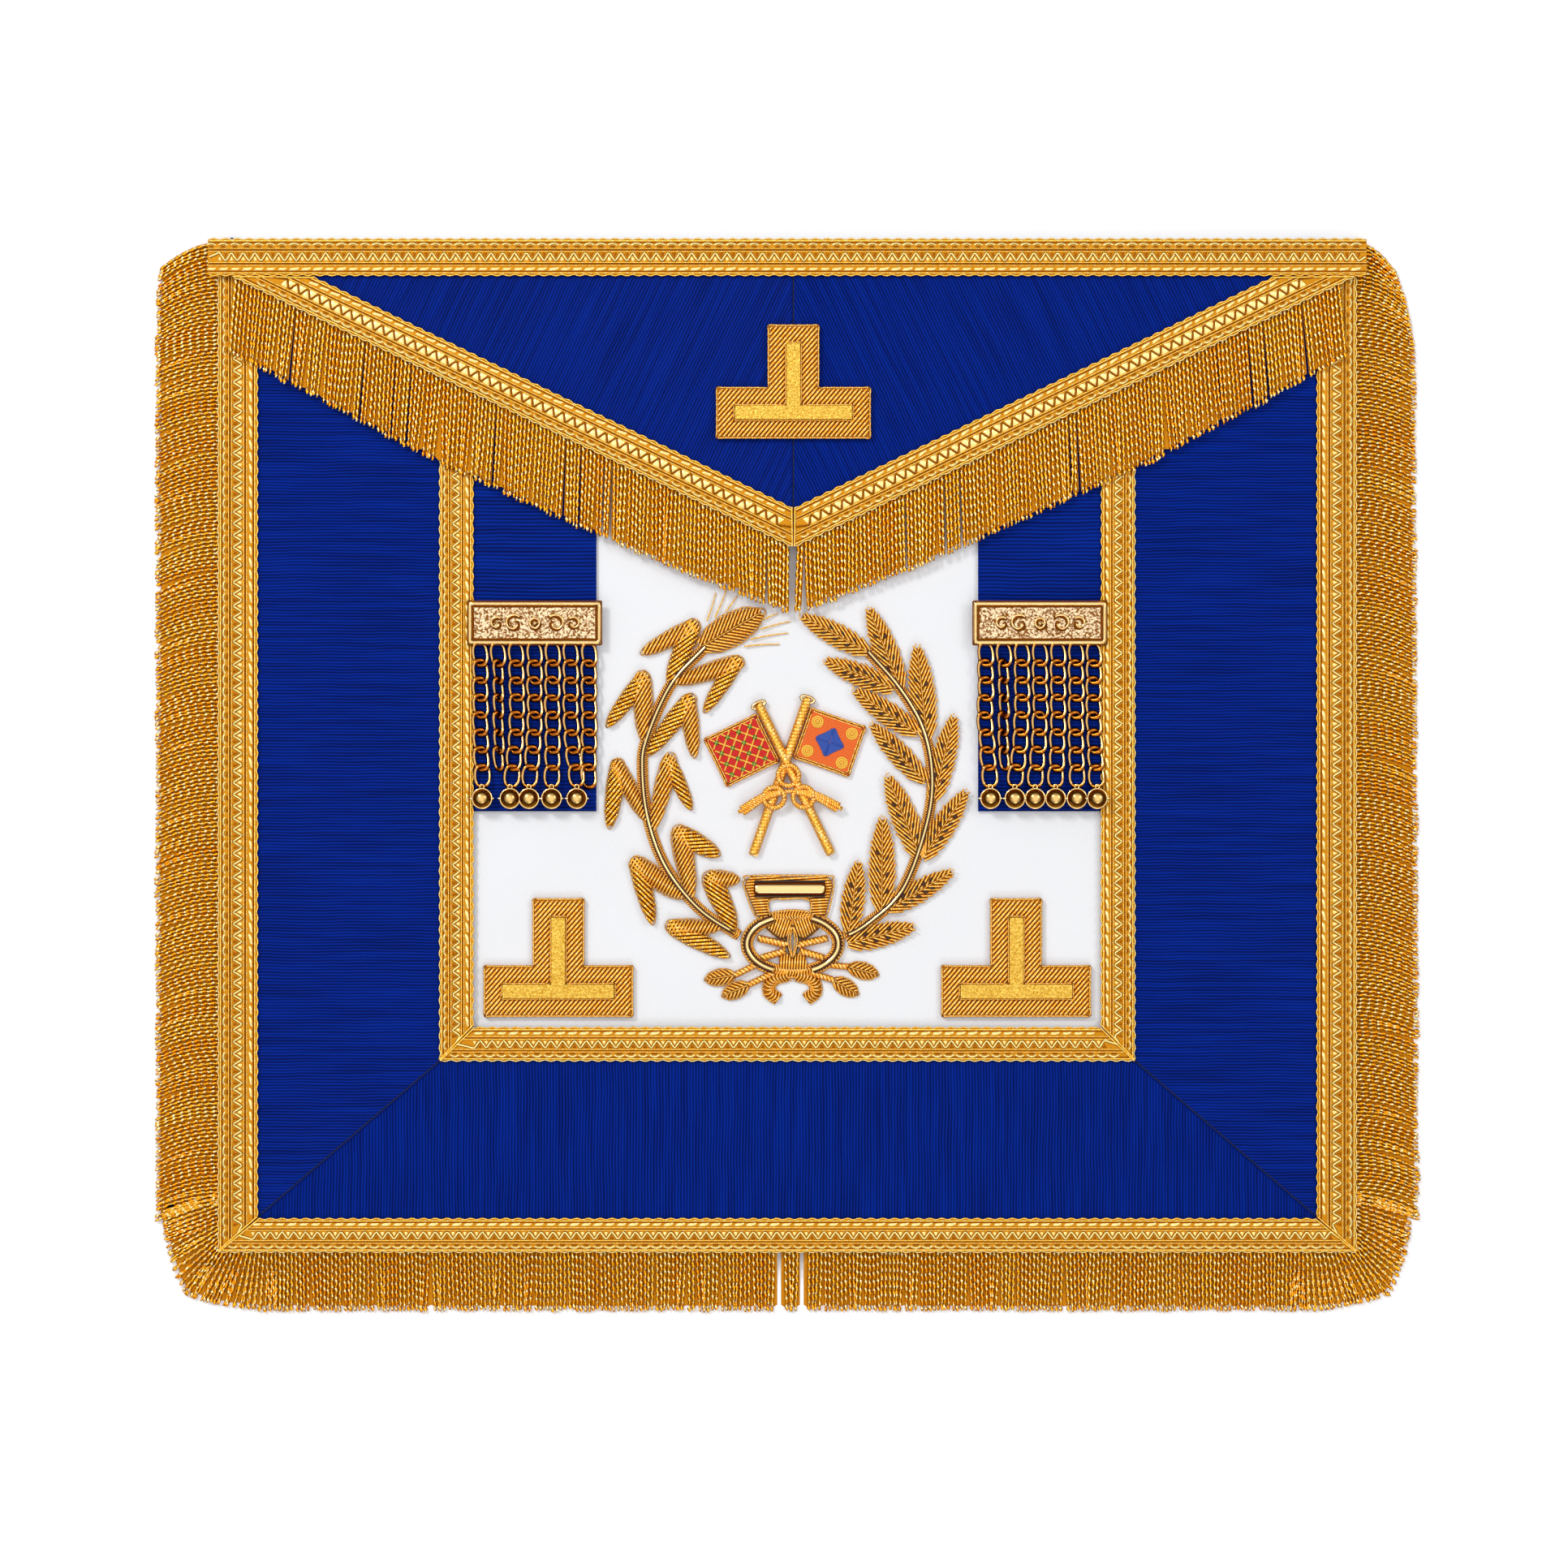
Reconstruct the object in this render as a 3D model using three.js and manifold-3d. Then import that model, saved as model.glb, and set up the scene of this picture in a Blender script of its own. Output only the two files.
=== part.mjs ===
// A ceremonial apron of white lambskin, laid out flat. Blue ribbed silk borders it, gold lace binds it,
// gold fringe hangs from its edge and from its V flap, and gold embroidery fills its white window.
// Millimetres. X runs across the apron, Y up towards its waist, Z up from the table that it lies on.
import * as THREE from 'three';
import * as BufferGeometryUtils from 'three/addons/utils/BufferGeometryUtils.js';
import Module from 'manifold-3d';

const wasm = await Module();
wasm.setup();

// The body, measured over the outer edges of its lace.
const BODY_WIDTH = 406.4;
const BODY_HEIGHT = 361.4;

// Thickness of each layer, and the air between two layers or two edges.
const LINING = 1;
const SKIN = 1.2;
const CLOTH = 1.2;
const LACE = 1.2;
const LAYER_GAP = 0.25;
const SEAM_GAP = 0.3;

// Lace widths.
const SIDE_LACE_WIDTH = 14.4;
const HEM_LACE_WIDTH = 12.2;
const TOP_LACE_WIDTH = 13.4;
const TOP_LACE_OVERHANG = 3;
const INNER_LACE_WIDTH = 12.2;
const FLAP_LACE_WIDTH = 12.7;

// Foot of the white window that the inner lace frames. The wreath between its ribbons sets its width.
const WINDOW_FOOT = 281;

// Cloth is turned in this far under a lace that covers its edge.
const TURN_IN = 3.3;
const LINING_INSET = 0.6;

// The flap: how deep its silk reaches, how far in from the body's side its lace starts, and its tip's offset.
const FLAP_DEPTH = 96.1;
const FLAP_SHOULDER = 31.8;
const FLAP_OFFSET = 2.2;

// Fringe: lengths, thickness, the width of one lock, and how much of it is open slot.
const SIDE_FRINGE = 22.6;
const HEM_FRINGE = 21;
const FLAP_FRINGE = 28;
const FRINGE_THICKNESS = 1.4;
const LOCK_WIDTH = 12;
const LOCK_SLOT = 0.14;
const HEAD_WIDTH = 2.8;
const FRINGE_DROP = 1.5;
const FAN_LENGTH = 19;

// Ribbons, and the gilt plates with their tassels of chains and balls.
const RIBBON_WIDTH = 43.8;
const RIBBON_FOOT = 204;
const PLATE_WIDTH = 47.6;
const PLATE_HEIGHT = 15.4;
const PLATE_TOP = 129.2;
const PLATE_THICKNESS = 1.5;
const PLATE_RIM = 1.7;
const PLATE_RECESS = 0.5;
const CHAIN_WIDTH = 4.6;
const CHAIN_DEPTH = 2.4;
const CHAIN_LENGTH = 50;
const BALL_RADIUS = 3.45;

// Levels: the inverted T shapes in bullion, each with a gilt strip let in along its middle.
const LEVEL_ARM = 18.8;
const FLAP_LEVEL_WIDTH = 55.5;
const FLAP_LEVEL_HEIGHT = 41;
const SIDE_LEVEL_WIDTH = 53.7;
const SIDE_LEVEL_HEIGHT = 42.7;
const LEVEL_MARGIN = 7;
const LEVEL_PADDING = 2.4;
const LEVEL_FROM_SIDE = 30.3;
const LEVEL_FROM_FOOT = 3.4;
const LEVEL_FROM_TIP = 24.5;
const STRIP_THICKNESS = 1;

// The wreath and what stands inside it.
const WREATH_HALF_WIDTH = 51.7;
const WREATH_FROM_RIBBON = 16.45;
const WREATH_FROM_FOOT = 17.366;
const WREATH_HALF_HEIGHT = 58.6;
const WREATH_LOWEST = 1.19;
const LEAF_WIDTH = 8.8;
const LOBE_WIDTH = 6.2;
const STEM_WIDTH = 3;
const STEM_WIRE = 1.2;
const PADDING = 1.9;
const STAFF_WIDTH = 3.1;
const BANNER_INSET = 30.3;
const BANNER_HEIGHT = 19.4;
const BANNER_THICKNESS = 1;

// Rise of each layer, from the lining on the table up to the flap's lace.
const skinFloor = LINING + LAYER_GAP;
const clothFloor = skinFloor + SKIN + LAYER_GAP;
const laceFloor = clothFloor + CLOTH + LAYER_GAP;
const flapFloor = laceFloor + LACE + LAYER_GAP;
const flapLaceFloor = flapFloor + Math.max(CLOTH, FRINGE_THICKNESS) + LAYER_GAP;
const ribbonTop = clothFloor + CLOTH + LAYER_GAP;

const halfWidth = BODY_WIDTH / 2;
const halfWindow = WREATH_HALF_WIDTH + WREATH_FROM_RIBBON + RIBBON_WIDTH;
const sideLaceInner = halfWidth - SIDE_LACE_WIDTH;
const hemLaceInner = BODY_HEIGHT - HEM_LACE_WIDTH;
const innerLaceOuter = halfWindow + INNER_LACE_WIDTH;
const innerLaceFoot = WINDOW_FOOT + INNER_LACE_WIDTH;
const chainPitch = (RIBBON_WIDTH - CHAIN_WIDTH - 2 * SEAM_GAP) / 6;
const wreathMiddle = WREATH_FROM_FOOT + WREATH_LOWEST * WREATH_HALF_HEIGHT - WINDOW_FOOT;

const FINISHES = {
  lining: { color: 0x1c3f9c, roughness: 0.8, metalness: 0 },
  lambskin: { color: 0xf3f3f1, roughness: 0.7, metalness: 0 },
  silk: { color: 0x0f45b8, roughness: 0.55, metalness: 0 },
  lace: { color: 0xe0a93c, roughness: 0.45, metalness: 0.6 },
  fringe: { color: 0xe3b44c, roughness: 0.4, metalness: 0.7 },
  bullion: { color: 0xd6962c, roughness: 0.4, metalness: 0.75 },
  gilt: { color: 0xd9ac5a, roughness: 0.22, metalness: 1 },
  banner: { color: 0xc8322a, roughness: 0.6, metalness: 0 },
};

const apron = new THREE.Group();

/** Adds one named piece with a finish of its own. */
function addPiece(name, geometry, finish) {
  const material = new THREE.MeshStandardMaterial(FINISHES[finish]);
  const mesh = new THREE.Mesh(geometry, material);
  mesh.name = name;
  apron.add(mesh);
}

/** A flat piece cut to an outline, standing from its floor to its floor plus its thickness. */
function slab(outline, floor, thickness, holes = []) {
  const shape = new THREE.Shape(outline.map(([x, y]) => new THREE.Vector2(x, y)));
  for (const hole of holes) {
    shape.holes.push(new THREE.Path(hole.map(([x, y]) => new THREE.Vector2(x, y))));
  }
  const geometry = new THREE.ExtrudeGeometry(shape, { depth: thickness, bevelEnabled: false });
  geometry.translate(0, 0, floor);
  return geometry;
}

/** A slab with a chamfer round its edges above and below. */
function softSlab(outline, floor, thickness, round) {
  const shape = new THREE.Shape(outline.map(([x, y]) => new THREE.Vector2(x, y)));
  const geometry = new THREE.ExtrudeGeometry(shape, {
    depth: thickness - 2 * round,
    bevelEnabled: true,
    bevelThickness: round,
    bevelSize: round,
    bevelOffset: -round,
    bevelSegments: 1,
  });
  geometry.translate(0, 0, floor + round);
  return geometry;
}

/** The corners of an upright rectangle, from its middle and its size. */
function rectangle(x, y, width, height) {
  const [w, h] = [width / 2, height / 2];
  return [[x - w, y - h], [x + w, y - h], [x + w, y + h], [x - w, y + h]];
}

/** The outline's mirror image in the apron's middle line, for side -1, or the outline itself. */
function onSide(outline, side) {
  return outline.map(([x, y]) => [side * x, y]);
}

/** A closed skin through rings of as many points each, with a fan over each end. */
function loft(rings) {
  const count = rings[0].length;
  const faces = [];
  for (let ring = 0; ring + 1 < rings.length; ring++) {
    for (let i = 0; i < count; i++) {
      const a = ring * count + i;
      const b = ring * count + (i + 1) % count;
      faces.push(a, b, b + count, a, b + count, a + count);
    }
  }
  const last = (rings.length - 1) * count;
  for (let i = 1; i + 1 < count; i++) {
    faces.push(0, i + 1, i, last, last + i, last + i + 1);
  }
  const geometry = new THREE.BufferGeometry();
  geometry.setAttribute('position', new THREE.Float32BufferAttribute(rings.flat(2), 3));
  geometry.setIndex(faces);
  return geometry;
}

/** A padded strip of embroidery along a path: flat below, low at its edges, highest along its middle. */
function paddedStrip(path, halfWidths, floor, crest) {
  const rings = path.map((point, i) => {
    const ahead = path[Math.min(i + 1, path.length - 1)];
    const behind = path[Math.max(i - 1, 0)];
    const along = new THREE.Vector2().subVectors(ahead, behind).normalize();
    const at = (share, rise) => [
      point.x - along.y * share * halfWidths[i],
      point.y + along.x * share * halfWidths[i],
      floor + rise,
    ];
    return [at(-1, 0), at(1, 0), at(1, crest * 0.35), at(0, crest), at(-1, crest * 0.35)];
  });
  return loft(rings);
}

/** Turns a closed geometry into a solid. */
function solidOf(geometry) {
  const bare = geometry.clone();
  bare.deleteAttribute('normal');
  bare.deleteAttribute('uv');
  const merged = BufferGeometryUtils.mergeVertices(bare, 1e-4);
  return new wasm.Manifold(new wasm.Mesh({
    numProp: 3,
    vertProperties: new Float32Array(merged.attributes.position.array),
    triVerts: new Uint32Array(merged.index.array),
  }));
}

/** Turns a solid back into a geometry. */
function geometryOf(solid) {
  const { vertProperties, triVerts } = solid.getMesh();
  const geometry = new THREE.BufferGeometry();
  geometry.setAttribute('position', new THREE.BufferAttribute(vertProperties, 3));
  geometry.setIndex(new THREE.BufferAttribute(triVerts, 1));
  return geometry;
}

/** Joins closed geometries into one. */
function joined(geometries) {
  return geometryOf(geometries.map(solidOf).reduce((whole, next) => whole.add(next)));
}

/** A value read off a table's column at a share of the way, in straight lines between its rows. */
function readTable(table, column, at) {
  const next = Math.max(1, table.findIndex((row) => row.at >= at));
  const [low, high] = [table[next - 1], table[next]];
  const share = THREE.MathUtils.clamp((at - low.at) / (high.at - low.at), 0, 1);
  return THREE.MathUtils.lerp(low[column], high[column], share);
}

// Body

// The lining peeps out above the top lace in two low peaks. x and half are shares of the half width.
const LINING_PEAKS = [
  { x: 0.925, half: 0.035, rise: 0.6 },
  { x: -0.98, half: 0.018, rise: 1.2 },
];

/** The lining's outline, with its two peaks along the waist. */
function liningOutline() {
  const [x, foot] = [halfWidth - LINING_INSET, LINING_INSET - BODY_HEIGHT];
  const peaks = LINING_PEAKS.flatMap((peak) => [
    [(peak.x + peak.half) * x, -LINING_INSET],
    [peak.x * x, peak.rise],
    [(peak.x - peak.half) * x, -LINING_INSET],
  ]);
  return [[-x, foot], [x, foot], [x, -LINING_INSET], ...peaks, [-x, -LINING_INSET]];
}

/** How far below the waist a corner seam lies at a distance from the middle line. */
function mitreDepth(x) {
  const slope = (hemLaceInner - innerLaceFoot) / (sideLaceInner - innerLaceOuter);
  return innerLaceFoot + (x - innerLaceOuter) * slope;
}

function addBody() {
  addPiece('back_lining', slab(liningOutline(), 0, LINING), 'lining');
  const [outer, inner] = [halfWidth - TURN_IN, halfWindow + TURN_IN];
  const foot = TURN_IN - BODY_HEIGHT;
  const skin = [[-outer, foot], [outer, foot], [outer, -LINING_INSET], [-outer, -LINING_INSET]];
  addPiece('body_panel', slab(skin, skinFloor, SKIN), 'lambskin');

  const half = SEAM_GAP / 2;
  const seam = [[inner, -mitreDepth(inner)], [sideLaceInner, -hemLaceInner], [outer, foot]];
  const side = [...seam.map(([x, y]) => [x, y + half]), [outer, -LINING_INSET], [inner, -LINING_INSET]];
  addPiece('side_panel_left', slab(onSide(side, -1).reverse(), clothFloor, CLOTH), 'silk');
  addPiece('side_panel_right', slab(side, clothFloor, CLOTH), 'silk');
  const rightEnd = [
    [outer - SEAM_GAP, foot],
    [sideLaceInner, -hemLaceInner - half],
    [inner, -mitreDepth(inner) - half],
  ];
  const hem = [...rightEnd, ...onSide(rightEnd, -1).reverse()];
  addPiece('bottom_panel', slab(hem, clothFloor, CLOTH), 'silk');
}

// Lace

/** A frame's side bar and foot bar, mitred where they meet. */
function laceFrame(x, y, sideWidth, footWidth) {
  const half = SEAM_GAP / 2;
  const side = [
    [x - sideWidth, -(y - footWidth) + half],
    [x, -y + half],
    [x, -LINING_INSET],
    [x - sideWidth, -LINING_INSET],
  ];
  const foot = [
    [-x, -y - half],
    [x, -y - half],
    [x - sideWidth, -(y - footWidth) - half],
    [sideWidth - x, -(y - footWidth) - half],
  ];
  return { side, foot };
}

function addLace() {
  const frames = [
    ['outer', laceFrame(halfWidth, BODY_HEIGHT - SEAM_GAP / 2, SIDE_LACE_WIDTH, HEM_LACE_WIDTH)],
    ['inner', laceFrame(innerLaceOuter, innerLaceFoot, INNER_LACE_WIDTH, INNER_LACE_WIDTH)],
  ];
  for (const [name, { side, foot }] of frames) {
    addPiece(`${name}_lace_left`, slab(onSide(side, -1).reverse(), laceFloor, LACE), 'lace');
    addPiece(`${name}_lace_right`, slab(side, laceFloor, LACE), 'lace');
    addPiece(`${name}_lace_bottom`, slab(foot, laceFloor, LACE), 'lace');
  }
  const top = rectangle(0, -TOP_LACE_WIDTH / 2, BODY_WIDTH + 2 * TOP_LACE_OVERHANG, TOP_LACE_WIDTH);
  addPiece('top_lace', slab(top, flapLaceFloor, LACE), 'lace');
}

// Flap

const flapRun = halfWidth - FLAP_SHOULDER;
const flapSlope = (FLAP_DEPTH - TOP_LACE_WIDTH) / flapRun;
const flapSlant = Math.hypot(1, flapSlope);

/** The flap's edge at a distance from its tip's line, moved down the flap by a width across the edge. */
function flapEdge(fromTip, down) {
  return -(FLAP_DEPTH - fromTip * flapSlope + down * flapSlant);
}

/** The distance from the tip's line at which that edge reaches a height. */
function flapReach(y, down) {
  return (FLAP_DEPTH + y + down * flapSlant) / flapSlope;
}

// The flap fringe's length along the flap, from the waist to the tip, as shares of its main length.
const FLAP_REACH = [
  { at: 0, reach: 0.93 },
  { at: 0.15, reach: 1 },
  { at: 0.35, reach: 1.09 },
  { at: 0.55, reach: 1.07 },
  { at: 0.8, reach: 1 },
  { at: 1, reach: 0.86 },
];
const FLAP_LEAN = 0.1;

// Corners down a lock's side, as shares of its length: its bend and its rounded end.
const LOCK_CORNERS = [0.5, 0.97];
// The locks part a little nearer to the head or further from it, so that no three partings lie in a line.
const PARTING = { nearest: 0.09, spread: 0.1, step: 0.618 };

/** The locks' corners, down one side of each lock, up the other and into the parting after it. */
function lockOutline(count, strand) {
  return Array.from({ length: count }, (_, i) => {
    const [first, last] = [(i + LOCK_SLOT / 2) / count, (i + 1 - LOCK_SLOT / 2) / count];
    const down = LOCK_CORNERS.map((share) => strand(first, share));
    const up = LOCK_CORNERS.map((share) => strand(last, share)).reverse();
    const parting = PARTING.nearest + PARTING.spread * ((i * PARTING.step) % 1);
    return [...down, strand((first + last) / 2, 1), ...up, strand((i + 1) / count, parting)];
  }).flat();
}

/** One half of the flap's fringe: a head under the lace, and locks that lean a little outwards. */
function flapFringe(side) {
  const outerEnd = halfWidth + side * FLAP_OFFSET - TURN_IN;
  const innerEnd = SEAM_GAP;
  const strand = (t, s) => {
    const fromTip = THREE.MathUtils.lerp(outerEnd - FLAP_LEAN * FLAP_FRINGE, innerEnd, t);
    const length = FLAP_FRINGE * readTable(FLAP_REACH, 'reach', t);
    const lean = FLAP_LEAN * (1 - t) * length * s;
    return [fromTip + lean, flapEdge(fromTip, FLAP_LACE_WIDTH) - length * s];
  };
  const count = Math.round(outerEnd / LOCK_WIDTH);
  const head = [
    [innerEnd, flapEdge(innerEnd, FLAP_LACE_WIDTH - HEAD_WIDTH)],
    [outerEnd, flapEdge(outerEnd, FLAP_LACE_WIDTH - HEAD_WIDTH)],
  ];
  const outline = [...head, ...lockOutline(count, strand)];
  return outline.map(([x, y]) => [FLAP_OFFSET - side * x, y]);
}

function addFlap() {
  const clothEdge = FLAP_LACE_WIDTH - TURN_IN;
  const half = SEAM_GAP / 2;
  for (const [name, side] of [['left', 1], ['right', -1]]) {
    const outer = halfWidth + side * FLAP_OFFSET - TURN_IN;
    const place = (outline) => {
      const placed = outline.map(([x, y]) => [FLAP_OFFSET - side * x, y]);
      return side === 1 ? placed : placed.reverse();
    };
    const cloth = [
      [half, flapEdge(half, clothEdge)],
      [half, -LINING_INSET],
      [outer, -LINING_INSET],
      [outer, flapEdge(outer, clothEdge)],
    ];
    addPiece(`flap_${name}`, slab(place(cloth), flapFloor, CLOTH), 'silk');
    const start = -TOP_LACE_WIDTH - SEAM_GAP;
    const lace = [
      [half, flapEdge(half, FLAP_LACE_WIDTH)],
      [half, flapEdge(half, 0)],
      [flapReach(start, 0), start],
      [flapReach(start, FLAP_LACE_WIDTH), start],
    ];
    addPiece(`flap_lace_${name}`, slab(place(lace), flapLaceFloor, LACE), 'lace');
    addPiece(`flap_fringe_${name}`, slab(flapFringe(side), flapFloor, FRINGE_THICKNESS), 'fringe');
  }
}

// Outer fringe

// How the side fringe's length and its fall change down the side, as shares of the side fringe.
const SIDE_REACH = [
  { at: 0, left: 0.95, right: 0.6, fall: 0.42 },
  { at: 0.04, left: 0.98, right: 0.8, fall: 0.36 },
  { at: 0.1, left: 1, right: 0.95, fall: 0.28 },
  { at: 1, left: 1, right: 1, fall: 0.26 },
];
// How far the corner fan's strands have turned from level, as a share of a quarter turn, and their length.
const CORNER_FAN = [
  { at: 0, turn: 0.18, reach: 1 },
  { at: 0.25, turn: 0.3, reach: 0.97 },
  { at: 0.5, turn: 0.58, reach: 0.93 },
  { at: 0.75, turn: 0.84, reach: 0.97 },
  { at: 1, turn: 1, reach: 1 },
];

/** Lowers what lies outside the body's edge, as fringe droops to the table. */
function droop(geometry, length) {
  const position = geometry.attributes.position;
  for (let i = 0; i < position.count; i++) {
    const outX = Math.max(Math.abs(position.getX(i)) - halfWidth, 0);
    const outY = Math.max(-position.getY(i) - BODY_HEIGHT, 0);
    const share = Math.hypot(outX, outY) / (0.6 * length);
    position.setZ(i, position.getZ(i) - FRINGE_DROP * THREE.MathUtils.smoothstep(share, 0, 1));
  }
  return geometry;
}

const fringeFloor = FRINGE_DROP;

/** A fringe down one side: a head under the lace, and locks that leave it level and bend down. */
function sideFringe(column) {
  const length = BODY_HEIGHT - FAN_LENGTH - LINING_INSET - SEAM_GAP;
  const strand = (t, s) => {
    const reach = SIDE_FRINGE * readTable(SIDE_REACH, column, t);
    const fall = SIDE_FRINGE * readTable(SIDE_REACH, 'fall', t) * s * s;
    return [halfWidth + reach * s, -LINING_INSET - t * length - fall];
  };
  const foot = -LINING_INSET - length;
  const head = halfWidth - HEAD_WIDTH;
  const outline = [
    [head, foot],
    [head, -LINING_INSET],
    ...lockOutline(Math.round(length / LOCK_WIDTH), strand),
  ].reverse();
  return outline;
}

/** The hem fringe: a head that turns up both corners, and locks that fan round them. */
function hemFringe() {
  const length = BODY_WIDTH + 2 * FAN_LENGTH;
  const strand = (t, s) => {
    const along = t * length;
    const fromEnd = Math.min(along, length - along);
    const side = along < length / 2 ? -1 : 1;
    const up = Math.max(FAN_LENGTH - fromEnd, 0);
    const x = side * (halfWidth - Math.max(fromEnd - FAN_LENGTH, 0));
    const fan = Math.min(fromEnd / (2 * FAN_LENGTH), 1);
    const angle = readTable(CORNER_FAN, 'turn', fan) * Math.PI / 2;
    const reach = HEM_FRINGE * readTable(CORNER_FAN, 'reach', fan) * s;
    return [x + side * reach * Math.cos(angle), up - BODY_HEIGHT - reach * Math.sin(angle)];
  };
  const [outer, inner] = [halfWidth, halfWidth - HEAD_WIDTH];
  const top = FAN_LENGTH - BODY_HEIGHT;
  const floor = HEAD_WIDTH - BODY_HEIGHT;
  return [
    ...lockOutline(Math.round(length / LOCK_WIDTH), strand),
    [outer, top],
    [inner, top],
    [inner, floor],
    [-inner, floor],
    [-inner, top],
    [-outer, top],
  ];
}

function addOuterFringe() {
  const hem = slab(hemFringe(), fringeFloor, FRINGE_THICKNESS);
  addPiece('fringe_bottom', droop(hem, HEM_FRINGE), 'fringe');
  const left = slab(onSide(sideFringe('left'), -1).reverse(), fringeFloor, FRINGE_THICKNESS);
  addPiece('fringe_left', droop(left, SIDE_FRINGE), 'fringe');
  const right = slab(sideFringe('right'), fringeFloor, FRINGE_THICKNESS);
  addPiece('fringe_right', droop(right, SIDE_FRINGE), 'fringe');
}

// Ribbons and tassels

// The foot of each chain, from its own place under the plate and in chain pitches, and what it carries.
const CHAINS = {
  left: [
    { slot: -3, sway: 0.1, ball: true, length: 1 },
    { slot: -2, sway: 0, ball: false, length: 0.9 },
    { slot: -1, sway: -0.35, ball: true, length: 1 },
    { slot: 0, sway: -0.3, ball: true, length: 1 },
    { slot: 1, sway: -0.05, ball: true, length: 1 },
    { slot: 2, sway: 0.35, ball: true, length: 1 },
    { slot: 3, sway: -0.02, ball: false, length: 0.95 },
  ],
  right: [
    { slot: -3, sway: 0.25, ball: true, length: 1 },
    { slot: -2, sway: 0, ball: false, length: 0.9 },
    { slot: -1, sway: -0.4, ball: true, length: 1 },
    { slot: 0, sway: -0.28, ball: true, length: 1 },
    { slot: 1, sway: -0.15, ball: true, length: 1 },
    { slot: 2, sway: 0.03, ball: true, length: 1 },
    { slot: 3, sway: 0.15, ball: true, length: 1 },
  ],
};

/** A gilt plate: a back that sits on the ribbon, a wider face over the lace, and a sunk field. */
function tasselPlate(x) {
  const y = -PLATE_TOP - PLATE_HEIGHT / 2;
  const back = rectangle(x, y, RIBBON_WIDTH - 2 * SEAM_GAP, PLATE_HEIGHT - 2 * SEAM_GAP);
  const face = rectangle(x, y, PLATE_WIDTH, PLATE_HEIGHT);
  const field = rectangle(x, y, PLATE_WIDTH - 2 * PLATE_RIM, PLATE_HEIGHT - 2 * PLATE_RIM);
  const body = solidOf(slab(back, ribbonTop, flapFloor - ribbonTop + PLATE_THICKNESS / 2))
    .add(solidOf(slab(face, flapFloor, PLATE_THICKNESS)));
  const recess = solidOf(slab(field, flapFloor + PLATE_THICKNESS - PLATE_RECESS, PLATE_THICKNESS));
  return geometryOf(body.subtract(recess));
}

/** The height of a ball's middle: on the ribbon, or leaning on the inner lace where it hangs that near. */
function ballHeight(x) {
  const touch = BALL_RADIUS + LAYER_GAP;
  const fromLace = Math.max(halfWindow - Math.abs(x), 0);
  const leaning = laceFloor + LACE + Math.sqrt(Math.max(touch ** 2 - fromLace ** 2, 0));
  const onRibbon = ribbonTop + BALL_RADIUS;
  const clearOfLace = fromLace > Math.sqrt(touch ** 2 - (onRibbon - laceFloor - LACE) ** 2);
  return clearOfLace ? onRibbon : leaning;
}

/** One chain as a flat tube from the plate down the ribbon, with its ball at the foot if it has one. */
function tasselChain(plateX, row) {
  const x = plateX + row.slot * chainPitch;
  const foot = x + row.sway * chainPitch;
  const top = -PLATE_TOP - PLATE_HEIGHT - SEAM_GAP;
  const end = top - CHAIN_LENGTH * row.length;
  const middle = ribbonTop + CHAIN_DEPTH / 2;
  const ballMiddle = ballHeight(foot);
  const rise = row.ball ? ballMiddle : middle;
  const route = new THREE.CatmullRomCurve3([
    new THREE.Vector3(x, top, middle),
    new THREE.Vector3(x, THREE.MathUtils.lerp(top, end, 0.25), middle),
    new THREE.Vector3(x, THREE.MathUtils.lerp(top, end, 0.5), middle),
    new THREE.Vector3(THREE.MathUtils.lerp(x, foot, 0.4), THREE.MathUtils.lerp(top, end, 0.78), middle),
    new THREE.Vector3(foot, end, rise),
  ]);
  const section = new THREE.Shape(Array.from({ length: 8 }, (_, i) => {
    const turn = (i + 0.5) * Math.PI / 4;
    return new THREE.Vector2(Math.cos(turn) * CHAIN_DEPTH / 2, Math.sin(turn) * CHAIN_WIDTH / 2);
  }));
  const steps = Math.ceil(CHAIN_LENGTH / (2.5 * CHAIN_WIDTH));
  const tube = new THREE.ExtrudeGeometry(section, { steps, extrudePath: route, bevelEnabled: false });
  if (!row.ball) {
    return tube;
  }
  const ball = new THREE.SphereGeometry(BALL_RADIUS, 10, 6);
  ball.translate(foot, end, ballMiddle);
  return joined([tube, ball]);
}

function addRibbons() {
  for (const [name, side] of [['left', -1], ['right', 1]]) {
    const x = side * (halfWindow - RIBBON_WIDTH / 2);
    const ribbon = rectangle(x, -(RIBBON_FOOT + LINING_INSET) / 2, RIBBON_WIDTH, RIBBON_FOOT - LINING_INSET);
    addPiece(`ribbon_${name}`, slab(ribbon, clothFloor, CLOTH), 'silk');
    addPiece(`tassel_plate_${name}`, tasselPlate(x), 'gilt');
    CHAINS[name].forEach((row, i) => {
      addPiece(`chain_${name}_${i + 1}`, tasselChain(x, row), 'gilt');
    });
  }
}

// Levels

// Each level's middle line and foot: one on the flap, and one in each lower corner of the window.
const levelX = halfWindow - LEVEL_FROM_SIDE;
const levelY = LEVEL_FROM_FOOT - WINDOW_FOOT;
const levelFlapY = LEVEL_FROM_TIP - FLAP_DEPTH;
const flapLevel = { width: FLAP_LEVEL_WIDTH, height: FLAP_LEVEL_HEIGHT };
const sideLevel = { width: SIDE_LEVEL_WIDTH, height: SIDE_LEVEL_HEIGHT };
const LEVELS = [
  { name: 'flap', x: FLAP_OFFSET, foot: levelFlapY, ...flapLevel, floor: flapFloor + CLOTH },
  { name: 'left', x: -levelX, foot: levelY, ...sideLevel, floor: skinFloor + SKIN },
  { name: 'right', x: levelX, foot: levelY, ...sideLevel, floor: skinFloor + SKIN },
];

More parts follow.
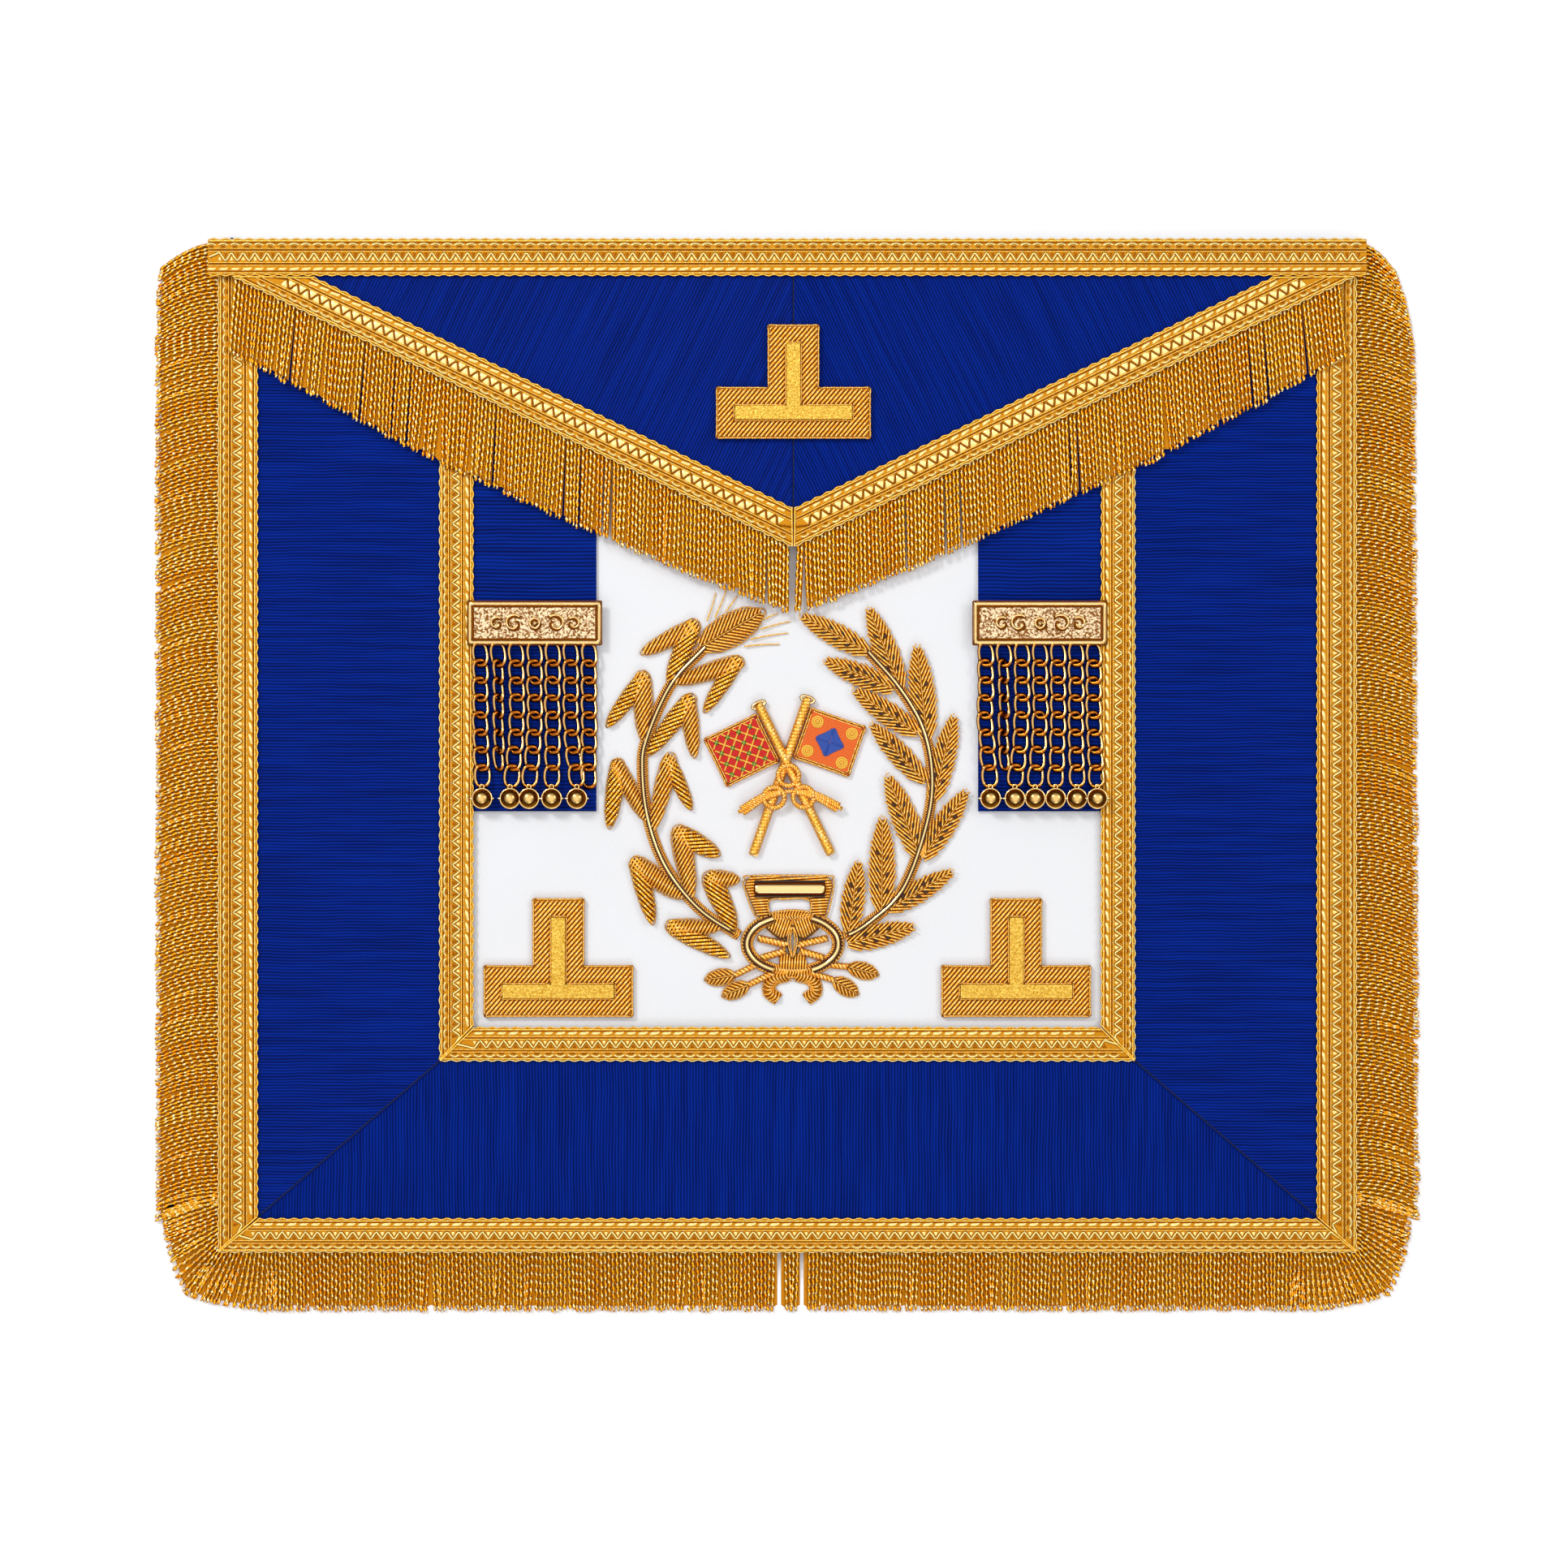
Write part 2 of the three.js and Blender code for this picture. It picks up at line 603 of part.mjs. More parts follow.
/** An inverted T: a foot bar as high as the stem is wide. */
function levelOutline(x, foot, width, height, arm) {
  const [w, a] = [width / 2, arm / 2];
  return [
    [x - w, foot], [x + w, foot], [x + w, foot + arm], [x + a, foot + arm],
    [x + a, foot + height], [x - a, foot + height], [x - a, foot + arm], [x - w, foot + arm],
  ];
}

function addLevels() {
  for (const { name, x, foot, width, height, floor } of LEVELS) {
    const seat = floor + LAYER_GAP;
    const outline = levelOutline(x, foot, width, height, LEVEL_ARM);
    addPiece(`level_${name}`, softSlab(outline, seat, LEVEL_PADDING, LEVEL_PADDING / 3), 'bullion');
    const m = LEVEL_MARGIN;
    const strip = levelOutline(x, foot + m, width - 2 * m, height - 2 * m, LEVEL_ARM - 2 * m);
    addPiece(`level_strip_${name}`, slab(strip, seat + LEVEL_PADDING + LAYER_GAP, STRIP_THICKNESS), 'gilt');
  }
}

// Wreath. Places are shares of the wreath's half width and half height from its middle.

const LEFT_STEM = [
  [-0.567, 0.827], [-0.803, 0.599], [-0.972, 0.267], [-1, 0.074],
  [-0.961, -0.223], [-0.837, -0.515], [-0.607, -0.767], [-0.331, -0.931],
];
const RIGHT_STEM = [
  [0.562, 0.797], [0.775, 0.579], [0.938, 0.327], [1, 0.03],
  [0.955, -0.272], [0.792, -0.653], [0.545, -0.861], [0.393, -0.936],
];
// The left branch's folded leaves: one lobe from the fold to the tip, one from the fold to the stem.
const FOLDED_LEAVES = [
  { fold: [-0.657, 0.946], tip: [-1.011, 0.787], root: [-0.82, 0.604], tipWidth: 0.94, rootWidth: 1.03 },
  { fold: [-0.36, 0.728], tip: [-0.573, 0.431], root: [-0.777, 0.609], tipWidth: 0.84, rootWidth: 0.98 },
  { fold: [-1, 0.629], tip: [-1.247, 0.342], root: [-0.99, 0.25], tipWidth: 0.89, rootWidth: 1.03 },
  { fold: [-0.685, 0.49], tip: [-0.64, 0.153], root: [-0.97, 0.165], tipWidth: 0.89, rootWidth: 0.98 },
  { fold: [-1.169, 0.094], tip: [-1.23, -0.277], root: [-0.975, -0.23], tipWidth: 0.94, rootWidth: 0.89 },
  { fold: [-0.815, 0.124], tip: [-0.663, -0.163], root: [-0.93, -0.29], tipWidth: 0.79, rootWidth: 0.94 },
  { fold: [-0.742, -0.312], tip: [-0.466, -0.441], root: [-0.66, -0.7], tipWidth: 1.08, rootWidth: 1.08 },
  { fold: [-1.034, -0.5], tip: [-0.927, -0.861], root: [-0.72, -0.7], tipWidth: 0.94, rootWidth: 1.13 },
  { fold: [-0.528, -0.584], tip: [-0.33, -0.589], root: [-0.36, -0.896], tipWidth: 0.94, rootWidth: 1.13 },
  { fold: [-0.781, -0.881], tip: [-0.399, -1.059], root: [-0.46, -0.88], tipWidth: 0.98, rootWidth: 0.94 },
];
const WHEAT_EAR = { root: [-0.607, 0.822], tip: [-0.157, 1.05], width: 1.13 };
// The right branch's leaves, from the stem to the tip.
const RIGHT_LEAVES = [
  { root: [0.567, 0.792], tip: [0.079, 1.025], width: 0.95 },
  { root: [0.787, 0.569], tip: [0.556, 1.079], width: 1.02 },
  { root: [0.742, 0.569], tip: [0.242, 0.752], width: 0.95 },
  { root: [0.966, 0.262], tip: [0.893, 0.851], width: 1.09 },
  { root: [0.91, 0.292], tip: [0.444, 0.574], width: 0.95 },
  { root: [0.961, -0.005], tip: [0.567, 0.371], width: 0.92 },
  { root: [1.006, -0.114], tip: [1.157, 0.426], width: 0.99 },
  { root: [0.921, -0.46], tip: [0.685, 0.059], width: 1.09 },
  { root: [0.927, -0.47], tip: [1.247, -0.035], width: 0.99 },
  { root: [0.652, -0.807], tip: [0.657, -0.193], width: 1.09 },
  { root: [0.42, -0.93], tip: [0.494, -0.465], width: 0.95 },
  { root: [0.685, -0.777], tip: [1.157, -0.53], width: 0.92 },
  { root: [0.404, -0.98], tip: [0.893, -0.871], width: 0.99 },
];
// Half width along a leaf and along a lobe, from root to tip, as a share of its greatest half width.
const LEAF_PROFILE = [
  { at: 0, half: 0.3 },
  { at: 0.18, half: 0.84 },
  { at: 0.45, half: 1 },
  { at: 0.76, half: 0.7 },
  { at: 1, half: 0.08 },
];
const LOBE_PROFILE = [
  { at: -0.14, half: 0.35 },
  { at: -0.02, half: 0.94 },
  { at: 0.35, half: 1 },
  { at: 0.8, half: 0.72 },
  { at: 1, half: 0.12 },
];

const embroideryFloor = skinFloor + SKIN + LAYER_GAP;

/** A place in the wreath, in millimetres. */
function inWreath([x, y]) {
  return new THREE.Vector2(x * WREATH_HALF_WIDTH, y * WREATH_HALF_HEIGHT + wreathMiddle);
}

/** A padded leaf or lobe from one place in the wreath to another. */
function leaf(root, tip, width, profile, crest = PADDING) {
  const [from, to] = [inWreath(root), inWreath(tip)];
  const path = profile.map(({ at }) => new THREE.Vector2().lerpVectors(from, to, at));
  const halfWidths = profile.map(({ half }) => half * width / 2);
  return paddedStrip(path, halfWidths, embroideryFloor, crest);
}

/** A padded stem along places in the wreath. */
function stem(places, width, floor, crest) {
  const curve = new THREE.SplineCurve(places.map(inWreath));
  const path = curve.getPoints(Math.ceil(1.25 * places.length));
  return paddedStrip(path, path.map(() => width / 2), floor, crest);
}

/** Cuts a branch off where the clasp's ring begins. */
function clearOfRing(geometry) {
  const outline = ringArc(RING_HALF_WIDTH + SEAM_GAP, RING_HALF_HEIGHT + SEAM_GAP, 0, 2 - 1 / 12, 24);
  const room = slab(outline.map(({ x, y }) => [x, y]), skinFloor, 3 * PADDING);
  return geometryOf(solidOf(geometry).subtract(solidOf(room)));
}

function addWreath() {
  const folded = FOLDED_LEAVES.flatMap(({ fold, tip, root, tipWidth, rootWidth }) => [
    leaf(fold, tip, tipWidth * LOBE_WIDTH, LOBE_PROFILE),
    leaf(fold, root, rootWidth * LOBE_WIDTH, LOBE_PROFILE),
  ]);
  const ear = leaf(WHEAT_EAR.root, WHEAT_EAR.tip, WHEAT_EAR.width * LEAF_WIDTH, LEAF_PROFILE);
  const leftStem = stem(LEFT_STEM, STEM_WIDTH, embroideryFloor, PADDING);
  const leaves = RIGHT_LEAVES.map(({ root, tip, width }) => {
    return leaf(root, tip, width * LEAF_WIDTH, LEAF_PROFILE);
  });
  const rightStem = stem(RIGHT_STEM, STEM_WIDTH, embroideryFloor, PADDING);
  addPiece('wreath_left', clearOfRing(joined([leftStem, ear, ...folded])), 'bullion');
  addPiece('wreath_right', clearOfRing(joined([rightStem, ...leaves])), 'bullion');
  const wireFloor = embroideryFloor + PADDING + LAYER_GAP;
  addPiece('stem_wire_left', clearOfRing(stem(LEFT_STEM, STEM_WIRE, wireFloor, STEM_WIRE)), 'gilt');
  addPiece('stem_wire_right', clearOfRing(stem(RIGHT_STEM, STEM_WIRE, wireFloor, STEM_WIRE)), 'gilt');
}

// Crossed staffs with their banners and knot

const LEFT_STAFF = { top: [-0.197, 0.475], foot: [0.298, -0.426] };
const RIGHT_STAFF = { top: [0.14, 0.51], foot: [-0.233, -0.431] };
const BANNERS = [
  { name: 'left', staff: LEFT_STAFF, side: -1 },
  { name: 'right', staff: RIGHT_STAFF, side: 1 },
];
const BANNER_BELOW_TOP = 2.2;
const FINIAL_WIDTH = 6.4;
const FINIAL_DEPTH = 2.9;
const KNOT_RADIUS = 4.9;
const KNOT_ROPE = 1.8;
const KNOT_LOOPS = [[0.008, 0.045], [-0.091, -0.089], [0.111, -0.086]];
const KNOT_WINGS = [[-0.32, -0.173], [0.36, -0.153]];
const KNOT_HEART = [0.008, -0.05];

/** A round finial seen from its end, lying across the top of a staff. */
function finial({ top, foot }) {
  const [head, tail] = [inWreath(top), inWreath(foot)];
  const along = new THREE.Vector2().subVectors(head, tail);
  const knob = new THREE.CylinderGeometry(FINIAL_WIDTH / 2, FINIAL_WIDTH / 2, PADDING, 12);
  knob.rotateX(Math.PI / 2);
  knob.scale(1, FINIAL_DEPTH / FINIAL_WIDTH, 1);
  knob.rotateZ(Math.atan2(along.y, along.x) - Math.PI / 2);
  knob.translate(head.x, head.y, embroideryFloor + PADDING / 2);
  return knob;
}

/** A square banner's corners, hung by one edge along a staff, on its outer side. */
function bannerOutline({ top, foot }, side) {
  const along = new THREE.Vector2().subVectors(inWreath(foot), inWreath(top)).normalize();
  const across = new THREE.Vector2(-along.y * side, along.x * side);
  const at = (down, out) => {
    const place = inWreath(top).addScaledVector(along, down).addScaledVector(across, out);
    return [place.x, place.y];
  };
  const near = STAFF_WIDTH / 2 + SEAM_GAP;
  const far = near + WREATH_HALF_WIDTH - BANNER_INSET;
  const [high, low] = [BANNER_BELOW_TOP, BANNER_BELOW_TOP + BANNER_HEIGHT];
  const corners = [at(high, near), at(low, near), at(low, far), at(high, far)];
  return side === 1 ? corners : corners.reverse();
}

/** One loop of the knot's rope, as a flat ring. */
function ropeLoop(place, floor) {
  const ring = new THREE.TorusGeometry(KNOT_RADIUS - KNOT_ROPE / 2, KNOT_ROPE / 2, 5, 10);
  const middle = inWreath(place);
  ring.translate(middle.x, middle.y, floor + KNOT_ROPE / 2);
  return ring;
}

function addStandards() {
  const staffs = [LEFT_STAFF, RIGHT_STAFF].flatMap((staff) => {
    const path = [inWreath(staff.foot), inWreath(staff.top)];
    const rod = paddedStrip(path, path.map(() => STAFF_WIDTH / 2), embroideryFloor, PADDING);
    return [rod, finial(staff)];
  });
  addPiece('crossed_staffs', joined(staffs), 'bullion');

  for (const { name, staff, side } of BANNERS) {
    addPiece(`banner_${name}`, slab(bannerOutline(staff, side), embroideryFloor, BANNER_THICKNESS), 'banner');
  }

  const knotFloor = embroideryFloor + PADDING + LAYER_GAP;
  const loops = KNOT_LOOPS.map((place) => ropeLoop(place, knotFloor));
  const wings = KNOT_WINGS.map((tip) => {
    const [from, to] = [inWreath(KNOT_HEART), inWreath(tip)];
    return paddedStrip([from, to], [KNOT_ROPE, KNOT_ROPE / 2], knotFloor, KNOT_ROPE);
  });
  addPiece('rope_knot', joined([...loops, ...wings]), 'bullion');
}

// Clasp at the wreath's foot: a frame with a bar, a ring of two bent wires round a leaf, and two hooks

const CLASP_FRAME = [
  [-0.27, -0.575], [-0.3, -0.62], [-0.22, -0.81], [-0.12, -0.83], [-0.118, -0.713],
  [0.147, -0.713], [0.16, -0.83], [0.27, -0.81], [0.32, -0.62], [0.29, -0.575],
];
const RING_MIDDLE = [0.037, -0.98];
const RING_HALF_WIDTH = 18.6;
const RING_HALF_HEIGHT = 12.4;
const RING_WIDTH = 4.6;
const CLASP_LEAF = { root: [0.037, -WREATH_LOWEST], tip: [0.037, -0.78], width: 1.75 };
const CLASP_HOOKS = [
  { side: -1, path: [[0.0, -1.17], [-0.1, -1.2], [-0.125, -1.27], [-0.06, -1.32]] },
  { side: 1, path: [[0.07, -1.17], [0.17, -1.2], [0.195, -1.27], [0.13, -1.32]] },
];
const SPRIGS = [
  { root: [-0.22, -1.11], joint: [-0.36, -1.17], tip: [-0.57, -1.2] },
  { root: [-0.1, -1.16], joint: [-0.27, -1.23], tip: [-0.45, -1.3] },
  { root: [0.3, -1.11], joint: [0.42, -1.12], tip: [0.63, -1.17] },
  { root: [0.17, -1.16], joint: [0.32, -1.2], tip: [0.49, -1.29] },
];
const BAR_LENGTH = 25.8;
const BAR_WIDTH = 4.4;
const BAR_MIDDLE = [0.017, -0.645];
const WIRE_TURN = 0.36;

/** Points of an ellipse, from one turn to another in half turns, round the ring's middle. */
function ringArc(halfX, halfY, from, to, count) {
  const middle = inWreath(RING_MIDDLE);
  return Array.from({ length: count }, (_, i) => {
    const turn = THREE.MathUtils.lerp(from, to, i / (count - 1)) * Math.PI;
    return new THREE.Vector2(middle.x + halfX * Math.cos(turn), middle.y + halfY * Math.sin(turn));
  });
}

/** One of the clasp's small leaves on its twisted stalk. */
function sprig({ root, joint, tip }) {
  const path = [inWreath(root), inWreath(joint)];
  const stalk = paddedStrip(path, path.map(() => STEM_WIDTH / 2), embroideryFloor, PADDING);
  return [stalk, leaf(joint, tip, LOBE_WIDTH, LEAF_PROFILE)];
}

function addClasp() {
  const corners = (places) => places.map(inWreath).map(({ x, y }) => [x, y]);
  const frame = slab(corners(CLASP_FRAME), embroideryFloor, PADDING);
  const outer = ringArc(RING_HALF_WIDTH, RING_HALF_HEIGHT, 0, 2 - 1 / 12, 24);
  const inner = ringArc(RING_HALF_WIDTH - RING_WIDTH, RING_HALF_HEIGHT - RING_WIDTH, 0, 2 - 1 / 12, 24);
  const pairs = (points) => points.map(({ x, y }) => [x, y]);
  const ring = slab(pairs(outer), embroideryFloor, PADDING, [pairs(inner)]);
  const heart = leaf(CLASP_LEAF.root, CLASP_LEAF.tip, CLASP_LEAF.width * LEAF_WIDTH, LEAF_PROFILE);
  const hooks = CLASP_HOOKS.map(({ path }) => stem(path, 1.7 * STEM_WIDTH, embroideryFloor, PADDING));
  addPiece('clasp', joined([frame, ring, heart, ...hooks, ...SPRIGS.flatMap(sprig)]), 'bullion');

  const wireFloor = embroideryFloor + PADDING + LAYER_GAP;
  const middle = RING_WIDTH / 2;
  for (const [name, turn] of [['left', 1], ['right', 0]]) {
    const [halfX, halfY] = [RING_HALF_WIDTH - middle, RING_HALF_HEIGHT - middle];
    const path = ringArc(halfX, halfY, turn - WIRE_TURN, turn + WIRE_TURN, 9);
    const wire = paddedStrip(path, path.map(() => STEM_WIRE / 2), wireFloor, STEM_WIRE);
    addPiece(`clasp_wire_${name}`, wire, 'gilt');
  }
  const bar = inWreath(BAR_MIDDLE);
  const barEnd = (side) => new THREE.Vector2(bar.x + side * BAR_LENGTH / 2, bar.y);
  const barPath = [barEnd(-1), barEnd(1)];
  const rod = paddedStrip(barPath, [BAR_WIDTH / 2, BAR_WIDTH / 2], wireFloor, BAR_WIDTH / 3);
  addPiece('clasp_bar', rod, 'gilt');
}

addBody();
addLace();
addFlap();
addOuterFringe();
addRibbons();
addLevels();
addWreath();
addStandards();
addClasp();

// The origin is the middle of the whole apron's box, on the table that it lies on.
apron.updateMatrixWorld(true);
const reach = new THREE.Box3().setFromObject(apron);
const middle = reach.getCenter(new THREE.Vector3());
apron.position.set(-middle.x, -middle.y, -reach.min.z);

export default apron;
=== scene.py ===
"""Looks of a full-dress masonic apron laid flat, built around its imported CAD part.

Lengths in the tables and classes are millimetres in the apron's own drawing: x runs across from the body's
middle line, y is 0 along its waist and negative below it, and z rises from the table. `in_frame` turns them
into metres in the frame.
"""

import logging
import math
from dataclasses import dataclass
from enum import Enum
from typing import Any, Callable, Optional, Sequence, Union

import bpy
import numpy as np
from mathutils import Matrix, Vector


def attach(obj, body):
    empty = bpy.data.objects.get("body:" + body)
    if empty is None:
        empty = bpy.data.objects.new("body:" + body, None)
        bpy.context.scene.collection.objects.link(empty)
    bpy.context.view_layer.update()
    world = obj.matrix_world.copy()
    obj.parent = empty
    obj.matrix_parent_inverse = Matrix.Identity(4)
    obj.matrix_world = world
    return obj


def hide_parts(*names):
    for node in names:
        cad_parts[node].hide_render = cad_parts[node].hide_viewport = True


logging.basicConfig(level=logging.INFO, format="%(message)s")
log = logging.getLogger("apron")

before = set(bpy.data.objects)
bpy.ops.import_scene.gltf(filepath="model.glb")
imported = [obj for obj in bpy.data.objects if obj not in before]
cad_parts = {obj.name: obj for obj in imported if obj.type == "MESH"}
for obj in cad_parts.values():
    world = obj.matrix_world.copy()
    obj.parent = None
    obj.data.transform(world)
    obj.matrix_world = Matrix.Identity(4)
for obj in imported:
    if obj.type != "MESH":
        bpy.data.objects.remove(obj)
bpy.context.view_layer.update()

Tree = bpy.types.NodeTree
Socket = bpy.types.NodeSocket
Value = Union[Socket, float, tuple]
Heights = Callable[[np.ndarray], np.ndarray]

MM = 0.001
SEED = 1717
# From the drawing's origin to the frame's, which is the middle of the whole apron's box.
SHIFT = np.array([0.011, 190.6, 0.0])

BODY_WIDTH = 406.4
BODY_HEIGHT = 361.4
HALF = BODY_WIDTH / 2
SIDE_LACE = 14.4
HEM_LACE = 12.2
INNER_LACE = 12.2
TOP_LACE = 13.4
FLAP_LACE = 12.7
HALF_WINDOW = 111.95
WINDOW_FOOT = 281.0
# How far a panel's edge lies under the lace, and how far the cloths stay inside the body's edge.
TURN_IN = 3.3
INSET = 0.6
CLOTH = 1.2
RIBBON_WIDTH = 43.8
RIBBON_LENGTH = 204.0
FLAP_DEPTH = 96.1
# How far the flap's tip lies right of the middle line, and its upper corners inside the body's edge.
FLAP_OFFSET = 2.2
FLAP_SHOULDER = 31.8
FLAP_SLOPE = (FLAP_DEPTH - TOP_LACE) / (HALF - FLAP_SHOULDER)
FLAP_SLANT = math.hypot(1, FLAP_SLOPE)


class Rise(float, Enum):
    """Height of each layer's underside above the table."""

    LINING = 0.0
    FRINGE = 1.5
    SKIN = 1.25
    CLOTH = 2.7
    LACE = 4.15
    WIRE = 4.85
    FLAP = 5.6
    FLAP_LACE = 7.25


class Side(Enum):
    """A side of the apron as it is seen from the front, with its direction along x."""

    LEFT = -1
    RIGHT = 1

    @property
    def label(self) -> str:
        """The side's name in the names of pieces."""
        return self.name.lower()


def in_frame(points: Sequence) -> np.ndarray:
    """Turns points of the drawing into metres in the frame.

    Args:
        points: rows of x, y and z in millimetres.

    Returns:
        The same rows in metres, moved to the frame's origin.
    """
    return (np.asarray(points, float).reshape(-1, 3) + SHIFT) * MM


def read_table(table: Sequence[tuple], at: float) -> float:
    """Reads a table of (place, value) rows in straight lines between its rows."""
    places, values = zip(*table)
    return float(np.interp(at, places, values))


def unit(vector: Sequence[float]) -> np.ndarray:
    """The vector at length 1."""
    vector = np.asarray(vector, float)
    return vector / np.linalg.norm(vector)


def beside(along: np.ndarray) -> np.ndarray:
    """A flat direction, or rows of them, turned a quarter turn anticlockwise."""
    return np.stack([-along[..., 1], along[..., 0]], -1)


def raised(flat: Sequence, height: Union[float, np.ndarray]) -> np.ndarray:
    """Flat points lifted to one height, or each to its own."""
    return np.column_stack([flat, np.broadcast_to(np.asarray(height, float), len(flat))])


def round_turn(count: int) -> np.ndarray:
    """Angles evenly round one turn."""
    return np.linspace(0, math.tau, count, endpoint=False)


def circle(radius: float, count: int) -> np.ndarray:
    """Flat points round the origin."""
    turn = round_turn(count)
    return radius * np.column_stack([np.cos(turn), np.sin(turn)])


def closed_line(corners: Sequence, points: int = 0) -> np.ndarray:
    """A closed line through corners.

    Args:
        corners: rows of x and y.
        points: the points of each side with both its corners, or one every 2 mm if it is 0.

    Returns:
        Its points, each corner once.
    """
    corners = np.asarray(corners, float)
    line = []
    for start, end in zip(corners, np.roll(corners, -1, 0)):
        count = points or max(3, int(np.linalg.norm(end - start) / 2))
        line.append(np.linspace(start, end, count)[:-1])
    return np.concatenate(line)


def smooth_path(places: Sequence, count: int) -> np.ndarray:
    """Points along a Catmull-Rom curve through places of two or three coordinates."""
    p = np.asarray(places, float)
    p = np.vstack([2 * p[0] - p[1], p, 2 * p[-1] - p[-2]])
    spans = len(p) - 3
    out = []
    for t in np.linspace(0, spans - 1e-6, count):
        i, f = int(t), t - int(t)
        a, b, c, d = p[i : i + 4]
        square, cube = 2 * a - 5 * b + 4 * c - d, 3 * b - a - 3 * c + d
        out.append(0.5 * (2 * b + (c - a) * f + square * f**2 + cube * f**3))
    return np.array(out)


def travelled(path: np.ndarray) -> np.ndarray:
    """How far along a path each of its points lies."""
    return np.concatenate([[0], np.cumsum(np.linalg.norm(np.diff(path, axis=0), axis=1))])


def point_at(at: Union[float, np.ndarray], travel: np.ndarray, path: np.ndarray) -> np.ndarray:
    """The place, or places, at distances along a path whose points lie at the distances in travel."""
    return np.stack([np.interp(at, travel, column) for column in path.T], -1)


def offset_outline(outline: np.ndarray, inset: float) -> np.ndarray:
    """An anticlockwise outline moved inwards by an inset."""
    before, after = np.roll(outline, 1, axis=0), np.roll(outline, -1, axis=0)
    a = (outline - before) / np.linalg.norm(outline - before, axis=1)[:, None]
    b = (after - outline) / np.linalg.norm(after - outline, axis=1)[:, None]
    middle = beside(a) + beside(b)
    share = 2 / np.maximum((middle**2).sum(1), 0.5)
    return outline + middle * (inset * share)[:, None]


# Node trees


def add_node(tree: Tree, kind: str, inputs: Optional[dict] = None, **settings: Any) -> bpy.types.Node:
    """Adds a node, sets its properties and sets or links its inputs."""
    node = tree.nodes.new(kind)
    for key, value in settings.items():
        setattr(node, key, value)
    for key, value in (inputs or {}).items():
        socket = node.inputs[key]
        if isinstance(value, Socket):
            tree.links.new(value, socket)
        else:
            socket.default_value = value
    return node


def maths(tree: Tree, operation: str, *values: Value, clamp: bool = False) -> Socket:
    """One maths node's result."""
    node = add_node(tree, "ShaderNodeMath", dict(enumerate(values)), operation=operation, use_clamp=clamp)
    return node.outputs[0]


def rgba(colour: Value) -> Value:
    """A colour with its alpha; a socket stays as it is."""
    return (*colour, 1.0) if isinstance(colour, tuple) else colour


def mix_colour(tree: Tree, share: Value, a: Value, b: Value) -> Socket:
    """One colour mixed with another by a share."""
    return add_node(tree, "ShaderNodeMix", {0: share, 6: rgba(a), 7: rgba(b)}, data_type="RGBA").outputs[2]


def noise(tree: Tree, vector: Socket, scale: float, detail: float = 2.0) -> Socket:
    """A noise value from 0 to 1."""
    return add_node(tree, "ShaderNodeTexNoise", {"Vector": vector, "Scale": scale, "Detail": detail}).outputs[0]


def split(tree: Tree, vector: Socket) -> Sequence[Socket]:
    """A vector's three coordinates."""
    return add_node(tree, "ShaderNodeSeparateXYZ", {0: vector}).outputs


def wave(tree: Tree, place: Value, length: Value, phase: Value = 0.0) -> Socket:
    """A sine wave of a length over a place, from -1 to 1."""
    turns = maths(tree, "DIVIDE", place, length)
    return maths(tree, "SINE", maths(tree, "MULTIPLY_ADD", turns, math.tau, phase))


def new_group(name: str, inputs: dict, outputs: Sequence[str]) -> tuple:
    """Starts a shader node group.

    Args:
        name: the group's name.
        inputs: each input's usual value by its name, or None for a vector.
        outputs: the names of the values that the group gives out.

    Returns:
        The group, its input sockets and its output sockets.
    """
    tree = bpy.data.node_groups.new(name, "ShaderNodeTree")
    for key, value in inputs.items():
        kind = "NodeSocketVector" if value is None else "NodeSocketFloat"
        socket = tree.interface.new_socket(key, in_out="INPUT", socket_type=kind)
        if value is not None:
            socket.default_value = value
    for key in outputs:
        tree.interface.new_socket(key, in_out="OUTPUT", socket_type="NodeSocketFloat")
    return tree, tree.nodes.new("NodeGroupInput").outputs, tree.nodes.new("NodeGroupOutput").inputs


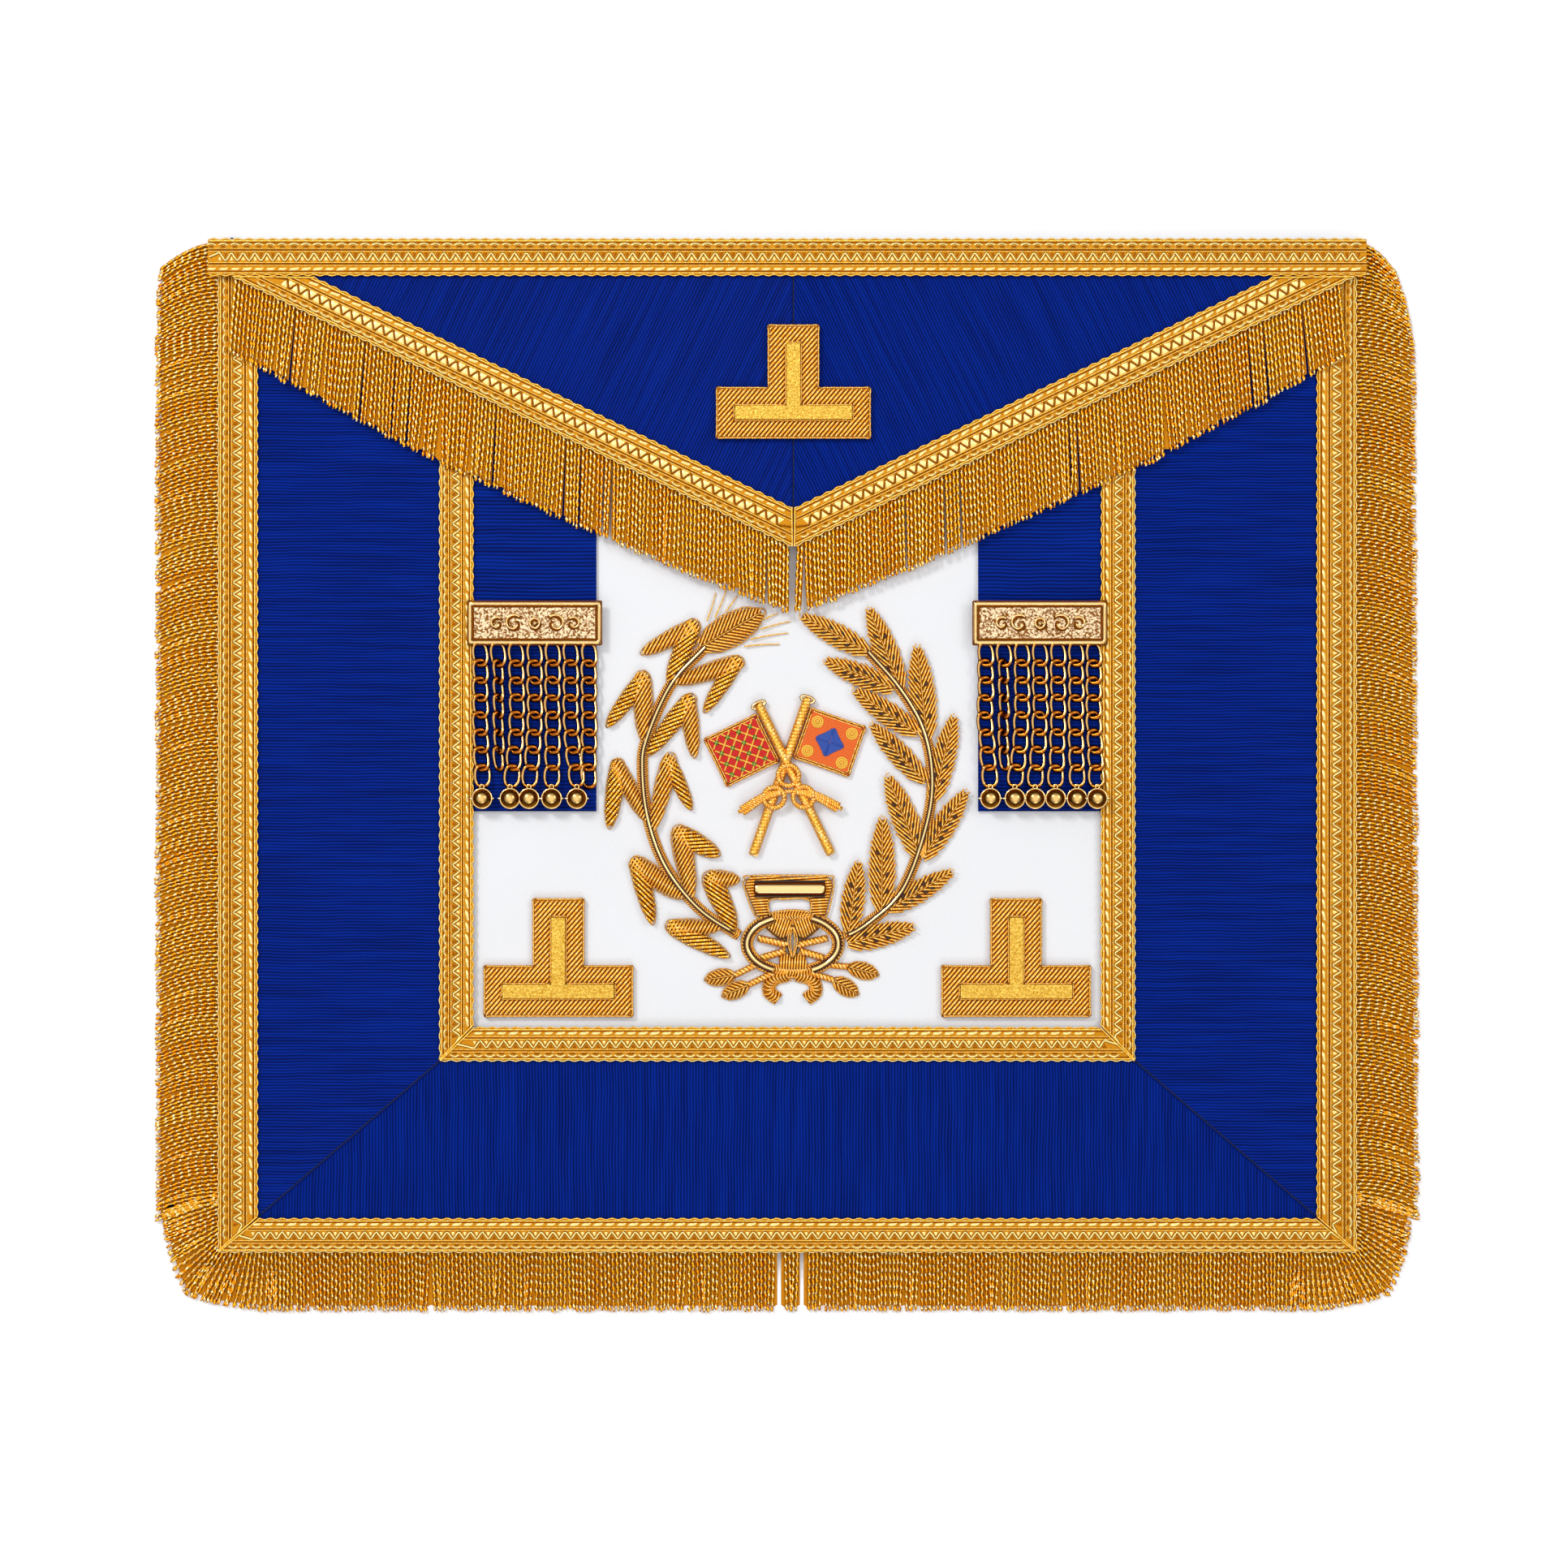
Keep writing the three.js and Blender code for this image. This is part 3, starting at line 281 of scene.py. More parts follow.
class Effects:
    """Shared shader effects: each is a node group that gives out only masks and heights."""

    def __init__(self) -> None:
        self.ribs = self._ribs()
        self.grain = self._grain()
        self.thread = self._thread()
        self.weave = self._weave()

    @staticmethod
    def _ribs() -> Tree:
        """Ribbed silk: ribs across the map's first coordinate, with painted shade in the hollows between them, broken
        here and there by slubs.
        """
        tree, given, out = new_group("Ribs", {"Place": None, "Pitch": 1.06}, ("Line", "Height"))
        along_ribs = {0: given["Place"], 1: (1.0, 0.04, 1.0)}
        stretched = add_node(tree, "ShaderNodeVectorMath", along_ribs, operation="MULTIPLY").outputs[0]
        slub = maths(tree, "MULTIPLY_ADD", noise(tree, stretched, 0.6, 3.0), 1.5, -0.7)
        drift = maths(tree, "MULTIPLY", noise(tree, given["Place"], 0.05, 1.0), 1.2)
        across = maths(tree, "ADD", split(tree, given["Place"])[0], drift)
        height = maths(tree, "MULTIPLY_ADD", wave(tree, across, given["Pitch"]), 0.5, 0.5)
        # Painted shade: strongest where the ribs are lowest, and varied by the slubs.
        line = maths(tree, "MULTIPLY_ADD", maths(tree, "SUBTRACT", 1.0, height), 0.95, slub)
        tree.links.new(height, out["Height"])
        tree.links.new(maths(tree, "MULTIPLY", line, 0.95, clamp=True), out["Line"])
        return tree

    @staticmethod
    def _grain() -> Tree:
        """Soft skin: fine pores over slow rises and falls."""
        tree, given, out = new_group("Grain", {"Place": None}, ("Height", "Cloud"))
        pores = add_node(tree, "ShaderNodeTexVoronoi", {"Vector": given["Place"], "Scale": 1.9}).outputs[0]
        fine = noise(tree, given["Place"], 1.1, 4.0)
        tree.links.new(maths(tree, "MULTIPLY_ADD", pores, 0.35, fine), out["Height"])
        tree.links.new(noise(tree, given["Place"], 0.03, 3.0), out["Cloud"])
        return tree

    @staticmethod
    def _thread() -> Tree:
        """Metal thread: a fine coil, pale glints of painted highlight at its turns, deep colour in patches, and
        painted shade down its sides.
        """
        inputs = {key: 0.5 for key in ("Coil", "Turn", "Edge", "Fall")}
        tree, given, out = new_group("Thread", inputs, ("Deep", "Height", "Glint", "Side"))
        along, shade, phase = (
            add_node(tree, "ShaderNodeAttribute", attribute_name=name).outputs["Fac"]
            for name in ("along", "shade", "phase")
        )
        coords = add_node(tree, "ShaderNodeTexCoord").outputs
        patch = noise(tree, coords["Object"], 700.0, 2.0)
        up = maths(tree, "ABSOLUTE", split(tree, coords["Normal"])[2])
        coil = wave(tree, along, given["Coil"])
        tree.links.new(maths(tree, "MULTIPLY_ADD", coil, 0.5, 0.5), out["Height"])
        deep = maths(tree, "MULTIPLY_ADD", patch, 0.7, -0.15)
        tree.links.new(maths(tree, "ADD", deep, shade, clamp=True), out["Deep"])
        # Painted highlight: pale glints at each half turn of the twist, only on faces that look up.
        painted_spark = maths(tree, "MULTIPLY_ADD", patch, 0.9, wave(tree, along, given["Turn"], phase))
        painted_spark = maths(tree, "MULTIPLY_ADD", painted_spark, 2.4, -2.1, clamp=True)
        crest = maths(tree, "MULTIPLY_ADD", up, 3.5, -1.5, clamp=True)
        tree.links.new(maths(tree, "MULTIPLY", painted_spark, crest), out["Glint"])
        # Painted shade: the Side mask grows as the surface turns from facing straight up.
        below = maths(tree, "SUBTRACT", given["Edge"], up)
        tree.links.new(maths(tree, "MULTIPLY", below, given["Fall"], clamp=True), out["Side"])
        return tree

    @staticmethod
    def _weave() -> Tree:
        """Woven metal cloth: a fine check over the map."""
        tree, given, out = new_group("Weave", {"Place": None, "Pitch": 0.8}, ("Height", "Patch"))
        place = split(tree, given["Place"])
        check = maths(tree, "MULTIPLY", *(wave(tree, place[axis], given["Pitch"]) for axis in (0, 1)))
        tree.links.new(maths(tree, "MULTIPLY_ADD", check, 0.5, 0.5), out["Height"])
        tree.links.new(noise(tree, given["Place"], 1.3, 3.0), out["Patch"])
        return tree


# Finishes

# Metal thread keeps its colour where it is seen edge on.
THREAD_GLOSS = {"Specular Tint": (1.0, 0.62, 0.25, 1.0), "Specular IOR Level": 0.2}


def start_material(name: str, values: dict) -> tuple:
    """A new material, its tree and its shader, with the shader's plain values set."""
    material = bpy.data.materials.new(name)
    material.use_nodes = True
    shader = material.node_tree.nodes["Principled BSDF"]
    for key, value in values.items():
        shader.inputs[key].default_value = value
    return material, material.node_tree, shader


def use_group(tree: Tree, group: Tree, inputs: dict) -> Sequence[Socket]:
    """Puts a shared effect into a material and returns its outputs."""
    return add_node(tree, "ShaderNodeGroup", inputs, node_tree=group).outputs


def map_place(tree: Tree) -> Socket:
    """A piece's own map, in millimetres."""
    return add_node(tree, "ShaderNodeUVMap", uv_map="UVMap").outputs[0]


def set_surface(tree: Tree, shader: bpy.types.Node, colour: Socket, height: Socket, depth: float) -> None:
    """Links a shader's colour, and presses a height, whose 1 is so many millimetres, into its normal."""
    bump = add_node(tree, "ShaderNodeBump", {"Height": height, "Distance": depth * MM, "Strength": 1.0})
    tree.links.new(colour, shader.inputs["Base Color"])
    tree.links.new(bump.outputs[0], shader.inputs["Normal"])


@dataclass(frozen=True)
class Silk:
    """Ribbed silk or ribbon."""

    name: str
    face: tuple
    # The colour of the painted shade between the ribs.
    line: tuple
    pitch: float = 1.06
    rough: float = 0.5
    depth: float = 0.2

    def material(self, effects: Effects) -> bpy.types.Material:
        """Builds the silk's material."""
        material, tree, shader = start_material(self.name, {"Roughness": self.rough, "Specular IOR Level": 0.04})
        ribs = use_group(tree, effects.ribs, {"Place": map_place(tree), "Pitch": self.pitch})
        colour = mix_colour(tree, ribs["Line"], self.face, self.line)
        set_surface(tree, shader, colour, ribs["Height"], self.depth)
        return material


@dataclass(frozen=True)
class Skin:
    """White lambskin."""

    name: str
    face: tuple
    hollow: tuple
    rough: float = 0.6
    depth: float = 0.1

    def material(self, effects: Effects) -> bpy.types.Material:
        """Builds the skin's material."""
        material, tree, shader = start_material(self.name, {"Roughness": self.rough, "Specular IOR Level": 0.3})
        grain = use_group(tree, effects.grain, {"Place": map_place(tree)})
        colour = mix_colour(tree, grain["Cloud"], self.face, self.hollow)
        set_surface(tree, shader, colour, grain["Height"], self.depth)
        return material


@dataclass(frozen=True)
class MetalThread:
    """Gold thread, cord or purl: bright on its crest with pale glints of painted highlight, and painted shade down
    its sides.
    """

    name: str
    bright: tuple
    deep: tuple
    metal: float = 0.9
    rough: float = 0.34
    coil: float = 0.5
    depth: float = 0.05
    # How strongly the painted highlight shows.
    glint: float = 0.4
    turn: float = 2.6
    # Painted shade: how upright a face must be to escape it, and how fast it deepens below that.
    edge: float = 0.72
    fall: float = 1.5
    # The colour of the painted shade down the sides.
    shadow: tuple = (0.22, 0.05, 0.003)
    # The colour of the painted highlight.
    cream: tuple = (1.0, 0.87, 0.42)

    def material(self, effects: Effects) -> bpy.types.Material:
        """Builds the thread's material."""
        values = {"Metallic": self.metal, "Roughness": self.rough, **THREAD_GLOSS}
        material, tree, shader = start_material(self.name, values)
        given = {"Coil": self.coil, "Turn": self.turn, "Edge": self.edge, "Fall": self.fall}
        thread = use_group(tree, effects.thread, given)
        colour = mix_colour(tree, thread["Deep"], self.bright, self.deep)
        # Painted highlight: pale glints mixed in on the crest.
        colour = mix_colour(tree, maths(tree, "MULTIPLY", thread["Glint"], self.glint), colour, self.cream)
        # Painted shade down the sides.
        colour = mix_colour(tree, thread["Side"], colour, self.shadow)
        set_surface(tree, shader, colour, thread["Height"], self.depth)
        return material


@dataclass(frozen=True)
class PolishedWire(MetalThread):
    """Plain polished metal: painted shade down its sides as a thread has, but with no coil and no painted glints."""

    metal: float = 1.0
    rough: float = 0.14
    depth: float = 0.0
    glint: float = 0.0


@dataclass(frozen=True)
class MetalCloth:
    """The woven ground under lace or fringe, or the padding under bullion: deep in the weave's low cells as painted
    shade, and in random patches.
    """

    name: str
    bright: tuple
    deep: tuple
    metal: float = 0.7
    rough: float = 0.45
    pitch: float = 0.8
    depth: float = 0.12

    def material(self, effects: Effects) -> bpy.types.Material:
        """Builds the cloth's material."""
        values = {"Metallic": self.metal, "Roughness": self.rough, **THREAD_GLOSS}
        material, tree, shader = start_material(self.name, values)
        weave = use_group(tree, effects.weave, {"Place": map_place(tree), "Pitch": self.pitch})
        patch = maths(tree, "MULTIPLY_ADD", weave["Patch"], 1.2, 0.1)
        # Painted shade in the weave's low cells, with random patches.
        share = maths(tree, "MULTIPLY", weave["Height"], patch, clamp=True)
        set_surface(tree, shader, mix_colour(tree, share, self.deep, self.bright), weave["Height"], self.depth)
        return material


@dataclass(frozen=True)
class Gilt:
    """Polished, stippled or hammered gilt metal, paler on the high spots of its relief as painted highlight and
    deeper in its hollows as painted shade.
    """

    name: str
    face: tuple
    hollow: tuple
    rough: float
    hammer: float
    grain: float = 900.0
    contrast: float = 1.6

    def material(self, effects: Effects) -> bpy.types.Material:
        """Builds the metal's material."""
        material, tree, shader = start_material(self.name, {"Metallic": 1.0, "Roughness": self.rough})
        height = noise(tree, add_node(tree, "ShaderNodeTexCoord").outputs["Object"], self.grain, 3.0)
        # Painted highlight and shade, following the same noise as the relief.
        share = maths(tree, "MULTIPLY_ADD", height, self.contrast, 0.5 - 0.5 * self.contrast, clamp=True)
        set_surface(tree, shader, mix_colour(tree, share, self.hollow, self.face), height, self.hammer)
        return material


@dataclass(frozen=True)
class Matt:
    """A plain matt finish, such as floss or the table."""

    name: str
    face: tuple
    rough: float = 0.5

    def material(self, effects: Effects) -> bpy.types.Material:
        """Builds the finish's material."""
        return start_material(self.name, {"Base Color": rgba(self.face), "Roughness": self.rough})[0]


class Finish(Enum):
    """Every finish of the apron."""

    SILK = Silk("royal blue silk", (0.0, 0.0195, 0.27), (0.0, 0.005, 0.08))
    RIBBON = Silk("royal blue ribbon", (0.0, 0.0205, 0.265), (0.0, 0.005, 0.08), pitch=1.3)
    LINING = Silk("blue lining", (0.008, 0.035, 0.26), (0.004, 0.015, 0.14), pitch=0.7, rough=0.75, depth=0.05)
    SKIN = Skin("white lambskin", (0.765, 0.775, 0.795), (0.73, 0.735, 0.75))
    LACE_GROUND = MetalCloth("lace ground", (0.86, 0.4, 0.02), (0.45, 0.16, 0.006))
    LACE_CORD = MetalThread(
        "lace cord", (1.0, 0.6, 0.075), (0.88, 0.4, 0.022), rough=0.36, shadow=(0.4, 0.13, 0.006)
    )
    # Paler than the gold, as painted highlight on the lace's raised stitches and pale lines.
    LACE_LIGHT = MetalThread("bright lace thread", (1.0, 0.84, 0.34), (1.0, 0.68, 0.16), metal=0.75, rough=0.4)
    # Dark lines and shapes laid where the lace is in shade, and round the plate: painted shade.
    LACE_SHADOW = MetalThread("dark lace thread", (0.42, 0.13, 0.006), (0.2, 0.05, 0.002), rough=0.5, glint=0.0)
    FRINGE = MetalThread(
        "bullion fringe", (1.0, 0.53, 0.03), (0.98, 0.35, 0.008), metal=0.92, rough=0.3, glint=1.0, turn=3.0,
        shadow=(0.5, 0.135, 0.002),
    )
    FRINGE_BACK = MetalCloth("strands behind", (0.9, 0.4, 0.015), (0.42, 0.13, 0.004), metal=0.6, rough=0.5)
    PURL = MetalThread(
        "bullion purl", (1.0, 0.56, 0.1), (0.95, 0.39, 0.03), rough=0.38, coil=0.45, shadow=(0.55, 0.17, 0.008)
    )
    PURL_SHINY = MetalThread(
        "shiny purl", (1.0, 0.52, 0.05), (0.75, 0.28, 0.012), rough=0.24, coil=0.9, depth=0.1, glint=0.4
    )
    # Coloured deep so that it shows as painted shade in the gaps between rows of purl.
    PADDING = MetalCloth("padding under the bullion", (0.6, 0.24, 0.02), (0.34, 0.11, 0.006), metal=0.3)
    # Dark pieces laid in gaps and beside wires and the bar, as painted shade.
    SLOT = Matt("gap between rows", (0.045, 0.012, 0.002), 0.6)
    # The polished metals take painted shade down their sides: the bar all but a pale band along its top, the ball all
    # but a small bright spot; the chain's links are also painted deep where they cross.
    WIRE = PolishedWire("bright wire", (1.0, 0.78, 0.36), (0.96, 0.62, 0.2), edge=0.85, fall=2.6)
    BAR = PolishedWire("polished bar", (1.0, 0.76, 0.34), (0.96, 0.6, 0.2), edge=0.955, fall=7.0)
    CHAIN = PolishedWire(
        "chain gilt", (1.0, 0.62, 0.22), (0.5, 0.15, 0.015), rough=0.18, edge=0.8, fall=2.4,
        shadow=(0.1, 0.022, 0.002),
    )
    BALL = PolishedWire(
        "dark gilt", (0.95, 0.62, 0.22), (0.8, 0.46, 0.13), rough=0.22, edge=0.99, fall=5.5,
        shadow=(0.22, 0.085, 0.012),
    )
    GILT = Gilt("polished gilt", (1.0, 0.74, 0.34), (0.86, 0.52, 0.17), 0.16, 0.01)
    PLATE = Gilt("stippled gilt", (0.92, 0.7, 0.43), (0.22, 0.08, 0.012), 0.32, 0.35, 1350.0, 6.5)
    HAMMERED = Gilt("hammered gilt", (0.92, 0.6, 0.11), (0.56, 0.28, 0.02), 0.34, 0.3, 1300.0, 3.0)
    # Painted shade along the seams.
    SEAM = Matt("seam shadow", (0.0, 0.003, 0.03), 0.8)
    FLOSS_RED = Matt("red floss", (0.62, 0.012, 0.006))
    FLOSS_ORANGE = Matt("orange floss", (0.8, 0.16, 0.02))
    FLOSS_BLUE = Matt("blue floss", (0.02, 0.07, 0.36))
    FLOSS_GREEN = Matt("green floss", (0.05, 0.22, 0.02))
    FLOSS_YELLOW = Matt("yellow floss", (0.85, 0.5, 0.05))
    TABLE = Matt("white table", (0.95, 0.95, 0.95), 0.8)


class Wardrobe:
    """Makes each finish's material once."""

    def __init__(self) -> None:
        self.effects = Effects()
        self.made: dict = {}

    def __getitem__(self, finish: Finish) -> bpy.types.Material:
        """The finish's material."""
        if finish not in self.made:
            self.made[finish] = finish.value.material(self.effects)
        return self.made[finish]


WARDROBE = Wardrobe()


# Meshes


def put(name: str, data: Any) -> bpy.types.Object:
    """Puts a mesh, a lamp or a camera into the scene as a new object."""
    thing = bpy.data.objects.new(name, data)
    bpy.context.scene.collection.objects.link(thing)
    return thing


class Draft:
    """Gathers the points and faces of one mesh, with a map in millimetres."""

    def __init__(self) -> None:
        self.points: list = []
        self.places: list = []
        self.faces: list = []
        self.count = 0

    def add(self, points: Sequence, faces: Sequence, places: Optional[Sequence] = None) -> None:
        """Adds points and the faces between them.

        Args:
            points: rows of x, y and z in millimetres.
            faces: tuples of the points' indices, from 0.
            places: the points' places on the map, or their x and y if left out.
        """
        points = np.asarray(points, float).reshape(-1, 3)
        self.points.append(points)
        self.places.append(points[:, :2] if places is None else np.asarray(places, float).reshape(-1, 2))
        self.faces.extend(tuple(i + self.count for i in face) for face in faces)
        self.count += len(points)

    def grid(self, points: np.ndarray, places: Optional[np.ndarray] = None, wrap: bool = False) -> None:
        """Adds a grid of points, rows by columns, facing up where rows run to +x and columns to +y."""
        rows, columns = points.shape[:2]
        i, j = np.meshgrid(np.arange(rows - 1), np.arange(columns if wrap else columns - 1), indexing="ij")
        a, b = i * columns + j, i * columns + (j + 1) % columns
        faces = np.stack([a, a + columns, b + columns, b], -1).reshape(-1, 4)
        self.add(points, faces.tolist(), places)

    def shell(self, top: np.ndarray, depth: float, places: np.ndarray, closed: bool = True) -> None:
        """Adds a sheet: a grid of points, its rim down to a depth, and its underside if it is closed."""
        rows, columns = top.shape[:2]
        self.grid(top, places)
        rim = [(i, 0) for i in range(rows)] + [(rows - 1, j) for j in range(1, columns)]
        rim += [(i, columns - 1) for i in range(rows - 2, -1, -1)] + [(0, j) for j in range(columns - 2, 0, -1)]
        edge = np.array([top[spot] for spot in rim])
        where = np.array([places[spot] for spot in rim])
        ring, sunk = len(rim), np.array([0, 0, depth])
        faces = [(k, ring + k, ring + (k + 1) % ring, (k + 1) % ring) for k in range(ring)]
        self.add(np.stack([edge, edge - sunk]), faces, np.stack([where, where]))
        if closed:
            self.grid((top - sunk)[:, ::-1], places[:, ::-1])

    def slab(self, outline: Sequence, floor: float, height: float, inset: float = 0.0) -> None:
        """Adds a flat piece cut to an outline that runs anticlockwise, chamfered if it has an inset."""
        outline = np.asarray(outline, float)
        count, top = len(outline), floor + height
        levels = [raised(outline, floor), raised(outline, top - inset)]
        if inset:
            levels.append(raised(offset_outline(outline, inset), top))
        last = (len(levels) - 1) * count
        faces = []
        for low in range(0, last, count):
            for k in range(count):
                a, b = low + k, low + (k + 1) % count
                faces.append((a, b, b + count, a + count))
        faces += [tuple(range(last, last + count)), tuple(reversed(range(count)))]
        self.add(np.vstack(levels), faces)

    def build(self, name: str, finish: Finish, smooth: bool = True) -> bpy.types.Object:
        """Makes the mesh's object."""
        mesh = bpy.data.meshes.new(name)
        mesh.from_pydata(in_frame(np.vstack(self.points)).tolist(), [], self.faces)
        loops = np.zeros(len(mesh.loops), np.int32)
        mesh.loops.foreach_get("vertex_index", loops)
        layer = mesh.uv_layers.new(name="UVMap")
        layer.data.foreach_set("uv", np.vstack(self.places)[loops].astype(np.float32).ravel())
        mesh.polygons.foreach_set("use_smooth", np.full(len(mesh.polygons), smooth))
        mesh.materials.append(WARDROBE[finish])
        return put(name, mesh)


def joined(name: str, parts: Sequence[bpy.types.Object]) -> bpy.types.Object:
    """Joins meshes into one object."""
    context = {"active_object": parts[0], "selected_objects": parts, "selected_editable_objects": parts}
    if len(parts) > 1:
        with bpy.context.temp_override(**context):
            bpy.ops.object.join()
    parts[0].name = name
    return parts[0]


# Geometry Nodes


def tree_with(name: str, inputs: dict) -> tuple:
    """A Geometry Nodes tree with a geometry in and out and more named inputs."""
    tree = bpy.data.node_groups.new(name, "GeometryNodeTree")
    for key, kind in {"Geometry": "Geometry", **inputs, "Material": "Material"}.items():
        tree.interface.new_socket(key, in_out="INPUT", socket_type="NodeSocket" + kind)
    tree.interface.new_socket("Geometry", in_out="OUTPUT", socket_type="NodeSocketGeometry")
    return tree, tree.nodes.new("NodeGroupInput").outputs, tree.nodes.new("NodeGroupOutput").inputs


def step_on(tree: Tree, geometry: Socket, kind: str, inputs: Optional[dict] = None, **settings: Any) -> Socket:
    """Sends a geometry through one more node."""
    return add_node(tree, "GeometryNode" + kind, {0: geometry, **(inputs or {})}, **settings).outputs[0]


def attribute(tree: Tree, name: str, kind: str = "FLOAT") -> Socket:
    """A named attribute of the geometry."""
    return add_node(tree, "GeometryNodeInputNamedAttribute", {"Name": name}, data_type=kind).outputs[0]


def end_tree(tree: Tree, geometry: Socket, material: Socket, out: Sequence[Socket]) -> Tree:
    """Ends a tree in real meshes with their material."""
    real = step_on(tree, geometry, "RealizeInstances")
    tree.links.new(step_on(tree, real, "SetMaterial", {"Material": material}), out["Geometry"])
    return tree


def run_tree(tree: Tree, guide: bpy.types.Mesh, values: dict, finish: Finish, name: str) -> bpy.types.Object:
    """Runs a tree on a guide mesh and returns the result as a plain mesh object.

    Args:
        tree: the Geometry Nodes tree.
        guide: the mesh that goes in.
        values: the tree's inputs by name.
        finish: the finish of the result.
        name: the new object's name.

    Returns:
        The new object. The guide's object is gone.
    """
    carrier = put(name + " guide", guide)
    modifier = carrier.modifiers.new("work", "NODES")
    modifier.node_group = tree
    sockets = {s.name: s.identifier for s in tree.interface.items_tree if s.in_out == "INPUT"}
    for key, value in {**values, "Material": WARDROBE[finish]}.items():
        modifier[sockets[key]] = value
    graph = bpy.context.evaluated_depsgraph_get()
    result = carrier.evaluated_get(graph)
    mesh = bpy.data.meshes.new_from_object(result, preserve_all_data_layers=True, depsgraph=graph)
    mesh.name = name
    carrier.modifiers.remove(modifier)
    bpy.data.objects.remove(carrier)
    return put(name, mesh)


@dataclass(frozen=True)
class Cord:
    """How a cord is swept: its step, sides, the flatness of its two-ply section and its half turn's length."""

    step: float = 1.0
    sides: int = 5
    flat: float = 0.0
    turn: float = 3.0


class CordLines:
    """Lines to be swept into cords, each point with a half thickness and each line with a shade."""

    tree: Optional[Tree] = None

    def __init__(self) -> None:
        self.points: list = []
        self.edges: list = []
        self.values: dict = {"thickness": [], "shade": [], "phase": []}
        self.count = 0

    def add(
        self, path: Sequence, radius: Union[float, Sequence], shade: Union[float, np.ndarray] = 0.0,
        phase: float = 0.0, ring: bool = False,
    ) -> None:
        """Adds one line.

        Args:
            path: rows of x, y and z in millimetres.
            radius: the cord's half thickness, one for all points or one for each.
            shade: 0 for the bright colour up to 1 for the deep one, one for all points or one for each.
            phase: where its twist starts, in radians.
            ring: whether its end joins its start.
        """
        path = np.asarray(path, float).reshape(-1, 3)
        n = len(path)
        self.points.append(path)
        for key, value in (("thickness", radius), ("shade", shade), ("phase", phase)):
            self.values[key].append(np.broadcast_to(np.asarray(value, float), n))
        self.edges.extend((self.count + i, self.count + i + 1) for i in range(n - 1))
        if ring:
            self.edges.append((self.count + n - 1, self.count))
        self.count += n

    def rope(self, path: np.ndarray, radius: float, turn: float, shade: float = 0.1) -> None:
        """Adds the two plies of a rope, each a helix round a path."""
        travel = travelled(path)
        at = np.linspace(0, travel[-1], max(8, int(travel[-1] / turn * 8)))
        middle = point_at(at, travel, path)
        across = beside(np.gradient(middle, axis=0))
        across = raised(across / np.linalg.norm(across, axis=1)[:, None], 0.0)
        for ply in (0, 1):
            angle = math.tau * at / turn + math.pi * ply
            helix = np.cos(angle)[:, None] * across + np.sin(angle)[:, None] * np.array([0, 0, 1.0])
            self.add(middle + 0.5 * radius * helix, 0.56 * radius, shade, float(ply))

    @staticmethod
    def _tree() -> Tree:
        """The tree: lines become smooth curves, twist along their length and take a two-ply section."""
        inputs = {"Step": "Float", "Sides": "Int", "Flatness": "Float", "Twist": "Float"}
        tree, given, out = tree_with("Cords", inputs)
        length = add_node(tree, "GeometryNodeSplineParameter").outputs["Length"]
        tilt = maths(tree, "MULTIPLY_ADD", length, given["Twist"], attribute(tree, "phase"))
        along = {"Name": "along", "Value": maths(tree, "MULTIPLY", length, 1 / MM)}
        curve = step_on(tree, given["Geometry"], "MeshToCurve")
        curve = step_on(tree, curve, "CurveSplineType", spline_type="CATMULL_ROM")
        curve = step_on(tree, curve, "ResampleCurve", {"Length": given["Step"]}, mode="LENGTH")
        curve = step_on(tree, curve, "SetCurveNormal", mode="Z_UP")
        curve = step_on(tree, curve, "SetCurveTilt", {"Tilt": tilt})
        curve = step_on(tree, curve, "StoreNamedAttribute", along, data_type="FLOAT", domain="POINT")
        circle_inputs = {"Resolution": given["Sides"], "Radius": 1.0}
        section = add_node(tree, "GeometryNodeCurvePrimitiveCircle", circle_inputs).outputs[0]
        across = maths(tree, "SUBTRACT", 1.0, given["Flatness"])
        squash = add_node(tree, "ShaderNodeCombineXYZ", {"X": across, "Y": 1.0, "Z": 1.0}).outputs[0]
        section = step_on(tree, section, "Transform", {"Scale": squash})
        swept = {"Profile Curve": section, "Scale": attribute(tree, "thickness"), "Fill Caps": True}
        mesh = step_on(tree, step_on(tree, curve, "CurveToMesh", swept), "SetShadeSmooth")
        return end_tree(tree, mesh, given["Material"], out)

    def build(self, name: str, finish: Finish, cord: Cord) -> bpy.types.Object:
        """Sweeps the lines into one mesh object."""
        CordLines.tree = CordLines.tree or self._tree()
        mesh = bpy.data.meshes.new(name + " lines")
        mesh.from_pydata(in_frame(np.vstack(self.points)).tolist(), self.edges, [])
        for key, columns in self.values.items():
            column = np.concatenate(columns) * (MM if key == "thickness" else 1.0)
            mesh.attributes.new(key, "FLOAT", "POINT").data.foreach_set("value", column.astype(np.float32))
        twist = math.pi / (cord.turn * MM) if cord.flat else 0.0
        values = {"Step": cord.step * MM, "Sides": cord.sides, "Flatness": cord.flat, "Twist": twist}
        return run_tree(CordLines.tree, mesh, values, finish, name)


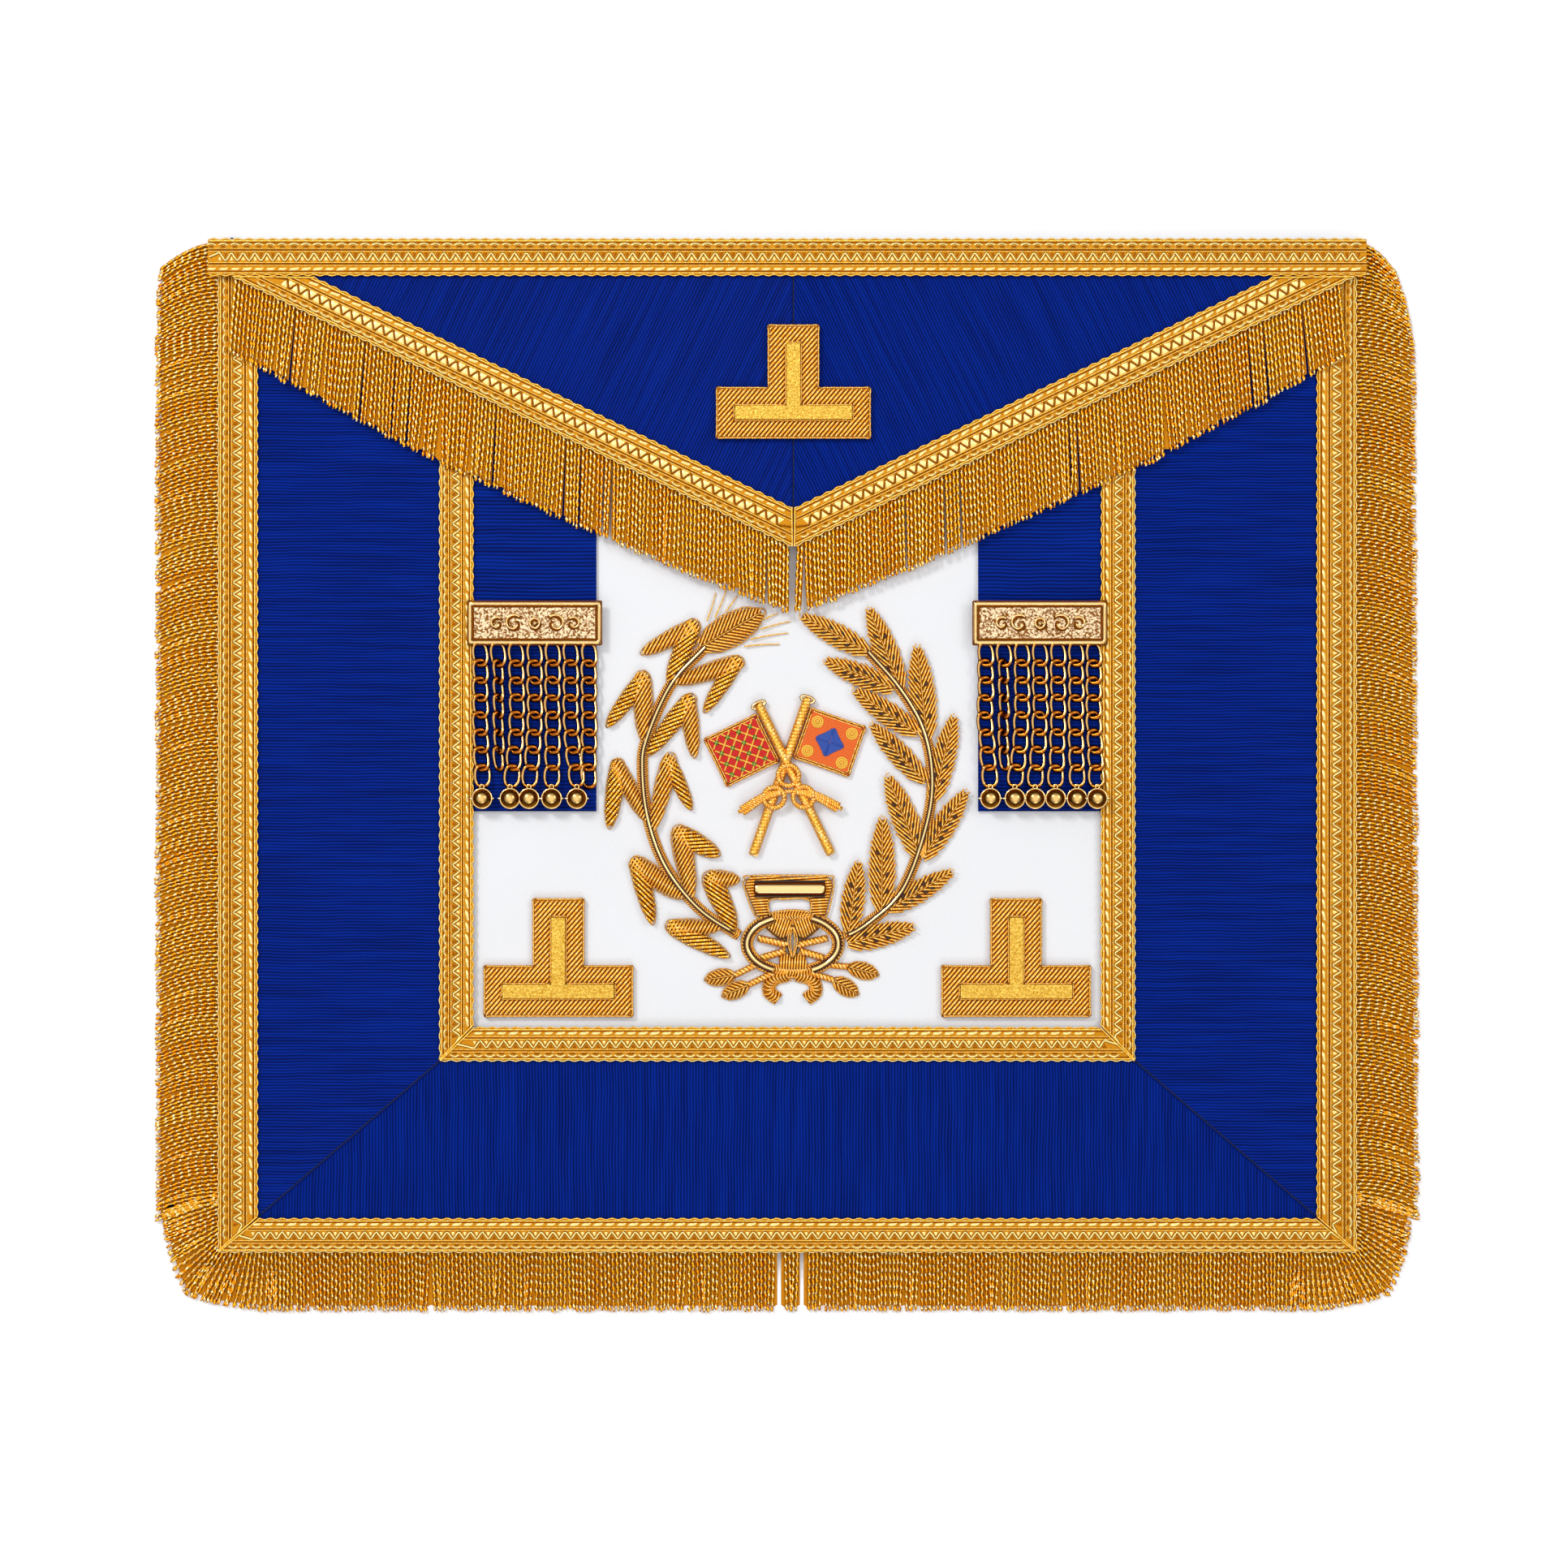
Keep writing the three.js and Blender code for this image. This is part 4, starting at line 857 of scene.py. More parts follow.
class Repeats:
    """Places where one small mesh is repeated, each with a turn about z and a size."""

    tree: Optional[Tree] = None
    turn_jitter = 0.06
    size_jitter = 0.1

    def __init__(self) -> None:
        self.points: list = []
        self.turns: list = []
        self.sizes: list = []

    def add(self, place: Sequence, angle: float = 0.0, size: Sequence = (1, 1, 1)) -> None:
        """Adds one place in millimetres, with an angle in radians and a size along each axis."""
        self.points.append(place)
        self.turns.append((0.0, 0.0, angle))
        self.sizes.append(size)

    @staticmethod
    def _tree() -> Tree:
        """The tree: a copy of the unit on each point, a little turned and sized at random."""
        inputs = {"Unit": "Object", "Turn Jitter": "Float", "Size Jitter": "Float", "Seed": "Int"}
        tree, given, out = tree_with("Repeats", inputs)
        limits = {2: -1.0, 3: 1.0, "Seed": given["Seed"]}
        chance = add_node(tree, "FunctionNodeRandomValue", limits, data_type="FLOAT").outputs[1]
        spin = add_node(tree, "ShaderNodeCombineXYZ", {"Z": maths(tree, "MULTIPLY", chance, given["Turn Jitter"])})
        turn = {0: attribute(tree, "turn", "FLOAT_VECTOR"), 1: spin.outputs[0]}
        turn = add_node(tree, "ShaderNodeVectorMath", turn, operation="ADD").outputs[0]
        turn = add_node(tree, "FunctionNodeEulerToRotation", {"Euler": turn}).outputs[0]
        grow = maths(tree, "MULTIPLY_ADD", chance, given["Size Jitter"], 1.0)
        size = {0: attribute(tree, "size", "FLOAT_VECTOR"), "Scale": grow}
        size = add_node(tree, "ShaderNodeVectorMath", size, operation="SCALE").outputs[0]
        points = step_on(tree, given["Geometry"], "MeshToPoints")
        source = add_node(tree, "GeometryNodeObjectInfo", {"Object": given["Unit"]}).outputs["Geometry"]
        placed = {"Instance": source, "Rotation": turn, "Scale": size}
        return end_tree(tree, step_on(tree, points, "InstanceOnPoints", placed), given["Material"], out)

    def build(self, name: str, finish: Finish, shape: bpy.types.Object) -> bpy.types.Object:
        """Repeats a shape, made round the origin in metres, at every place."""
        Repeats.tree = Repeats.tree or self._tree()
        mesh = bpy.data.meshes.new(name + " places")
        mesh.from_pydata(in_frame(self.points).tolist(), [], [])
        for key, rows in (("turn", self.turns), ("size", self.sizes)):
            column = np.asarray(rows, np.float32).ravel()
            mesh.attributes.new(key, "FLOAT_VECTOR", "POINT").data.foreach_set("vector", column)
        values = {"Unit": shape, "Turn Jitter": self.turn_jitter, "Size Jitter": self.size_jitter, "Seed": SEED}
        return run_tree(Repeats.tree, mesh, values, finish, name)


def unit_shape(name: str, outline: Sequence, height: float, crown: float = 0.5) -> bpy.types.Object:
    """A small pillow on an anticlockwise outline in millimetres: low at its edge, higher inside."""
    outline = np.asarray(outline, float)
    n = len(outline)
    inner = outline.mean(0) + (outline - outline.mean(0)) * crown
    points = np.vstack([raised(outline, 0.0), raised(inner, height)]) * MM
    faces = [(k, (k + 1) % n, n + (k + 1) % n, n + k) for k in range(n)] + [tuple(range(n, 2 * n))]
    mesh = bpy.data.meshes.new(name)
    mesh.from_pydata(points.tolist(), [], faces)
    mesh.polygons.foreach_set("use_smooth", np.full(len(mesh.polygons), True))
    return bpy.data.objects.new(name, mesh)


@dataclass(frozen=True)
class Purl:
    """Parallel rows of purl: their pitch, half thickness, arch, and how far every other row sticks out."""

    pitch: float
    radius: float
    arch: float = 0.0
    ragged: float = 0.0

    def fill(
        self, lines: CordLines, outlines: Sequence, heading: Sequence, heights: Heights,
        chance: np.random.Generator,
    ) -> None:
        """Fills outlines with rows; an outline inside another is left out.

        Args:
            lines: where the rows go.
            outlines: rings of x and y.
            heading: the direction of the rows.
            heights: gives the heights of an array of places.
            chance: makes each row's shade.
        """
        heading = unit(heading)
        aside = beside(heading)
        starts = np.vstack([np.asarray(p, float) for p in outlines])
        ends = np.vstack([np.roll(np.asarray(p, float), -1, 0) for p in outlines])
        a, b = starts @ aside, ends @ aside
        for k, at in enumerate(np.arange(a.min() + self.pitch / 2, a.max(), self.pitch)):
            cut = (a - at) * (b - at) < 0
            share = (at - a[cut]) / (b[cut] - a[cut])
            reach = np.sort((starts[cut] + (ends[cut] - starts[cut]) * share[:, None]) @ heading)
            for near, far in zip(reach[::2], reach[1::2]):
                far += self.ragged * (k % 2)
                if far - near < 2.5 * self.radius:
                    continue
                count = max(3, int((far - near) / 1.7) + 1)
                run = np.linspace(near + 0.7 * self.radius, far - 0.7 * self.radius, count)
                spots = aside * at + run[:, None] * heading
                height = heights(spots) + self.arch * np.sin(np.linspace(0, math.pi, count))
                thick = np.full(count, self.radius)
                thick[[0, -1]] *= 0.7
                lines.add(raised(spots, height), thick, float(np.clip(chance.normal(0.25, 0.2), 0, 1)))


def even(height: float) -> Heights:
    """Heights that are the same at every place."""
    return lambda spots: np.full(len(spots), height)


def dress(piece: bpy.types.Object, slot: str, *nodes: str) -> bpy.types.Object:
    """Lets a piece ride on the apron in place of its CAD nodes, which it hides; its slot is not used."""
    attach(piece, "root")
    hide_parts(*nodes)
    log.info("%s: %d faces", piece.name, len(piece.data.polygons))
    return piece


# Cloth


@dataclass
class Panel:
    """A flat panel of cloth or skin with four corners: near the middle line at its foot, then anticlockwise.

    Its ribs run at an angle in degrees, and its seams are pairs of start and end.
    """

    node: str
    slot: str
    finish: Finish
    corners: tuple
    floor: float
    ribs: float = 0.0
    rests_on: tuple = ("body_panel_cloth",)
    swell: float = 0.12
    seams: tuple = ()

    grid_step = 5.0
    seam_points = 24

    def build(self) -> None:
        """Builds the panel as a sheet with soft rises and falls and a map turned to its ribs."""
        a, b, c, d = (np.asarray(p, float) for p in self.corners)
        wide = max(np.linalg.norm(b - a), np.linalg.norm(c - d))
        long = max(np.linalg.norm(d - a), np.linalg.norm(c - b))
        u = np.linspace(0, 1, max(3, int(wide / self.grid_step)))[:, None, None]
        v = np.linspace(0, 1, max(3, int(long / self.grid_step)))[None, :, None]
        flat = (1 - u) * (1 - v) * a + u * (1 - v) * b + u * v * c + (1 - u) * v * d
        x, y = flat[..., 0], flat[..., 1]
        swells = np.sin(x / 17 + 1.3 * np.sin(y / 41)) * np.sin(y / 23 + 0.8 * np.sin(x / 31))
        from_edge = np.clip(4 * np.minimum(np.minimum(u, 1 - u), np.minimum(v, 1 - v))[..., 0], 0, 1)
        z = self.floor + CLOTH + self.swell * swells * from_edge
        turned = np.radians(self.ribs)
        places = np.stack([x * np.cos(turned) + y * np.sin(turned), y * np.cos(turned) - x * np.sin(turned)], -1)
        draft = Draft()
        draft.shell(np.dstack([flat, z]), CLOTH, places)
        piece = dress(draft.build(self.node + "_cloth", self.finish), self.slot, self.node)
        area = abs(np.cross(c - a, d - b)) / 2 * MM**2
        more = {"area": area, "with_pieces": [self.stitch()] if self.seams else []}

    def stitch(self) -> bpy.types.Object:
        """The seams: a dark line of painted shade with a raised one of the cloth's own colour below it."""
        lines = {Finish.SEAM: CordLines(), self.finish: CordLines()}
        for start, end in self.seams:
            path = np.linspace(start, end, self.seam_points)
            below = np.array([-1, 1]) * unit(np.subtract(end, start))[::-1]
            below *= 1 if below[1] < 0 else -1
            for (finish, cord), shift in zip(lines.items(), (0.0, 0.5)):
                cord.add(raised(path + shift * below, self.floor + CLOTH + 0.02), 0.22 + 0.12 * shift)
        parts = [cord.build("seam", finish, Cord(step=3.0, sides=6)) for finish, cord in lines.items()]
        return dress(joined(self.node + "_seams", parts), self.slot, self.node)


def mirrored(corners: Sequence) -> tuple:
    """A panel's corners on the other side of the middle line, again anticlockwise."""
    a, b, c, d = [(-x, y) for x, y in corners]
    return b, a, d, c


def flap_edge(from_tip: float, down: float) -> float:
    """The height of the flap's edge at a distance from its tip's line, moved down by a width across the edge."""
    return -(FLAP_DEPTH - from_tip * FLAP_SLOPE + down * FLAP_SLANT)


def flap_reach(y: float, down: float) -> float:
    """The distance from the tip's line at which that edge reaches a height."""
    return (FLAP_DEPTH + y + down * FLAP_SLANT) / FLAP_SLOPE


class Body:
    """The lining, the skin, the silk border and the flap's cloth."""

    # The two low peaks of the lining above the waist: middle and half width as shares of the half width, and rise.
    peaks = ((0.925, 0.035, 0.6), (-0.98, 0.018, 1.2))
    # Half the gap between two panels that meet at a corner seam, and between the flap's halves.
    seam_gap = 0.01
    flap_gap = 0.15

    def corner_seam(self, x: float) -> float:
        """The height of the corner seam at a distance from the middle line."""
        inner, foot = HALF_WINDOW + INNER_LACE, WINDOW_FOOT + INNER_LACE
        slope = (BODY_HEIGHT - HEM_LACE - foot) / (HALF - SIDE_LACE - inner)
        return max(-(foot + (x - inner) * slope), TURN_IN - BODY_HEIGHT)

    def lining(self) -> None:
        """The blue back cloth, which peeps out above the top lace in two low peaks."""
        x, foot = HALF - INSET, INSET - BODY_HEIGHT
        outline = [(-x, foot), (x, foot), (x, -INSET)]
        for middle, half, rise in self.peaks:
            outline += [((middle + half) * x, -INSET), (middle * x, rise), ((middle - half) * x, -INSET)]
        draft = Draft()
        draft.slab(outline + [(-x, -INSET)], Rise.LINING, 1.0)
        piece = dress(draft.build("back_lining_cloth", Finish.LINING, smooth=False), "lining", "back_lining")

    def border(self) -> None:
        """The silk border on three sides, and the two ribbons."""
        outer, inner, foot = HALF - TURN_IN, HALF_WINDOW + TURN_IN, TURN_IN - BODY_HEIGHT
        near, far, gap = self.corner_seam(inner), self.corner_seam(outer), self.seam_gap
        panel = ((inner, near + gap), (outer, far + gap), (outer, -INSET), (inner, -INSET))
        edges = (HALF_WINDOW - RIBBON_WIDTH, HALF_WINDOW)
        ribbon = ((edges[0], -RIBBON_LENGTH), (edges[1], -RIBBON_LENGTH), (edges[1], -INSET), (edges[0], -INSET))
        for side, turned in ((Side.RIGHT, tuple), (Side.LEFT, mirrored)):
            Panel(f"side_panel_{side.label}", "silk", Finish.SILK, turned(panel), Rise.CLOTH, 90.0).build()
            node = f"ribbon_{side.label}"
            Panel(node, "silk", Finish.RIBBON, turned(ribbon), Rise.CLOTH, 90.0, swell=0.08).build()
        hem = ((-outer, foot), (outer, foot), (inner, near - gap), (-inner, near - gap))
        mitres = tuple(((side * inner, near - gap), (side * outer, far)) for side in (-1, 1))
        Panel("bottom_panel", "silk", Finish.SILK, hem, Rise.CLOTH, seams=mitres).build()

    def flap(self, side: Side) -> None:
        """One half of the flap, with its ribs square to its edge."""
        far, low = HALF - side.value * FLAP_OFFSET - TURN_IN, FLAP_LACE - TURN_IN
        tip, gap = flap_edge(self.flap_gap, low), self.flap_gap
        corners = [(gap, tip), (gap, -INSET), (far, -INSET), (far, flap_edge(far, low))]
        corners = [(FLAP_OFFSET + side.value * x, y) for x, y in corners]
        order = (3, 0, 1, 2) if side is Side.LEFT else (0, 3, 2, 1)
        on = ("outer_lace_left", "outer_lace_right", "ribbon_left_cloth", "ribbon_right_cloth")
        ribs = side.value * math.degrees(math.atan(FLAP_SLOPE))
        middle = ((FLAP_OFFSET, -TOP_LACE), (FLAP_OFFSET, 1.0 - FLAP_DEPTH))
        seams = (middle,) if side is Side.LEFT else ()
        turned = tuple(corners[k] for k in order)
        Panel(f"flap_{side.label}", "silk", Finish.SILK, turned, Rise.FLAP, ribs, on, 0.1, seams).build()

    def build(self) -> None:
        """Builds every cloth."""
        self.lining()
        outer, foot = HALF - TURN_IN, TURN_IN - BODY_HEIGHT
        skin = ((-outer, foot), (outer, foot), (outer, -INSET), (-outer, -INSET))
        on = ("back_lining_cloth",)
        Panel("body_panel", "lambskin", Finish.SKIN, skin, Rise.SKIN, rests_on=on, swell=0.2).build()
        self.border()
        for side in Side:
            self.flap(side)


# Lace


class Thread(Enum):
    """The kinds of cord in the lace, with the finish and the sweep of each: the shade cords are dark lines of painted
    shade, the highlight cords pale lines of painted highlight.
    """

    CORD = (Finish.LACE_CORD, Cord(step=3.0))
    WAVE = (Finish.LACE_CORD, Cord(step=0.95))
    DARK = (Finish.LACE_SHADOW, Cord(step=4.0, sides=4))
    LIGHT = (Finish.LACE_LIGHT, Cord(step=1.0, sides=4))


class Stitch(Enum):
    """The small raised shapes in the lace: the first three lie in rows, the last two beside the zigzag. The crescents
    are dark, as painted shade under the arcs; the up wedges are dark as painted shade too, except on the flap; the
    rest are pale, as painted highlight.
    """

    ARC = "arc"
    CRESCENT = "crescent"
    DASH = "dash"
    UP = "wedge up"
    DOWN = "wedge down"


@dataclass
class Band:
    """A strip of lace: its outer edge from start to end, and its inner edge beside it."""

    node: str
    outer: tuple
    inner: tuple
    floor: float
    rests_on: tuple
    triangles: bool = False

    pitch = 4.2
    ground_top = 0.95
    ground_shares = (0, 0.03, 0.1, 0.2, 0.32, 0.5, 0.68, 0.8, 0.9, 0.97, 1.0)
    # Where the zigzag turns, as shares of the width.
    zigzag = (0.385, 0.615)
    # Each cord: its place as a share of the width, height, half thickness, wave and kind.
    threads = (
        (0.02, 0.62, 0.26, 0.3, Thread.LIGHT), (0.075, 0.85, 0.38, 0.0, Thread.CORD),
        (0.275, 1.02, 0.25, 0.0, Thread.CORD), (0.312, 1.0, 0.3, 0.0, Thread.DARK),
        (0.35, 1.02, 0.25, 0.0, Thread.CORD), (0.65, 1.02, 0.25, 0.0, Thread.CORD),
        (0.688, 1.0, 0.3, 0.0, Thread.DARK), (0.725, 1.02, 0.25, 0.0, Thread.CORD),
        (0.925, 0.85, 0.38, 0.0, Thread.CORD), (0.98, 0.62, 0.3, -0.3, Thread.WAVE),
        (0.115, 0.98, 0.26, 0.0, Thread.DARK), (0.885, 0.98, 0.26, 0.0, Thread.DARK),
    )
    # Each row of small shapes: its kind, its place as a share of the width and the side that it faces.
    rows = ((Stitch.ARC, 0.17, -1), (Stitch.CRESCENT, 0.232, -1), (Stitch.DASH, 0.82, 1))

    def __post_init__(self) -> None:
        start, end = (np.asarray(p, float) for p in self.outer)
        near, far = (np.asarray(p, float) for p in self.inner)
        self.start, self.along = start, unit(end - start)
        self.across = beside(self.along)
        self.facing = 1 if np.dot(near - start, self.across) > 0 else -1
        self.across = self.facing * self.across
        self.width = float(np.dot(near - start, self.across))
        self.spans = [float(np.dot(p - start, self.along)) for p in (start, near, end, far)]
        self.cords = {kind: CordLines() for kind in Thread}
        self.stitches = {kind: Repeats() for kind in Stitch}

    def ends(self, v: float) -> tuple:
        """Where the lace starts and ends at a distance across it."""
        share = v / self.width
        s0, s1, e0, e1 = self.spans
        return s0 + (s1 - s0) * share, e0 + (e1 - e0) * share

    def at(self, u: Union[float, np.ndarray], v: Union[float, np.ndarray], z: Union[float, np.ndarray]) -> np.ndarray:
        """Points at distances along and across the lace and above its floor."""
        u, v, z = np.broadcast_arrays(np.asarray(u, float), np.asarray(v, float), np.asarray(z, float))
        flat = self.start + u[..., None] * self.along + v[..., None] * self.across
        return np.concatenate([flat, (self.floor + z)[..., None]], -1)

    def aim(self, side: int) -> float:
        """The turn about z that makes a small shape face one side of the lace."""
        return math.atan2(self.along[1], self.along[0]) + (0 if side * self.facing > 0 else math.pi)

    def ground(self) -> bpy.types.Object:
        """The woven ground, scalloped along both edges and a little lower there."""
        s0, s1, e0, e1 = self.spans
        share = np.array(self.ground_shares)[None, :]
        t = np.linspace(0, 1, int(max(e0 - s0, e1 - s1) / (self.pitch / 4)))[:, None]
        u = (s0 + (s1 - s0) * share) * (1 - t) + (e0 + (e1 - e0) * share) * t
        bite = 0.35 * (0.5 + 0.5 * np.cos(math.tau * u / self.pitch))
        near, far = np.clip(1 - share * 10, 0, 1), np.clip(1 - (1 - share) * 10, 0, 1)
        v = np.broadcast_to(share * self.width, u.shape)
        points = self.at(u, v + bite * near - bite * far, self.ground_top - 0.35 * (near + far))
        turn = slice(None, None, self.facing)
        draft = Draft()
        draft.shell(points[:, turn], 0.55, np.dstack([u, v])[:, turn], closed=False)
        return draft.build(self.node + "_ground", Finish.LACE_GROUND)

    def lay_cords(self) -> None:
        """Lays the straight and waved cords."""
        for share, rise, radius, sway, kind in self.threads:
            start, end = self.ends(share * self.width)
            u = np.append(np.arange(start + radius, end - radius, self.pitch / 4 if sway else 3.0), end - radius)
            v = share * self.width + sway * np.cos(math.tau * u / self.pitch)
            self.cords[kind].add(self.at(u, v, rise), radius)

    def lay_zigzag(self) -> None:
        """Lays the zigzag along the middle with a small wedge in each of its bends."""
        w, p = self.width, self.pitch
        low, high = (share * w for share in self.zigzag)
        start, end = self.ends(w / 2)
        steps = np.arange(math.ceil(start / p) + 1, math.floor(end / p))
        bends = [(start + 0.5, w / 2)] + [q for k in steps for q in ((k * p, low), ((k + 0.5) * p, high))]
        bends.append((end - 0.5, w / 2))
        fine = [q for a, b in zip(bends[:-1], bends[1:]) for q in np.linspace(a, b, 4)[:-1]] + [bends[-1]]
        u, v = np.array(fine).T
        # The flap's zigzag is a thin dark line of painted shade; elsewhere it is a thick pale one of painted
        # highlight.
        dark, light = (Thread.DARK, 0.27, 1.3, 1.0), (Thread.LIGHT, 0.48, 1.12, 0.55)
        kind, radius, rise, grow = dark if self.triangles else light
        self.cords[kind].add(self.at(u, v, rise), radius)
        size = (grow, grow * (high - low) / 2.95, 1)
        for k in steps:
            below = self.at(k * p, w / 2 + 0.25 * (1.2 - grow) * (high - low), self.ground_top)
            above = self.at((k + 0.5) * p, w / 2 - 0.35 * (1.1 - grow) * (high - low), self.ground_top)
            self.stitches[Stitch.DOWN].add(below, self.aim(-1), size)
            self.stitches[Stitch.UP].add(above, self.aim(1), size)

    def lay_rows(self) -> None:
        """Lays the rows of small shapes."""
        for kind, share, side in self.rows:
            start, end = self.ends(share * self.width)
            for k in np.arange(math.ceil(start / self.pitch) + 0.3, end / self.pitch - 0.5):
                place = self.at(k * self.pitch, share * self.width, self.ground_top)
                self.stitches[kind].add(place, self.aim(side))

    def cover_mitres(self) -> None:
        """Lays a cord across each mitred end."""
        for first, last, shift in ((0, 1, 0.4), (2, 3, -0.4)):
            if abs(self.spans[first] - self.spans[last]) > 1:
                u = np.linspace(self.spans[first], self.spans[last], 8) + shift
                self.cords[Thread.CORD].add(self.at(u, np.linspace(0.2, self.width - 0.2, 8), 1.15), 0.38)

    def build(self, units: dict) -> None:
        """Builds the ground and its raised work.

        Args:
            units: the small shapes by their kind.
        """
        ground = self.ground()
        self.lay_cords()
        self.lay_zigzag()
        self.lay_rows()
        self.cover_mitres()
        parts = []
        for kind, lines in self.cords.items():
            finish, cord = kind.value
            if kind is Thread.DARK and self.triangles:
                cord = Cord(step=1.0, sides=4)
            parts.append(lines.build(kind.name, finish, cord))
        for kind, repeats in self.stitches.items():
            # Crescents, and the up wedges outside the flap, take the painted lace shadow; the rest take the painted
            # highlight.
            dark = kind is Stitch.CRESCENT or (kind is Stitch.UP and not self.triangles)
            parts.append(repeats.build(kind.value, Finish.LACE_SHADOW if dark else Finish.LACE_LIGHT, units[kind]))
        work = joined(self.node + "_work", parts)
        dress(ground, "lace", self.node)
        dress(work, "lace", self.node)


class Lace:
    """All the gold lace."""

    @staticmethod
    def crescent(outer: tuple, inner: tuple) -> np.ndarray:
        """A crescent between two half ellipses, each given by its half width, height and foot."""
        t = np.linspace(0, math.pi, 7)
        curves = [(outer, t), (inner, t[::-1])]
        return np.vstack([np.column_stack([w * np.cos(s), h * np.sin(s) + foot]) for (w, h, foot), s in curves])

    def units(self) -> dict:
        """The small shapes that the lace repeats."""
        wedge = unit_shape("wedge", [(-1.3, -1.4), (1.3, -1.4), (0.0, 1.5)], 0.45, 0.55)
        return {
            Stitch.ARC: unit_shape("arc", self.crescent((1.95, 1.25, -0.4), (1.25, 0.5, -0.45)), 0.4, 0.8),
            Stitch.CRESCENT: unit_shape("crescent", self.crescent((1.1, 0.75, -0.4), (0.7, 0.1, -0.45)), 0.3, 0.8),
            Stitch.DASH: unit_shape("dash", [(-1.75, -0.6), (1.3, -0.35), (1.75, 0.6), (-1.3, 0.35)], 0.45, 0.6),
            Stitch.UP: wedge,
            Stitch.DOWN: wedge,
        }

    def frame(self, name: str, x: float, foot: float, wide: float, deep: float, units: dict) -> None:
        """A mitred frame of lace on three sides: its outer half width and foot, and the widths of its bands."""
        for side in Side:
            s = side.value
            outer = ((s * x, -INSET), (s * x, 0.3 - foot))
            inner = ((s * (x - wide), -INSET), (s * (x - wide), deep + 0.3 - foot))
            on = (f"side_panel_{side.label}_cloth", "body_panel_cloth")
            Band(f"{name}_lace_{side.label}", outer, inner, Rise.LACE, on).build(units)
        outer = ((-x, -foot), (x, -foot))
        inner = ((wide - x, deep - foot), (x - wide, deep - foot))
        Band(f"{name}_lace_bottom", outer, inner, Rise.LACE, ("bottom_panel_cloth",)).build(units)

    def flap(self, side: Side, units: dict) -> None:
        """The lace along one edge of the flap, from its tip up to the waist's lace."""
        start = -TOP_LACE - 0.3
        edges = []
        for down in (FLAP_LACE, 0):
            reach = flap_reach(start, down)
            line = ((Body.flap_gap, flap_edge(Body.flap_gap, down)), (reach, start))
            edges.append(tuple((FLAP_OFFSET + side.value * from_tip, y) for from_tip, y in line))
        on = (f"flap_{side.label}_cloth",)
        Band(f"flap_lace_{side.label}", *edges, Rise.FLAP_LACE, on, triangles=True).build(units)

    def build(self) -> None:
        """Builds every band."""
        units = self.units()
        self.frame("outer", HALF, BODY_HEIGHT, SIDE_LACE, HEM_LACE, units)
        self.frame("inner", HALF_WINDOW + INNER_LACE, WINDOW_FOOT + INNER_LACE, INNER_LACE, INNER_LACE, units)
        far = HALF + 3
        top, low = ((-far, 0), (far, 0)), ((-far, -TOP_LACE), (far, -TOP_LACE))
        Band("top_lace", top, low, Rise.FLAP_LACE, ("flap_left_cloth", "flap_right_cloth")).build(units)
        for side in Side:
            self.flap(side, units)


# Fringe


